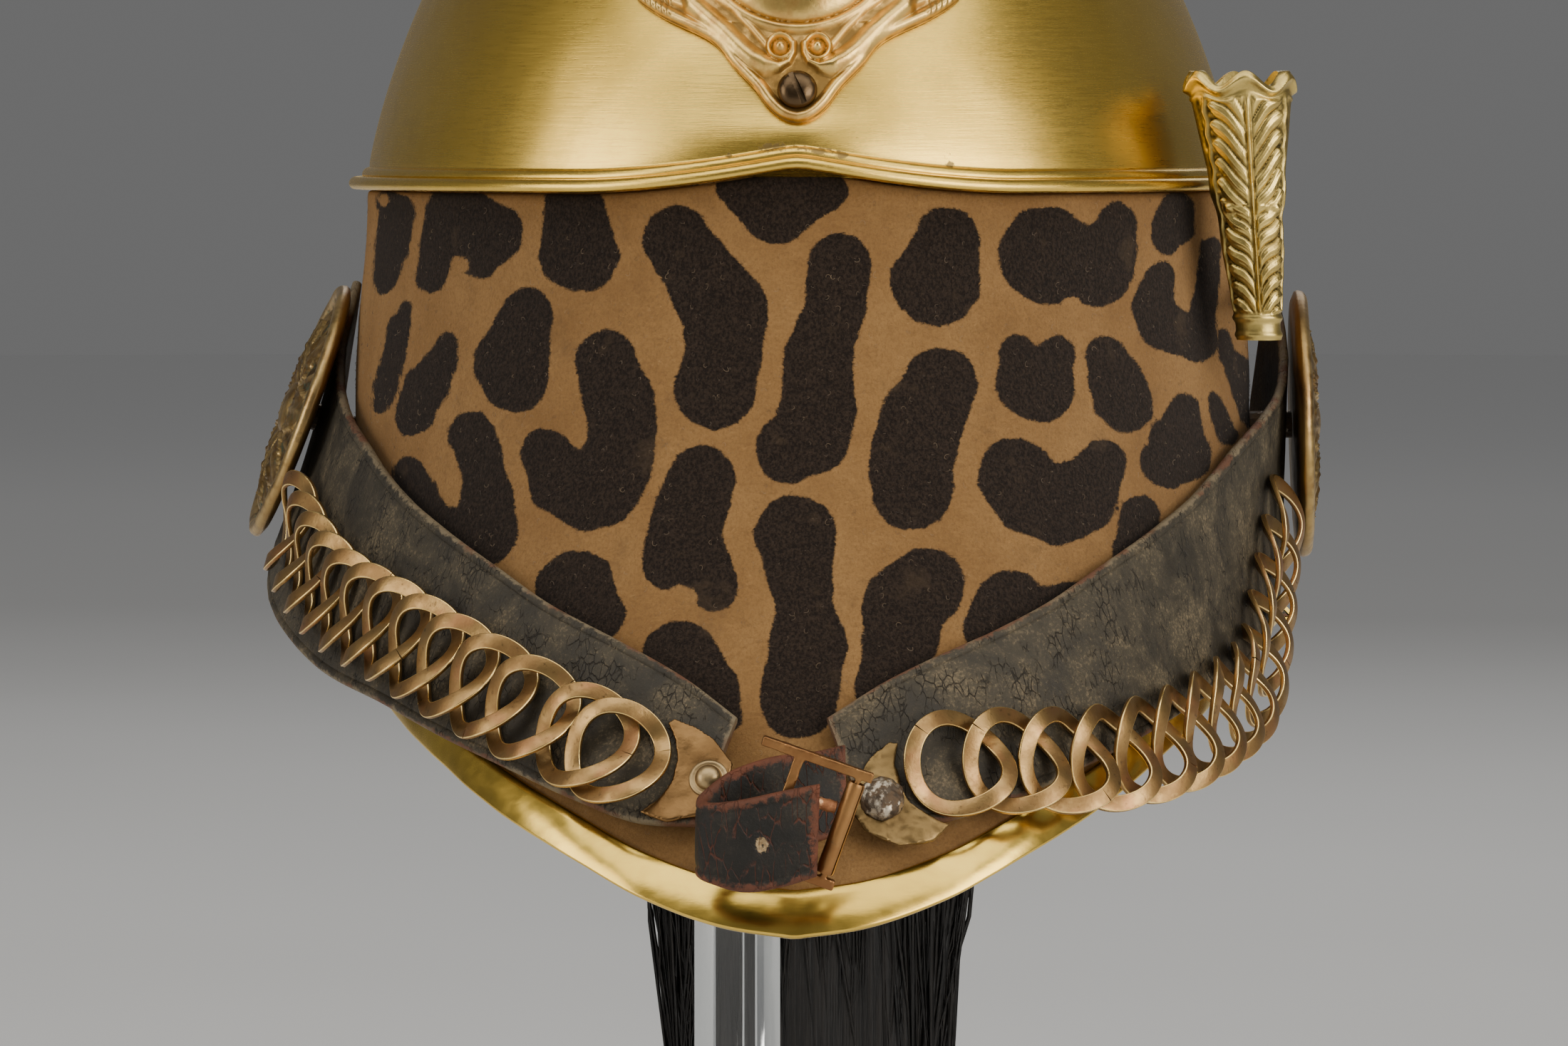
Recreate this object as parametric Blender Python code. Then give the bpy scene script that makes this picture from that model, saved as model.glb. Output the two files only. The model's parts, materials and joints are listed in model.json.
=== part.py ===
"""Brass dragoon helmet with a spotted felt turban and peak, on its clear display stand.

Metres, +Z up, the helmet's front towards -Y. The origin is the centre of the stand's foot, on the floor.
Helmet heights are counted from the lower edge of the skull's rim, RIM_HEIGHT above the floor.
"""

import math
from collections import namedtuple

import bmesh
import bpy
from mathutils import Matrix, Vector

# Driving sizes of the whole
RIM_HEIGHT = 0.400
SEAT_GAP = 0.0003
SEAT_ON_FACETS = 0.0005
SLOPE_STEP = 0.0005

# Brass skull
SKULL_HALF_WIDTH = 0.1008
SKULL_HALF_LENGTH = 0.1220
SKULL_HEIGHT = 0.1180
SKULL_WALL = 0.0012
SKULL_ROUNDING = 1.4
SKULL_FULLNESS = 0.48
SKULL_COLUMNS = 36
RIM_ROLL_PROUD = 0.0042
RIM_ROLL_HEIGHT = 0.0046
RIM_BOW_RISE = 0.0052
RIM_BOW_HALF = 0.045
RIM_BOW_POWER = 1.7
# Heights of the dome's rows as shares of SKULL_HEIGHT
SKULL_ROWS = (0.975, 0.90, 0.78, 0.62, 0.44, 0.25, 0.09)
# Section of the rolled rim: shares of RIM_ROLL_PROUD and RIM_ROLL_HEIGHT
RimRow = namedtuple("RimRow", "out up")
RIM_PROFILE = (
    RimRow(0.0, 1.0),
    RimRow(0.30, 0.86),
    RimRow(0.20, 0.68),
    RimRow(0.80, 0.58),
    RimRow(1.0, 0.30),
    RimRow(0.72, 0.02),
)

# Felt turban and peak
FELT_WALL = 0.0030
FELT_HALF_WIDTH = 0.1005
FELT_EDGE_HALF_WIDTH = 0.1033
FELT_TOP_DEPTH = 0.1200
PEAK_REACH = 0.0550
PEAK_SWEEP = 1.7
FELT_BACK_DEPTH = 0.1210
PEAK_DROP = 0.1530
FELT_COLUMNS = 48

# Brass strip round the peak's edge
BINDING_WALL = 0.0008
BINDING_FACE = 0.0098
BINDING_BACK = 0.0060
BINDING_STEPS = 13

# Leather flap at the back of the neck
NECK_WALL = 0.0025
NECK_DROP = 0.0400
NECK_FLARE = 0.0160
NECK_STEPS = 10

# Chin strap leather and the most that its edges stand off their seat on the felt
STRAP_WALL = 0.0024
STRAP_SEAT = 0.0021
STRAP_FLARE = 0.0164
STRAP_STATIONS = 25
STRAP_STEP = 0.01
STRAP_REACH = {"left": 0.0, "right": 3.0}
STRAP_REACH_FROM = 0.85

# Rings of the chin chain
LINK_OUTER = 0.0119
LINK_BAND = 0.0036
LINK_WALL = 0.0011
LINK_SADDLE = 0.0025
LINK_PITCH = {"left": 0.0127, "right": 0.0123}
LINK_PITCH_CLOSE = 0.0083
LINK_PITCH_OPEN = 0.0159
LINK_SEAT = 0.0006
LINK_SIDES = 12
# The chain stops where its next ring would lie nearer than this to the ear boss's middle
CHAIN_STOP = 0.0375

# End plates and rivets of the chain
PLATE_WALL = 0.0008
RIVET_RADIUS = {"left": 0.0028, "right": 0.0047}
RIVET_RISE = {"left": 0.0022, "right": 0.0030}
RIVET_SIDES = 12

# Buckle
BUCKLE_LENGTH = 0.0241
BUCKLE_HEIGHT = 0.0261
BUCKLE_BAR = 0.0021
BUCKLE_ROLLER_BAR = 0.0012
BUCKLE_ROLLER_AT = 0.0093
BUCKLE_CENTRE_BAR_AT = -0.0036
BUCKLE_TURN = 19.5
BUCKLE_LEAN = 5.7
# How far the leather loop's fold stands ahead of the felt
LOOP_REACH = 0.0303
ROLLER_RADIUS = 0.0019
ROLLER_WALL = 0.0006
ROLLER_LENGTH = 0.0200
ROLLER_SIDES = 12
TONGUE_RADIUS = 0.0013
TONGUE_SIDES = 10
# Heights of the tongue's two ends over the buckle's middle, as shares of TONGUE_RADIUS
TONGUE_START = 2.2
TONGUE_END = 2.8
LOOP_WALL = 0.0024

# Ear bosses
BOSS_RADIUS = 0.0310
BOSS_RISE = 0.0062
BOSS_RIM = 0.0016
BOSS_PETALS = 8
BOSS_SIDES = 32
STUD_RADIUS = 0.0032
STUD_CLEARANCE = 0.0004
STUD_SIDES = 12
STUD_MOST = 0.0300
STUD_STEP = 0.0001
STUD_HOLE_START = 0.0100

# Crest, its front plate and the mane
CREST_HEIGHT = 0.0700
CREST_BASE_HALF = 0.0180
CREST_TOP_HALF = 0.0080
CREST_STATIONS = 19
# Section of the crest: heights of its waist and shoulder, widths of its waist and ridge, as shares
CREST_WAIST = 0.30
CREST_WAIST_WIDTH = 0.55
CREST_SHOULDER = 0.94
CREST_RIDGE_WIDTH = 0.4
PLATE_HALF_WIDTH = 0.0380
PLATE_LOW = 0.0147
PLATE_HIGH = 0.0880
FRONT_PLATE_WALL = 0.0010
FRONT_PLATE_RELIEF = 0.0014
MEDALLION_RISE = 0.0050
VOLUTE_RADIUS = 0.0030
VOLUTE_RISE = 0.0013
VOLUTE_SPREAD = 1.45
VOLUTE_HEIGHT = 0.0317
VOLUTE_SIDES = 10
VOLUTE_DEPTH = 0.8
VOLUTE_ARM_HALF = 0.25
VOLUTE_ARM_EDGE = 0.4
VOLUTE_ARM_ROOT = 0.5
SCREW_RADIUS = 0.0043
SCREW_RISE = 0.0026
SCREW_SLOT = 0.0012
SCREW_SLOT_TURN = 68.0
SCREW_UP = 0.0068
SCREW_SIDES = 16
SCREW_FLOOR = 0.2
MANE_HALF_WIDTH = 0.0370
MANE_HALF_DEPTH = 0.0075
MANE_LENGTH = 0.3450
MANE_FLUTES = 6
MANE_FLUTE_DEPTH = 0.10
MANE_CLEARANCE = 0.0100
LOCK_FLATNESS = 0.62
LOCK_SIDES = 6
LOCK_STEPS = 5
LOCK_TAPER = 0.9
LOCK_TAPER_POWER = 1.6

# Plume holder
HOLDER_HEIGHT = 0.0580
HOLDER_TOP_HALF = 0.0120
HOLDER_WALL = 0.0012
HOLDER_RELIEF = 0.0008
HOLDER_LOBE = 0.0022
HOLDER_SIDES = 18
HOLDER_RIBS = 6
HOLDER_FRONT_RIB = 0.8
HOLDER_LOBES = 3
HOLDER_FLOOR = 0.10
LUG_AT = 0.16
LUG_SEAT = 0.5
LUG_SIDES = 10
LUG_RADIUS = 0.0024
LUG_AZIMUTH = 77.0

# Clear stand
FOOT_WIDTH = 0.190
FOOT_DEPTH = 0.190
FOOT_WALL = 0.010
POST_SIDE = 0.0146
POST_TURN = -35.5
POST_X = -0.0152
PAD_RADIUS = 0.0180
PAD_WALL = 0.0080
PAD_SIDES = 24

# How far the peak's lower edge drops round the helmet, as a share of PEAK_DROP
EdgeRow = namedtuple("EdgeRow", "azimuth drop")
PEAK_EDGE = (
    EdgeRow(0, 1.0),
    EdgeRow(9, 0.985),
    EdgeRow(18, 0.952),
    EdgeRow(27, 0.905),
    EdgeRow(38, 0.850),
    EdgeRow(48, 0.795),
    EdgeRow(57, 0.750),
    EdgeRow(75, 0.660),
    EdgeRow(90, 0.570),
    EdgeRow(110, 0.500),
    EdgeRow(145, 0.470),
    EdgeRow(180, 0.460),
)

# The strap from the ear boss (along 0) to its front end (along 1). Heights are shares of PEAK_DROP
# below the rim, azimuths are degrees from the front, and the last four columns are the shares of
# STRAP_FLARE by which each edge stands off its seat: the upper and lower edge on the left, then on
# the right.
StrapRow = namedtuple(
    "StrapRow",
    "along upper_azimuth upper_drop lower_azimuth lower_drop "
    "upper_left lower_left upper_right lower_right",
)
STRAP = (
    StrapRow(0.00, 98.0, 0.144, 106.0, 0.380, 0.02, 0.56, 0.33, 0.22),
    StrapRow(0.09, 90.0, 0.235, 99.0, 0.477, 0.02, 0.80, 0.31, 0.26),
    StrapRow(0.18, 82.0, 0.294, 92.0, 0.549, 0.00, 0.96, 0.25, 0.25),
    StrapRow(0.27, 74.0, 0.330, 86.0, 0.595, 0.00, 1.00, 0.15, 0.20),
    StrapRow(0.36, 66.0, 0.366, 79.0, 0.634, 0.00, 0.92, 0.06, 0.14),
    StrapRow(0.43, 60.0, 0.402, 72.0, 0.667, 0.00, 0.76, 0.01, 0.09),
    StrapRow(0.50, 54.0, 0.438, 64.5, 0.700, 0.00, 0.56, 0.00, 0.06),
    StrapRow(0.59, 46.0, 0.480, 53.5, 0.728, 0.00, 0.34, 0.00, 0.04),
    StrapRow(0.69, 37.0, 0.529, 42.5, 0.768, 0.00, 0.20, 0.00, 0.03),
    StrapRow(0.78, 29.5, 0.575, 34.0, 0.800, 0.00, 0.12, 0.00, 0.03),
    StrapRow(0.87, 20.0, 0.624, 25.5, 0.835, 0.00, 0.09, 0.00, 0.04),
    StrapRow(0.94, 12.5, 0.670, 18.0, 0.862, 0.00, 0.07, 0.00, 0.05),
    StrapRow(1.00, 6.5, 0.722, 11.0, 0.866, 0.00, 0.06, 0.00, 0.06),
)

# Where the chain's middle lies across the strap: 0 is the upper edge, 1 the lower edge
ChainRow = namedtuple("ChainRow", "along left right")
CHAIN_ACROSS = (
    ChainRow(0.00, 0.50, 0.10),
    ChainRow(0.18, 0.53, 0.22),
    ChainRow(0.27, 0.56, 0.40),
    ChainRow(0.36, 0.59, 0.62),
    ChainRow(0.43, 0.61, 0.82),
    ChainRow(0.50, 0.62, 1.02),
    ChainRow(0.60, 0.62, 1.10),
    ChainRow(0.69, 0.63, 1.07),
    ChainRow(0.78, 0.64, 0.98),
    ChainRow(0.88, 0.66, 0.78),
    ChainRow(0.94, 0.68, 0.66),
    ChainRow(1.00, 0.70, 0.60),
)
CHAIN_FRONT_GAP = {"left": 0.0210, "right": 0.0225}

# Outline of an end plate after its hollow edge, and the rivets' middles, as shares of LINK_OUTER from
# the ring's middle: towards the strap's end and up. The hollow edge runs between two angles.
PLATE_CLEARANCE = 0.0012
PLATE_HOLLOW_LOW = -42.0
PLATE_HOLLOW_HIGH = 63.0
PLATE_HOLLOW_STATIONS = 6
PLATE_TAIL = (
    (0.60, 1.10),
    (1.05, 1.10),
    (1.52, 0.98),
    (2.02, 0.62),
    (2.10, 0.10),
    (1.85, -0.46),
    (1.30, -0.76),
)
PLATE_TURN = {"left": 0.0, "right": -32.0}
RIVET_AT = {"left": (1.72, 0.22), "right": (1.45, -0.46)}

# Sections of domed heads: shares of the radius and of the rise
DomeRow = namedtuple("DomeRow", "radius rise")
RIVET_DOME = (DomeRow(1.0, 0.0), DomeRow(0.92, 0.45), DomeRow(0.62, 0.85))
SCREW_DOME = (DomeRow(1.0, 0.0), DomeRow(0.94, 0.4), DomeRow(0.72, 0.75), DomeRow(0.38, 0.95))

# The leather loop of the buckle, along its path, both edges: across as a share of PEAK_DROP, off the
# felt as a share of LOOP_REACH, and below the rim as a share of PEAK_DROP
LoopRow = namedtuple("LoopRow", "upper_x upper_off upper_drop lower_x lower_off lower_drop")
BUCKLE_LOOP = (
    LoopRow(0.066, 0.214, 0.752, 0.068, 0.224, 0.862),
    LoopRow(0.022, 0.370, 0.758, 0.034, 0.240, 0.878),
    LoopRow(-0.030, 0.597, 0.760, -0.024, 0.282, 0.888),
    LoopRow(-0.082, 0.647, 0.776, -0.084, 0.255, 0.903),
    LoopRow(-0.116, 0.685, 0.800, -0.118, 0.296, 0.915),
    LoopRow(-0.124, 0.754, 0.812, -0.127, 0.379, 0.921),
    LoopRow(-0.110, 0.857, 0.815, -0.113, 0.473, 0.927),
    LoopRow(-0.068, 0.939, 0.809, -0.066, 0.506, 0.938),
    LoopRow(-0.014, 0.981, 0.797, -0.014, 0.545, 0.930),
    LoopRow(0.035, 0.999, 0.788, 0.031, 0.586, 0.916),
)
# The buckle's middle, in the same shares
BUCKLE_PLACE = (0.0055, 0.787, 0.830)

# Relief of an ear boss: radius as a share of BOSS_RADIUS, rise and leaf depth as shares of BOSS_RISE
BossRow = namedtuple("BossRow", "radius rise leaf")
BOSS_RELIEF = (
    BossRow(0.14, 0.97, 0.00),
    BossRow(0.24, 0.72, 0.04),
    BossRow(0.42, 0.80, 0.16),
    BossRow(0.66, 0.66, 0.20),
    BossRow(0.84, 0.36, 0.10),
    BossRow(0.92, 0.26, 0.00),
    BossRow(1.00, 0.30, 0.00),
)

# Ear bosses: centre across, forward, below the rim, the tilt of the face up and its turn to the front
BossPlace = namedtuple("BossPlace", "across forward drop tilt turn")
BOSS_PLACES = {
    "left": BossPlace(-0.1150, 0.001, 0.0522, 20.5, 8.0),
    "right": BossPlace(0.1138, 0.001, 0.0545, 1.5, 1.0),
}

# Outline of the crest's front plate: height as a share of the plate, half width as a share of
# PLATE_HALF_WIDTH
PlateRow = namedtuple("PlateRow", "height half_width")
FRONT_PLATE = (
    PlateRow(0.000, 0.06),
    PlateRow(0.045, 0.16),
    PlateRow(0.100, 0.24),
    PlateRow(0.165, 0.36),
    PlateRow(0.240, 0.49),
    PlateRow(0.310, 0.76),
    PlateRow(0.370, 0.92),
    PlateRow(0.450, 1.00),
    PlateRow(0.560, 0.94),
    PlateRow(0.700, 0.76),
    PlateRow(0.850, 0.58),
    PlateRow(1.000, 0.47),
)
# A scroll's arm from its eye, outwards and up, as shares of VOLUTE_RADIUS
VOLUTE_ARM = ((0.30, -0.75), (1.60, -1.15), (3.20, -0.40), (5.20, 0.85))
# Relief across the plate: place as a share of its half width, rise as a share of FRONT_PLATE_RELIEF
BorderRow = namedtuple("BorderRow", "across rise")
PLATE_BORDER = (
    BorderRow(1.00, 0.15),
    BorderRow(0.93, 0.95),
    BorderRow(0.84, 1.00),
    BorderRow(0.74, 0.20),
    BorderRow(0.40, 0.10),
    BorderRow(0.00, 0.10),
)
# Oval boss of the front plate: middle and half sizes as shares of the plate's height
MEDALLION_MIDDLE = 0.525
MEDALLION_HALF_HEIGHT = 0.235
MEDALLION_HALF_WIDTH = 0.260

# The crest over the skull: forward place as a share of SKULL_HALF_LENGTH, height and widths as shares
CrestRow = namedtuple("CrestRow", "forward height base top lean")
CREST = (
    CrestRow(-0.555, 0.78, 0.88, 0.70, -0.26),
    CrestRow(-0.470, 0.96, 1.00, 0.85, -0.20),
    CrestRow(-0.350, 1.00, 1.00, 1.00, -0.12),
    CrestRow(-0.190, 0.95, 1.00, 1.00, -0.06),
    CrestRow(0.000, 0.86, 0.96, 1.00, 0.00),
    CrestRow(0.200, 0.75, 0.90, 1.00, 0.04),
    CrestRow(0.400, 0.60, 0.84, 1.00, 0.08),
    CrestRow(0.570, 0.46, 0.78, 0.95, 0.14),
    CrestRow(0.720, 0.32, 0.68, 0.85, 0.22),
    CrestRow(0.820, 0.20, 0.56, 0.75, 0.30),
)

# The mane's middle line: back over the skull as a share of SKULL_HALF_LENGTH, or back of the neck as a
# share of where it hangs; lift over the skull as a share of CREST_HEIGHT, drop below the rim as a share
# of MANE_LENGTH, and widths as shares of the mane's half sizes
ManeRow = namedtuple("ManeRow", "over behind lift drop half_width half_depth")
MANE = (
    ManeRow(-0.085, 0.0, 0.985, 0.0, 0.16, 0.55),
    ManeRow(0.170, 0.0, 0.924, 0.0, 0.22, 0.75),
    ManeRow(0.396, 0.0, 0.804, 0.0, 0.26, 0.90),
    ManeRow(0.608, 0.0, 0.729, 0.0, 0.34, 1.00),
    ManeRow(0.820, 0.0, 0.701, 0.0, 0.48, 1.10),
    ManeRow(0.0, 0.907, 0.936, 0.0, 0.66, 1.15),
    ManeRow(0.0, 1.033, 0.197, 0.0, 0.84, 1.15),
    ManeRow(0.0, 1.098, 0.0, 0.15, 0.96, 1.10),
    ManeRow(0.0, 1.118, 0.0, 0.36, 1.00, 1.05),
    ManeRow(0.0, 1.113, 0.0, 0.56, 1.00, 0.95),
    ManeRow(0.0, 1.103, 0.0, 0.76, 0.92, 0.80),
)
# Loose ends of the mane: place across and girth as shares of MANE_HALF_WIDTH, drop and sway as shares
# of MANE_LENGTH. All start at LOCK_ROOT and hang at LOCK_BEHIND.
LockRow = namedtuple("LockRow", "across drop girth sway")
LOCKS = (
    LockRow(-0.76, 0.90, 0.20, -0.015),
    LockRow(-0.50, 1.00, 0.22, -0.010),
    LockRow(-0.22, 0.94, 0.24, 0.005),
    LockRow(0.06, 1.00, 0.24, -0.004),
    LockRow(0.34, 0.92, 0.22, 0.008),
    LockRow(0.58, 0.97, 0.22, 0.011),
    LockRow(0.80, 0.88, 0.18, 0.017),
)
LOCK_ROOT = 0.62
LOCK_BEHIND = 1.108

# The plume holder: height as a share of HOLDER_HEIGHT above its foot, half width as a share of
# HOLDER_TOP_HALF
HolderRow = namedtuple("HolderRow", "height half_width")
HOLDER = (
    HolderRow(0.00, 0.44),
    HolderRow(0.08, 0.45),
    HolderRow(0.20, 0.50),
    HolderRow(0.34, 0.58),
    HolderRow(0.48, 0.62),
    HolderRow(0.56, 0.72),
    HolderRow(0.64, 0.74),
    HolderRow(0.80, 0.86),
    HolderRow(0.94, 0.96),
    HolderRow(1.00, 1.00),
)
HOLDER_FOOT = (0.1021, -0.0670, -0.0330)
HOLDER_LEAN = -0.0046
HOLDER_FLAT = 0.82


def smooth(table, key, column, at):
    """Reads a column of a table at a place on its key column, on a smooth curve through the rows."""
    xs = [getattr(row, key) for row in table]
    ys = [getattr(row, column) for row in table]
    if at <= xs[0]:
        return ys[0]
    if at >= xs[-1]:
        return ys[-1]
    i = max(k for k in range(len(xs) - 1) if xs[k] <= at)
    step = xs[i + 1] - xs[i]

    def slope(k):
        low, high = max(k - 1, 0), min(k + 1, len(xs) - 1)
        return (ys[high] - ys[low]) / (xs[high] - xs[low])

    t = (at - xs[i]) / step
    a = ys[i] * (2 * t**3 - 3 * t**2 + 1) + ys[i + 1] * (3 * t**2 - 2 * t**3)
    b = slope(i) * (t**3 - 2 * t**2 + t) + slope(i + 1) * (t**3 - t**2)
    return a + b * step


def clear_scene():
    for old in list(bpy.data.objects):
        bpy.data.objects.remove(old)


def collection(name):
    made = bpy.data.collections.new(name)
    bpy.context.scene.collection.children.link(made)
    return made


def material(name, colour, roughness, metallic, alpha=1.0):
    made = bpy.data.materials.new(name)
    made.use_nodes = True
    shader = made.node_tree.nodes["Principled BSDF"]
    shader.inputs["Base Color"].default_value = (*colour, 1.0)
    shader.inputs["Roughness"].default_value = roughness
    shader.inputs["Metallic"].default_value = metallic
    shader.inputs["Alpha"].default_value = alpha
    return made


def add_object(name, mesh, finish, home):
    mesh.materials.clear()
    mesh.materials.append(finish)
    mesh.shade_smooth()
    mesh.set_sharp_from_angle(angle=math.radians(35))
    made = bpy.data.objects.new(name, mesh)
    home.objects.link(made)
    return made


def loft_mesh(name, rings, around=True, closed=False):
    """Skins rings of points. A ring of one point is a pole; closed joins the last ring to the first."""
    bm = bmesh.new()
    rows = [[bm.verts.new(point) for point in ring] for ring in rings]
    pairs = list(zip(rows, rows[1:])) + ([(rows[-1], rows[0])] if closed else [])
    for low, high in pairs:
        count = max(len(low), len(high))
        for i in range(count if around else count - 1):
            j = (i + 1) % count
            if len(low) == 1:
                bm.faces.new((low[0], high[i], high[j]))
            elif len(high) == 1:
                bm.faces.new((low[i], low[j], high[0]))
            else:
                bm.faces.new((low[i], low[j], high[j], high[i]))
    if around and not closed:
        for end in (rows[0], rows[-1]):
            if len(end) > 2:
                bm.faces.new(end)
    bmesh.ops.recalc_face_normals(bm, faces=bm.faces)
    mesh = bpy.data.meshes.new(name)
    bm.to_mesh(mesh)
    bm.free()
    return mesh


def combine(target, tools, operation, cutters):
    """Adds a Boolean for each tool, which stays as a hidden guide."""
    for tool in tools:
        change = target.modifiers.new(tool.name, "BOOLEAN")
        change.operation = operation
        change.object = tool
        change.solver = "EXACT"
        tool.hide_render = True
        tool.display_type = "WIRE"
        for home in list(tool.users_collection):
            home.objects.unlink(tool)
        cutters.objects.link(tool)


def cylinder_mesh(name, radius, start, end, sides):
    """A capped round bar between two points."""
    bm = bmesh.new()
    axis = Vector(end) - Vector(start)
    turn = axis.to_track_quat("Z", "Y").to_matrix().to_4x4()
    place = Matrix.Translation((Vector(start) + Vector(end)) / 2) @ turn
    bmesh.ops.create_cone(
        bm, cap_ends=True, segments=sides, radius1=radius, radius2=radius, depth=axis.length, matrix=place
    )
    mesh = bpy.data.meshes.new(name)
    bm.to_mesh(mesh)
    bm.free()
    return mesh


def box_mesh(name, size, place):
    bm = bmesh.new()
    bmesh.ops.create_cube(bm, size=1.0, matrix=place @ Matrix.Diagonal((*size, 1.0)))
    mesh = bpy.data.meshes.new(name)
    bm.to_mesh(mesh)
    bm.free()
    return mesh


def lifted(point):
    """From helmet heights, counted from the rim, to heights above the floor."""
    return Vector((point[0], point[1], point[2] + RIM_HEIGHT))


def rim_rise(x):
    """The cupid's-bow rise of the skull's rim at the front."""
    share = max(0.0, 1.0 - abs(x) / RIM_BOW_HALF)
    return RIM_BOW_RISE * share**RIM_BOW_POWER


def skull_share(height):
    """How wide the skull is at a height, as a share of its width at the rim."""
    share = min(max(height / SKULL_HEIGHT, 0.0), 1.0)
    return (1.0 - share**SKULL_ROUNDING) ** SKULL_FULLNESS


def skull_height_at(x, y, inside=0.0):
    """Height of the skull's face above a point of its plan; inside counts in from the outer face."""
    reach = math.hypot(x / (SKULL_HALF_WIDTH - inside), y / (SKULL_HALF_LENGTH - inside))
    share = max(0.0, 1.0 - min(reach, 1.0) ** (1.0 / SKULL_FULLNESS))
    return (SKULL_HEIGHT - inside) * share ** (1.0 / SKULL_ROUNDING)


def skull_front_at(x, height, proud):
    """Point on the skull's front at a width and height, pushed out along its face."""
    share = skull_share(height)
    side = min(abs(x) / (SKULL_HALF_WIDTH * share), 0.98)
    y = -SKULL_HALF_LENGTH * share * math.sqrt(1.0 - side * side)
    rise = skull_share(height + SLOPE_STEP)
    ahead = -SKULL_HALF_LENGTH * rise * math.sqrt(1.0 - min(abs(x) / (SKULL_HALF_WIDTH * rise), 0.98) ** 2)
    normal = Vector((x / SKULL_HALF_WIDTH**2, y / SKULL_HALF_LENGTH**2, 0.0)).normalized()
    normal.z = abs(ahead - y) / SLOPE_STEP * abs(normal.y)
    return Vector((x, y, height)) + normal.normalized() * proud


def build_skull(finish, home):
    """Brass dome with its inner face, closed at the bottom by a fine bead over a rolled rim."""

    def ring(height, proud, bow):
        share = skull_share(height)
        points = []
        for i in range(SKULL_COLUMNS):
            angle = math.tau * i / SKULL_COLUMNS
            x = (SKULL_HALF_WIDTH * share + proud) * math.sin(angle)
            y = -(SKULL_HALF_LENGTH * share + proud) * math.cos(angle)
            rise = rim_rise(x) * bow if y < 0.0 else 0.0
            points.append(lifted((x, y, height + rise)))
        return points

    rings = [[lifted((0.0, 0.0, SKULL_HEIGHT))]]
    rings += [ring(SKULL_HEIGHT * share, 0.0, 0.0) for share in SKULL_ROWS]
    rings += [ring(RIM_ROLL_HEIGHT * row.up, RIM_ROLL_PROUD * row.out, 1.0) for row in RIM_PROFILE]
    rings.append(ring(RIM_ROLL_HEIGHT * RIM_PROFILE[-1].up, -SKULL_WALL, 1.0))
    inner = []
    for share in reversed(SKULL_ROWS):
        height = SKULL_HEIGHT * share
        inner.append(ring(height, -SKULL_WALL * (1.0 + share), 0.0))
    rings += inner[:-1]
    rings.append([lifted((0.0, 0.0, SKULL_HEIGHT - SKULL_WALL * 1.6))])
    return add_object("skull", loft_mesh("skull", rings), finish, home)


def peak_drop(azimuth):
    return PEAK_DROP * smooth(PEAK_EDGE, "azimuth", "drop", abs(azimuth))


def felt_front(share):
    """How far the felt stands ahead of the ear line, at a share of its drop."""
    return FELT_TOP_DEPTH + PEAK_REACH * share**PEAK_SWEEP


def wall_point(azimuth, height, proud=0.0):
    """Point on the felt's outer face at an azimuth in degrees and a height from the rim, pushed out."""
    share = max(0.0, -height / peak_drop(azimuth))
    ease = min(1.0, 2.0 * share)
    ease = ease * ease * (3.0 - 2.0 * ease)
    half = FELT_HALF_WIDTH + (FELT_EDGE_HALF_WIDTH - FELT_HALF_WIDTH) * ease
    angle = math.radians(azimuth)
    depth = felt_front(share) if math.cos(angle) >= 0.0 else FELT_BACK_DEPTH
    normal = Vector((math.sin(angle) / half, -math.cos(angle) / depth, 0.0)).normalized()
    point = Vector((half * math.sin(angle), -depth * math.cos(angle), height))
    return point + normal * proud


def felt_top(azimuth):
    """Height of the felt's upper edge, which follows the skull's rim."""
    if abs(azimuth) > 90.0:
        return -SEAT_GAP
    return rim_rise(FELT_HALF_WIDTH * math.sin(math.radians(azimuth))) - SEAT_GAP


def build_felt(finish, home):
    rows = (0.0, 0.31, 0.62, 0.93, 1.0)

    def ring(share, proud):
        points = []
        for i in range(FELT_COLUMNS):
            azimuth = -180.0 + 360.0 * i / FELT_COLUMNS
            top = felt_top(azimuth)
            height = top - share * (top + peak_drop(azimuth))
            points.append(lifted(wall_point(azimuth, height, proud)))
        return points

    rings = [ring(share, 0.0) for share in rows] + [ring(share, -FELT_WALL) for share in reversed(rows)]
    return add_object("felt_turban", loft_mesh("felt_turban", rings, closed=True), finish, home)


def folded_strip(sections, wall, core, face, back):
    """Brass strip folded round the edge of a wall. Each section is its edge point, its way up the wall
    and its way out of it; core is the wall's thickness, face and back the strip's widths on each side."""
    gap = SEAT_GAP
    profile = (
        (gap + wall, face),
        (gap + wall * 1.5, face * 0.45),
        (gap + wall * 0.8, -gap - wall * 0.3),
        (-core * 0.5, -gap - wall * 1.6),
        (-core - gap - wall, -gap),
        (-core - gap - wall, back),
        (-core - gap, back),
        (-core - gap, -gap),
        (gap, -gap),
        (gap, face),
    )
    rings = []
    for edge, up, out in sections:
        rings.append([lifted(edge + out * across + up * along) for across, along in profile])
    return rings


def build_peak_binding(finish, home):
    sections = []
    for i in range(-BINDING_STEPS, BINDING_STEPS + 1):
        azimuth = i * 360.0 / FELT_COLUMNS
        low = -peak_drop(azimuth)
        edge = wall_point(azimuth, low)
        up = (wall_point(azimuth, low + BINDING_FACE) - edge).normalized()
        out = (wall_point(azimuth, low, FELT_WALL) - edge).normalized()
        sections.append((edge, up, out))
    rings = folded_strip(sections, BINDING_WALL, FELT_WALL, BINDING_FACE, BINDING_BACK)
    return add_object("peak_binding", loft_mesh("peak_binding", rings), finish, home)


def neck_point(azimuth, share, proud):
    """Point on the neck flap's outer face; share runs from its top at 0 to its lower edge at 1."""
    top = -peak_drop(azimuth) - SEAT_GAP
    return wall_point(azimuth, top, proud + NECK_FLARE * share**1.5) + Vector((0, 0, -NECK_DROP * share))


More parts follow.
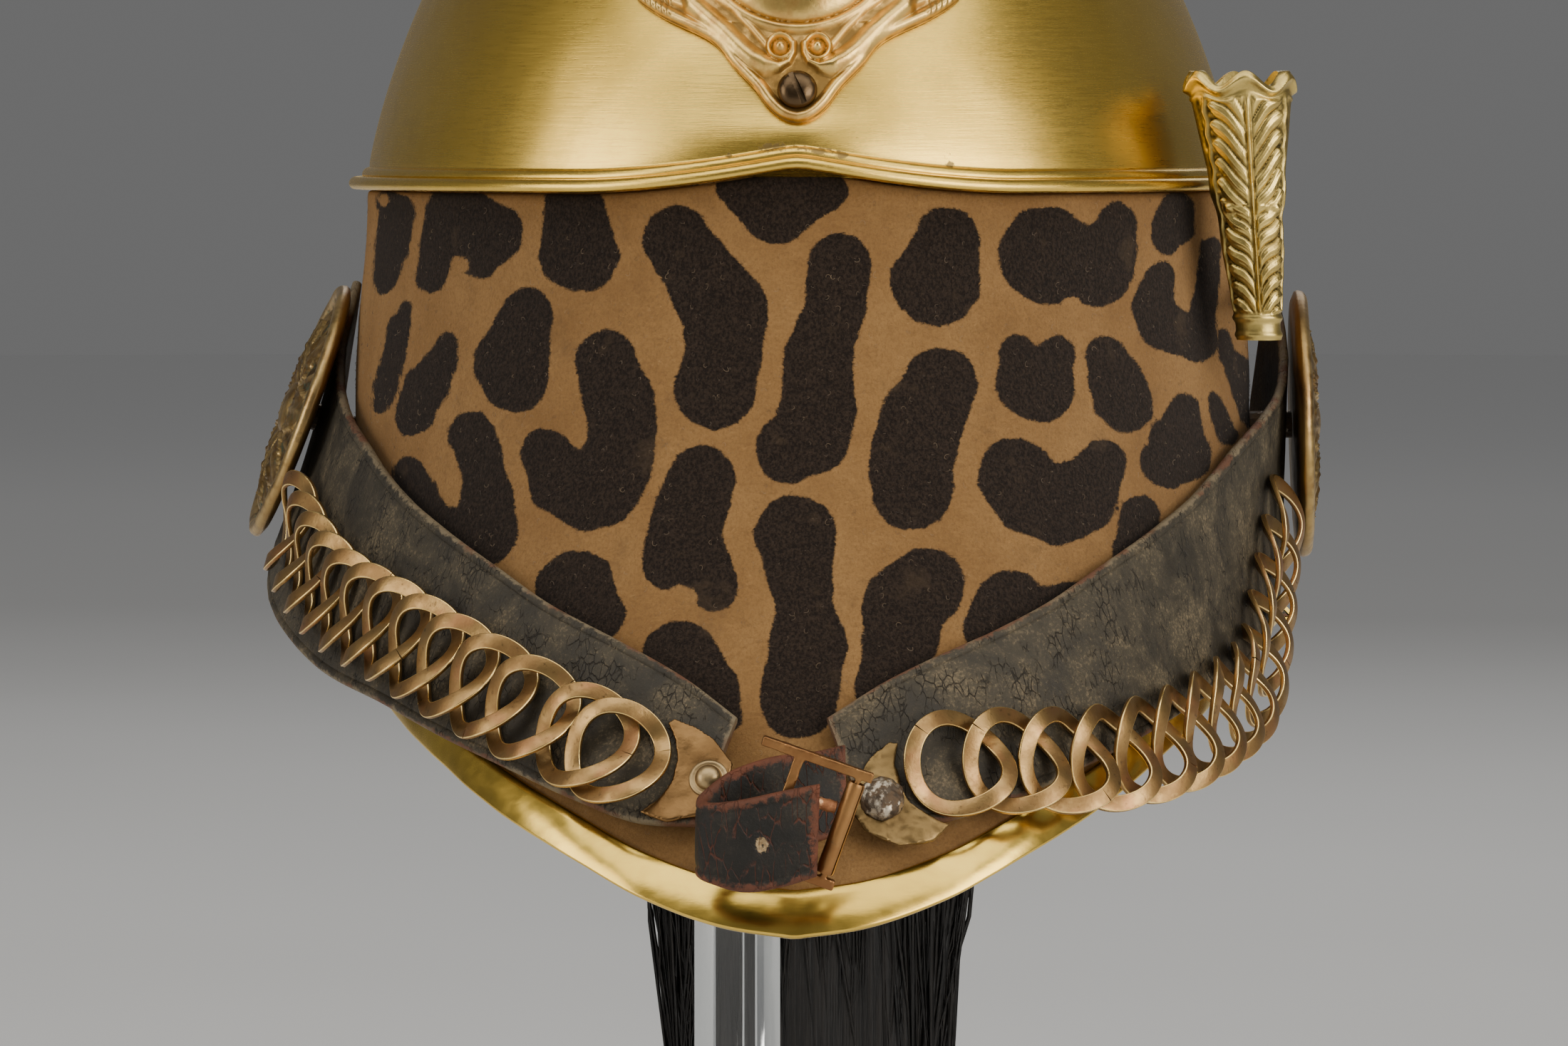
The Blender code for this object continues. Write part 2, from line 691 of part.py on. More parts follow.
def neck_azimuths():
    return [180.0 + i * 360.0 / FELT_COLUMNS for i in range(-NECK_STEPS, NECK_STEPS + 1)]


def signed(azimuth):
    return azimuth if azimuth <= 180.0 else azimuth - 360.0


def build_neck(leather, brass, home):
    rows = (0.0, 0.35, 0.7, 1.0)
    sections = []
    rings = []
    for azimuth in map(signed, neck_azimuths()):
        outer = [neck_point(azimuth, share, 0.0) for share in rows]
        inner = [neck_point(azimuth, share, -NECK_WALL) for share in reversed(rows)]
        rings.append([lifted(point) for point in outer + inner])
        edge = outer[-1]
        up = (neck_point(azimuth, 0.8, 0.0) - edge).normalized()
        sections.append((edge, up, (edge - inner[0]).normalized()))
    add_object("neck_guard", loft_mesh("neck_guard", rings), leather, home)
    rings = folded_strip(sections, BINDING_WALL, NECK_WALL, BINDING_BACK, BINDING_BACK)
    add_object("neck_binding", loft_mesh("neck_binding", rings), brass, home)


def strap_edges(side, along):
    """Upper and lower edge of the strap's inner face at a place along it."""
    way = -1.0 if side == "left" else 1.0
    edges = []
    for edge in ("upper", "lower"):
        azimuth = smooth(STRAP, "along", edge + "_azimuth", along)
        azimuth -= STRAP_REACH[side] * max(0.0, along - STRAP_REACH_FROM) / (1.0 - STRAP_REACH_FROM)
        height = -PEAK_DROP * smooth(STRAP, "along", edge + "_drop", along)
        proud = smooth(STRAP, "along", edge + "_" + side, along) * STRAP_FLARE
        edges.append(wall_point(way * azimuth, height, STRAP_SEAT + proud))
    return edges


def strap_frame(side, along, across):
    """Point on the strap's inner face with its ways along (to the viewer's right), up across and out."""
    low, high = max(0.0, along - STRAP_STEP), min(1.0, along + STRAP_STEP)
    upper, lower = strap_edges(side, along)
    point = upper.lerp(lower, across)
    before = Vector.lerp(*strap_edges(side, low), across)
    after = Vector.lerp(*strap_edges(side, high), across)
    right = (after - before).normalized() * (1.0 if side == "left" else -1.0)
    up = (upper - lower).normalized()
    out = right.cross(up).normalized()
    return point, right, out.cross(right).normalized(), out


def build_strap(side, finish, home):
    rings = []
    for i in range(STRAP_STATIONS):
        along = i / (STRAP_STATIONS - 1)
        upper, lower = strap_edges(side, along)
        out = strap_frame(side, along, 0.5)[3]
        wall = out * STRAP_WALL
        rings.append([lifted(point) for point in (upper, upper + wall, lower + wall, lower)])
    return add_object("strap_" + side, loft_mesh("strap_" + side, rings), finish, home)


class ChainLine:
    """The middle line of a chain over the strap's outer face, read by length from the strap's front end."""

    def __init__(self, side, samples=160):
        self.side = side
        self.stations = []
        length = 0.0
        last = None
        for i in range(samples + 1):
            along = 1.0 - i / samples
            across = smooth(CHAIN_ACROSS, "along", side, along)
            point, _, _, out = strap_frame(side, along, across)
            point = point + out * STRAP_WALL
            length += (point - last).length if last else 0.0
            last = point
            self.stations.append((length, point, out))

    def at(self, length):
        """Point, way to the viewer's right, way up and way out at a length from the front end."""
        rows = self.stations
        i = max([k for k in range(len(rows) - 1) if rows[k][0] <= length], default=0)
        span = rows[i + 1][0] - rows[i][0]
        t = (length - rows[i][0]) / span
        point = rows[i][1].lerp(rows[i + 1][1], t)
        out = rows[i][2].lerp(rows[i + 1][2], min(max(t, 0.0), 1.0)).normalized()
        low, high = max(i - 4, 0), min(i + 5, len(rows) - 1)
        right = (rows[low][1] - rows[high][1]).normalized()
        if self.side == "right":
            right = -right
        up = out.cross(right).normalized()
        return point, right, up, out

    def place(self, length, right_by, up_by, out_by):
        """Bends a flat point round the chain's line: right_by along it, up_by across it, out_by off it."""
        way = -1.0 if self.side == "left" else 1.0
        point, _, up, out = self.at(length + way * right_by)
        return point + up * up_by + out * out_by


def link_lengths(side, line):
    """Lengths from the strap's front end to the rings' middles; the last ones bunch up on the left."""
    boss = boss_matrix(side).translation
    lengths = [CHAIN_FRONT_GAP[side]]
    steps = [LINK_PITCH_CLOSE, LINK_PITCH_OPEN] if side == "left" else []
    reach = line.stations[-1][0]
    while True:
        pitch = steps.pop(0) if steps else LINK_PITCH[side]
        length = lengths[-1] + pitch
        if length > reach or (lifted(line.at(length)[0]) - boss).length < CHAIN_STOP:
            return lengths
        lengths.append(length)


def build_links(side, line, finish, home):
    """Flat rings, each bent like a saddle so that it passes over its neighbour above and under it below."""
    lift = LINK_SEAT + LINK_SADDLE + LINK_WALL / 2
    section = (
        (LINK_OUTER - LINK_BAND, -LINK_WALL / 2),
        (LINK_OUTER, -LINK_WALL / 2),
        (LINK_OUTER, LINK_WALL / 2),
        (LINK_OUTER - LINK_BAND, LINK_WALL / 2),
    )
    for number, length in enumerate(link_lengths(side, line), 1):
        rings = []
        for i in range(LINK_SIDES):
            angle = math.tau * (i + 0.5) / LINK_SIDES
            height = lift - LINK_SADDLE * math.sin(2.0 * angle)
            ring = []
            for radius, off in section:
                right, up = radius * math.cos(angle), radius * math.sin(angle)
                ring.append(lifted(line.place(length, right, up, height + off)))
            rings.append(ring)
        name = f"link_{side}_{number:02d}"
        add_object(name, loft_mesh(name, rings, closed=True), finish, home)


def build_end_plate(side, line, brass, iron, home):
    """Brass plate seated on the leather round the last ring, and its rivet."""
    way = 1.0 if side == "left" else -1.0
    middle = CHAIN_FRONT_GAP[side]
    hollow = LINK_OUTER + PLATE_CLEARANCE
    outline = []
    for i in range(PLATE_HOLLOW_STATIONS):
        share = i / (PLATE_HOLLOW_STATIONS - 1)
        angle = math.radians(PLATE_HOLLOW_LOW + (PLATE_HOLLOW_HIGH - PLATE_HOLLOW_LOW) * share)
        outline.append((hollow * math.cos(angle), hollow * math.sin(angle)))
    outline += [(x * LINK_OUTER, y * LINK_OUTER) for x, y in PLATE_TAIL]
    turn = Matrix.Rotation(math.radians(PLATE_TURN[side]), 2)
    outline = [turn @ Vector(point) for point in outline]
    rings = []
    for off in (SEAT_GAP, SEAT_GAP + PLATE_WALL):
        rings.append([lifted(line.place(middle, way * x, y, off)) for x, y in outline])
    name = "end_plate_" + side
    add_object(name, loft_mesh(name, rings), brass, home)

    name = "rivet_" + side
    seat = PLATE_WALL + 2 * SEAT_GAP
    centre = Vector((way * RIVET_AT[side][0], RIVET_AT[side][1])) * LINK_OUTER
    rings = []
    for row in RIVET_DOME:
        ring = []
        for i in range(RIVET_SIDES):
            angle = math.tau * i / RIVET_SIDES
            x = centre.x + RIVET_RADIUS[side] * row.radius * math.cos(angle)
            y = centre.y + RIVET_RADIUS[side] * row.radius * math.sin(angle)
            ring.append(lifted(line.place(middle, x, y, seat + RIVET_RISE[side] * row.rise)))
        rings.append(ring)
    rings.append([lifted(line.place(middle, *centre, seat + RIVET_RISE[side]))])
    add_object(name, loft_mesh(name, rings), brass if side == "left" else iron, home)


def loop_point(across, off, drop):
    """Point before the peak, off the felt's front at its height."""
    return Vector((across * PEAK_DROP, -felt_front(drop) - off * LOOP_REACH, -drop * PEAK_DROP))


def loop_edges(row):
    upper = loop_point(row.upper_x, row.upper_off, row.upper_drop)
    lower = loop_point(row.lower_x, row.lower_off, row.lower_drop)
    return upper, lower


def build_buckle_strap(finish, home):
    edges = [loop_edges(row) for row in BUCKLE_LOOP]
    middles = [upper.lerp(lower, 0.5) for upper, lower in edges]
    rings = []
    for i, (upper, lower) in enumerate(edges):
        way = (middles[min(i + 1, len(edges) - 1)] - middles[max(i - 1, 0)]).normalized()
        out = way.cross(upper - lower).normalized() * (LOOP_WALL / 2)
        rings.append([lifted(point) for point in (upper - out, upper + out, lower + out, lower - out)])
    return add_object("buckle_strap", loft_mesh("buckle_strap", rings), finish, home)


def buckle_matrix():
    centre = lifted(loop_point(*BUCKLE_PLACE))
    lean = Matrix.Rotation(math.radians(BUCKLE_LEAN), 4, "X")
    return Matrix.Translation(centre) @ lean @ Matrix.Rotation(math.radians(BUCKLE_TURN), 4, "Y")


def window(name, place, left, right, low, finish, home):
    """Opening of the buckle's frame between two places along it, from a low place up to the upper bar."""
    high = BUCKLE_HEIGHT / 2 - BUCKLE_BAR
    size = (right - left, BUCKLE_BAR * 3, high - low)
    spot = place @ Matrix.Translation(((left + right) / 2, 0.0, (low + high) / 2))
    return add_object(name, box_mesh(name, size, spot), finish, home)


def build_buckle(brass, iron, home, cutters):
    """Frame of two long bars joined by two short ones, the split tube on the right one and the tongue."""
    place = buckle_matrix()
    plate = box_mesh("buckle_frame", (BUCKLE_LENGTH, BUCKLE_BAR, BUCKLE_HEIGHT), place)
    frame = add_object("buckle_frame", plate, brass, home)
    low = BUCKLE_BAR - BUCKLE_HEIGHT / 2
    centre_half = BUCKLE_BAR / 2
    roller_half = BUCKLE_ROLLER_BAR / 2
    centre_left, centre_right = BUCKLE_CENTRE_BAR_AT - centre_half, BUCKLE_CENTRE_BAR_AT + centre_half
    roller_left, roller_right = BUCKLE_ROLLER_AT - roller_half, BUCKLE_ROLLER_AT + roller_half
    windows = (
        window("frame_left", place, -BUCKLE_LENGTH, centre_left, -BUCKLE_HEIGHT, brass, home),
        window("frame_middle", place, centre_right, roller_left, low, brass, home),
        window("frame_right", place, roller_right, BUCKLE_LENGTH, low, brass, home),
    )
    combine(frame, windows, "DIFFERENCE", cutters)

    half_length = ROLLER_LENGTH / 2
    inside = ROLLER_RADIUS - ROLLER_WALL
    section = (
        (inside, -half_length),
        (ROLLER_RADIUS, -half_length),
        (ROLLER_RADIUS, half_length),
        (inside, half_length),
    )
    rings = []
    for i in range(ROLLER_SIDES):
        angle = math.tau * i / ROLLER_SIDES
        ring = []
        for radius, up in section:
            ring.append(
                place @ Vector((BUCKLE_ROLLER_AT + radius * math.cos(angle), radius * math.sin(angle), up))
            )
        rings.append(ring)
    add_object("buckle_roller", loft_mesh("buckle_roller", rings, closed=True), brass, home)

    far = BUCKLE_ROLLER_AT - ROLLER_RADIUS - SEAT_GAP
    start = place @ Vector((centre_right + SEAT_GAP, SEAT_GAP, TONGUE_RADIUS * TONGUE_START))
    end = place @ Vector((far, SEAT_GAP * 2, TONGUE_RADIUS * TONGUE_END))
    tongue = cylinder_mesh("buckle_tongue", TONGUE_RADIUS, start, end, TONGUE_SIDES)
    add_object("buckle_tongue", tongue, iron, home)


def boss_matrix(side):
    """Seat of an ear boss: its local Z points out of the boss, its local X down the helmet's side."""
    spot = BOSS_PLACES[side]
    way = -1.0 if side == "left" else 1.0
    tilt = math.radians(spot.tilt)
    turn = math.radians(spot.turn)
    out = Vector((way * math.cos(tilt) * math.cos(turn), -math.cos(tilt) * math.sin(turn), math.sin(tilt)))
    down = Vector((0, 0, -1)) - out * (-out.z)
    down.normalize()
    third = out.cross(down)
    frame = Matrix((down, third, out)).transposed().to_4x4()
    return Matrix.Translation(lifted((spot.across, -spot.forward, -spot.drop))) @ frame


def build_boss(side, finish, home):
    """Pressed roundel with leaves round a berry, on a flat back."""
    place = boss_matrix(side)
    rings = [[place @ Vector((0.0, 0.0, BOSS_RISE))]]
    for row in BOSS_RELIEF:
        ring = []
        for i in range(BOSS_SIDES):
            angle = math.tau * i / BOSS_SIDES
            leaf = row.leaf * math.cos(BOSS_PETALS * angle)
            rise = BOSS_RIM + (BOSS_RISE - BOSS_RIM) * (row.rise + leaf)
            radius = BOSS_RADIUS * row.radius
            ring.append(place @ Vector((radius * math.cos(angle), radius * math.sin(angle), rise)))
        rings.append(ring)
    rings.append([place @ Vector((p.x, p.y, 0.0)) for p in (place.inverted() @ q for q in rings[-1])])
    name = "ear_boss_" + side
    return add_object(name, loft_mesh(name, rings), finish, home)


def build_stud(side, strap, finish, home, cutters):
    """Pin that carries the boss and the strap's end, through a hole in the leather, from the felt wall."""
    place = boss_matrix(side)
    start = place @ Vector((0.0, 0.0, -SEAT_GAP))
    way = -1.0 if side == "left" else 1.0
    out = (place.to_3x3() @ Vector((0, 0, 1))).normalized()
    reach = 0.0
    clear = True
    while clear and reach < STUD_MOST:
        reach += STUD_STEP
        for k in range(STUD_SIDES):
            angle = math.tau * k / STUD_SIDES
            around = place.to_3x3() @ Vector((math.cos(angle), math.sin(angle), 0.0))
            edge = start - out * reach + around * STUD_RADIUS
            share = max(-1.0, min(1.0, -edge.y / FELT_TOP_DEPTH))
            azimuth = way * math.degrees(math.acos(share))
            wall = wall_point(azimuth, edge.z - RIM_HEIGHT)
            if abs(edge.x) - abs(wall.x) < SEAT_GAP:
                clear = False
    end = start - out * (reach - STUD_STEP)
    stud = cylinder_mesh("ear_stud", STUD_RADIUS, start, end, STUD_SIDES)
    add_object("ear_stud_" + side, stud, finish, home)
    hole_radius = STUD_RADIUS + STUD_CLEARANCE
    mesh = cylinder_mesh("strap_hole", hole_radius, start + out * STUD_HOLE_START, end, STUD_SIDES)
    hole = add_object("strap_hole_" + side, mesh, finish, home)
    combine(strap, [hole], "DIFFERENCE", cutters)


def build_crest(finish, home):
    """Brass comb over the skull, its foot following the dome."""
    rings = []
    front = CREST[0].forward
    span = CREST[-1].forward - front
    for i in range(CREST_STATIONS):
        forward = front + span * i / (CREST_STATIONS - 1)
        row = CrestRow(forward, *(smooth(CREST, "forward", name, forward) for name in CrestRow._fields[1:]))
        y = forward * SKULL_HALF_LENGTH
        half = CREST_BASE_HALF * row.base
        top_half = CREST_TOP_HALF * row.top
        foot = []
        for share in (-1.0, -0.5, 0.0, 0.5, 1.0):
            x = half * share
            foot.append(Vector((x, y, skull_height_at(x, y) + SEAT_ON_FACETS)))
        middle = Vector((0.0, y, skull_height_at(0.0, y)))
        top = middle + Vector((0.0, row.lean, 1.0)) * (CREST_HEIGHT * row.height)
        waist = middle.lerp(top, CREST_WAIST)
        shoulder = middle.lerp(top, CREST_SHOULDER)
        to_waist = Vector((half * CREST_WAIST_WIDTH, 0, 0))
        to_shoulder = Vector((top_half, 0, 0))
        to_ridge = to_shoulder * CREST_RIDGE_WIDTH
        ring = foot + [waist + to_waist, shoulder + to_shoulder, top + to_ridge]
        ring += [top - to_ridge, shoulder - to_shoulder, waist - to_waist]
        rings.append([lifted(point) for point in ring])
    return add_object("crest", loft_mesh("crest", rings), finish, home)


def plate_point(height, x, proud):
    """Point over the skull's front, off its face by the seat and a rise."""
    return lifted(skull_front_at(x, height, SEAT_ON_FACETS + proud))


def medallion_rise(height, x):
    size = PLATE_HIGH - PLATE_LOW
    up = (height - PLATE_LOW) / size - MEDALLION_MIDDLE
    reach = (x / (MEDALLION_HALF_WIDTH * size)) ** 2 + (up / MEDALLION_HALF_HEIGHT) ** 2
    return MEDALLION_RISE * math.sqrt(1.0 - reach) if reach < 1.0 else 0.0


def volute_tools(sign, finish, home):
    """One scroll of the front plate: a round eye and the arm that rises outwards from it."""
    side = "left" if sign < 0 else "right"
    eye_x = sign * VOLUTE_RADIUS * VOLUTE_SPREAD
    sunk = -SEAT_ON_FACETS / 2
    low = plate_point(VOLUTE_HEIGHT, eye_x, sunk)
    high = plate_point(VOLUTE_HEIGHT, eye_x, FRONT_PLATE_WALL + VOLUTE_RISE)
    low = high + (low - high) * VOLUTE_DEPTH
    mesh = cylinder_mesh("volute", VOLUTE_RADIUS, low, high, VOLUTE_SIDES)
    eye = add_object("volute_" + side, mesh, finish, home)
    rings = []
    for right, up in VOLUTE_ARM:
        x = eye_x + sign * right * VOLUTE_RADIUS
        height = VOLUTE_HEIGHT + up * VOLUTE_RADIUS
        half = VOLUTE_RADIUS * VOLUTE_ARM_HALF
        ring = []
        for off, rise in ((-half, VOLUTE_ARM_EDGE), (0.0, 1.0), (half, VOLUTE_ARM_EDGE)):
            ring.append(plate_point(height + off, x, FRONT_PLATE_WALL + VOLUTE_RISE * rise))
        ring.append(plate_point(height, x, FRONT_PLATE_WALL * VOLUTE_ARM_ROOT))
        rings.append(ring)
    name = "volute_arm_" + side
    return [eye, add_object(name, loft_mesh(name, rings), finish, home)]


def build_front_plate(finish, home, cutters):
    """Cast plate at the crest's foot: raised border, the foot of an oval boss and two scrolls."""
    size = PLATE_HIGH - PLATE_LOW
    across = [(-row.across, row.rise) for row in PLATE_BORDER[:-1]]
    across += [(row.across, row.rise) for row in reversed(PLATE_BORDER)]
    rings = []
    for row in FRONT_PLATE:
        height = PLATE_LOW + size * row.height
        half = PLATE_HALF_WIDTH * row.half_width
        front = []
        back = []
        for share, rise in across:
            x = half * share
            proud = FRONT_PLATE_WALL + FRONT_PLATE_RELIEF * rise
            if abs(share) < 0.9:
                proud = max(proud, FRONT_PLATE_WALL + medallion_rise(height, x))
            front.append(plate_point(height, x, proud))
            back.append(plate_point(height, x, 0.0))
        rings.append(front + back[::-1])
    plate = add_object("crest_front_plate", loft_mesh("crest_front_plate", rings), finish, home)
    tools = volute_tools(-1.0, finish, home) + volute_tools(1.0, finish, home)
    combine(plate, tools, "UNION", cutters)
    return plate


def build_plate_screw(finish, home, cutters):
    """Slotted dome screw in the plate's tip."""
    height = PLATE_LOW + SCREW_UP
    seat = FRONT_PLATE_WALL + FRONT_PLATE_RELIEF * SCREW_FLOOR + SEAT_GAP
    centre = plate_point(height, 0.0, seat)
    out = (plate_point(height, 0.0, seat + SCREW_RISE) - centre).normalized()
    place = Matrix.Translation(centre) @ out.to_track_quat("Z", "Y").to_matrix().to_4x4()
    rings = []
    for row in SCREW_DOME:
        ring = []
        for i in range(SCREW_SIDES):
            angle = math.tau * i / SCREW_SIDES
            x = SCREW_RADIUS * row.radius * math.cos(angle)
            y = SCREW_RADIUS * row.radius * math.sin(angle)
            ring.append(place @ Vector((x, y, SCREW_RISE * row.rise)))
        rings.append(ring)
    rings.append([place @ Vector((0, 0, SCREW_RISE))])
    screw = add_object("plate_screw", loft_mesh("plate_screw", rings), finish, home)
    turn = Matrix.Rotation(math.radians(SCREW_SLOT_TURN), 4, "Z")
    slot = place @ Matrix.Translation((0, 0, SCREW_RISE)) @ turn
    mesh = box_mesh("screw_slot", (SCREW_RADIUS * 3, SCREW_SLOT, SCREW_RISE), slot)
    cutter = add_object("screw_slot", mesh, finish, home)
    combine(screw, [cutter], "DIFFERENCE", cutters)


def mane_back():
    """How far back the hanging hair clears the skull's rim and the neck flap."""
    return max(SKULL_HALF_LENGTH + RIM_ROLL_PROUD + MANE_CLEARANCE, FELT_BACK_DEPTH + NECK_FLARE)


def mane_point(row):
    y = row.over * SKULL_HALF_LENGTH + row.behind * mane_back()
    height = skull_height_at(0.0, y) + row.lift * CREST_HEIGHT - row.drop * MANE_LENGTH
    return Vector((0.0, y, height))


def build_mane(finish, home, cutters):
    """Horsehair tail: a fluted body fused to its backing along the crest, ending in separate locks."""
    count = 4 * MANE_FLUTES
    middles = [mane_point(row) for row in MANE]
    rings = []
    for k, row in enumerate(MANE):
        way = (middles[min(k + 1, len(MANE) - 1)] - middles[max(k - 1, 0)]).normalized()
        back = Vector((1, 0, 0)).cross(way).normalized()
        ring = []
        for i in range(count):
            angle = math.tau * i / count
            flute = 1.0 + MANE_FLUTE_DEPTH * math.cos(MANE_FLUTES * 2 * angle) * min(1.0, k / 4)
            x = MANE_HALF_WIDTH * row.half_width * math.cos(angle)
            off = MANE_HALF_DEPTH * row.half_depth * math.sin(angle) * flute
            ring.append(lifted(middles[k] + Vector((x, 0, 0)) + back * off))
        rings.append(ring)
    body = add_object("mane", loft_mesh("mane", rings), finish, home)
    tools = []
    for number, lock in enumerate(LOCKS):
        rings = []
        for k in range(LOCK_STEPS):
            share = k / (LOCK_STEPS - 1)
            drop = LOCK_ROOT + (lock.drop - LOCK_ROOT) * share
            x = lock.across * MANE_HALF_WIDTH + lock.sway * MANE_LENGTH * share**2
            centre = Vector((x, LOCK_BEHIND * mane_back(), -drop * MANE_LENGTH))
            girth = lock.girth * MANE_HALF_WIDTH * (1.0 - LOCK_TAPER * share**LOCK_TAPER_POWER)
            ring = []
            for i in range(LOCK_SIDES):
                angle = math.tau * i / LOCK_SIDES
                off = Vector((girth * math.cos(angle), girth * LOCK_FLATNESS * math.sin(angle), 0.0))
                ring.append(lifted(centre + off))
            rings.append(ring)
        tools.append(add_object(f"lock_{number}", loft_mesh("lock", rings), finish, home))
    combine(body, tools, "UNION", cutters)
    return body


def holder_axis(share):
    foot = Vector(HOLDER_FOOT)
    return foot + Vector((HOLDER_LEAN * share, 0.0, HOLDER_HEIGHT * share))


def build_holder(finish, home):
    """Cast tapered tube with a ribbed leaf on it, open at the top with three lobes, and its hidden lug."""

    def ring(row, inset, relief):
        points = []
        centre = holder_axis(row.height)
        for i in range(HOLDER_SIDES):
            angle = math.tau * i / HOLDER_SIDES
            radius = HOLDER_TOP_HALF * row.half_width - inset
            rib = HOLDER_FRONT_RIB if i == 0 else 0.0
            radius += relief * HOLDER_RELIEF * (math.cos(HOLDER_RIBS * angle) + rib)
            x = radius * math.sin(angle)
            y = -radius * HOLDER_FLAT * math.cos(angle)
            lobe = HOLDER_LOBE * math.cos(HOLDER_LOBES * angle) if row is HOLDER[-1] else 0.0
            points.append(lifted(centre + Vector((x, y, lobe))))
        return points

    rings = [ring(row, 0.0, 1.0) for row in HOLDER]
    inner = [row for row in HOLDER if row.height > HOLDER_FLOOR]
    rings += [ring(row, HOLDER_WALL + HOLDER_RELIEF, 0.0) for row in reversed(inner)]
    rings.append([lifted(holder_axis(HOLDER_FLOOR))])
    rings.insert(0, [lifted(holder_axis(0.0))])
    add_object("plume_holder", loft_mesh("plume_holder", rings), finish, home)

    centre = holder_axis(LUG_AT)
    start = wall_point(LUG_AZIMUTH, centre.z, LUG_RADIUS + SEAT_GAP)
    depth = HOLDER_TOP_HALF * HOLDER_FLAT * LUG_SEAT
    end = centre + Vector((0.0, depth + HOLDER_RELIEF + SEAT_GAP, 0.0))
    mesh = cylinder_mesh("holder_lug", LUG_RADIUS, lifted(start), lifted(end), LUG_SIDES)
    add_object("holder_lug", mesh, finish, home)


def build_stand(finish, home):
    """Clear foot, square post turned on it and the pad under the skull's crown."""
    middle = Matrix.Translation((0, 0, FOOT_WALL / 2))
    foot = box_mesh("stand_foot", (FOOT_WIDTH, FOOT_DEPTH, FOOT_WALL), middle)
    add_object("stand_foot", foot, finish, home)
    far = abs(POST_X) + PAD_RADIUS
    pad_top = RIM_HEIGHT + skull_height_at(far, 0.0, SKULL_WALL * 2) - SEAT_ON_FACETS
    pad_low = pad_top - PAD_WALL
    pad = cylinder_mesh("stand_pad", PAD_RADIUS, (POST_X, 0, pad_low), (POST_X, 0, pad_top), PAD_SIDES)
    add_object("stand_pad", pad, finish, home)
    low = FOOT_WALL + SEAT_GAP
    high = pad_low - SEAT_GAP
    turn = Matrix.Rotation(math.radians(POST_TURN), 4, "Z")
    place = Matrix.Translation((POST_X, 0, (low + high) / 2)) @ turn
    post = box_mesh("stand_post", (POST_SIDE, POST_SIDE, high - low), place)
    add_object("stand_post", post, finish, home)


def main():
    clear_scene()
    home = collection("dragoon_helmet")
    cutters = collection("cutters")
    skull_brass = material("skull_brass", (0.62, 0.46, 0.19), 0.32, 1.0)
    bright_brass = material("bright_brass", (0.74, 0.56, 0.22), 0.26, 1.0)
    cast_brass = material("cast_brass", (0.60, 0.42, 0.20), 0.40, 1.0)
    link_brass = material("link_brass", (0.42, 0.28, 0.14), 0.38, 1.0)
    felt = material("spotted_felt", (0.40, 0.27, 0.15), 0.95, 0.0)
    leather = material("black_leather", (0.06, 0.055, 0.05), 0.62, 0.0)
    iron = material("dark_iron", (0.16, 0.13, 0.11), 0.55, 0.9)
    hair = material("black_horsehair", (0.02, 0.02, 0.022), 0.50, 0.0)
    clear = material("clear_acrylic", (0.90, 0.93, 0.94), 0.05, 0.0, 0.35)

    build_skull(skull_brass, home)
    build_felt(felt, home)
    build_peak_binding(bright_brass, home)
    build_neck(leather, bright_brass, home)
    for side in ("left", "right"):
        strap = build_strap(side, leather, home)
        build_boss(side, link_brass, home)
        build_stud(side, strap, iron, home, cutters)
        line = ChainLine(side)
        build_links(side, line, link_brass, home)
        build_end_plate(side, line, link_brass, iron, home)
    build_buckle_strap(leather, home)
    build_buckle(link_brass, iron, home, cutters)
    build_crest(cast_brass, home)
    build_front_plate(cast_brass, home, cutters)
    build_plate_screw(iron, home, cutters)
    build_mane(hair, home, cutters)
    build_holder(cast_brass, home)
    build_stand(clear, home)


main()
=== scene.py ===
"""Looks of a brass dragoon helmet with a leopard-spotted felt turban, on its clear stand.

Metres, +Z up, the helmet's front towards -Y. Helmet heights are counted from the skull's rim.
"""

import json
import math
from collections import namedtuple

import bmesh
import bpy
import numpy as np
from mathutils import Matrix, Vector, noise

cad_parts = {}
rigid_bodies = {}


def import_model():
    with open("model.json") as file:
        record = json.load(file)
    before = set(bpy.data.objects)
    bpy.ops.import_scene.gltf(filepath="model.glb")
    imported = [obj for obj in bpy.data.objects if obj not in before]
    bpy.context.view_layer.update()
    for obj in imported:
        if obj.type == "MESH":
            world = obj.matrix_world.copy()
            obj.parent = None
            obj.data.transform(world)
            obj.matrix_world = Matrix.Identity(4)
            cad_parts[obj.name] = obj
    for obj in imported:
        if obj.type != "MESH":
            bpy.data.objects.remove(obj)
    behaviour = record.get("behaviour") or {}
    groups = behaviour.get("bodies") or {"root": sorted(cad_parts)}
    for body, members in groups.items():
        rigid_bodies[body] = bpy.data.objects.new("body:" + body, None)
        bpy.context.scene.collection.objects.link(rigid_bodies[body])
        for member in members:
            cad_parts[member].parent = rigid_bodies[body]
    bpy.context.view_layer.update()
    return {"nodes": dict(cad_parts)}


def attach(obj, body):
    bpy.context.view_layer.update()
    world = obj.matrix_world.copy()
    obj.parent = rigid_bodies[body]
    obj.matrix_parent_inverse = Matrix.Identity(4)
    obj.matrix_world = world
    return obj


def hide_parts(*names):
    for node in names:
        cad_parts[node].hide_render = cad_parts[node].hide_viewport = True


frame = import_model()
NODES = frame["nodes"]

# How near points are merged, and the bend below which faceted faces count as one
MERGE = 1e-6
CAD_MERGE = 1e-5
FLAT_ENOUGH = math.radians(0.5)

# Sizes of the whole, as the construction has them
RIM_HEIGHT = 0.400
SEAT_GAP = 0.0003
SEAT_ON_FACETS = 0.0005

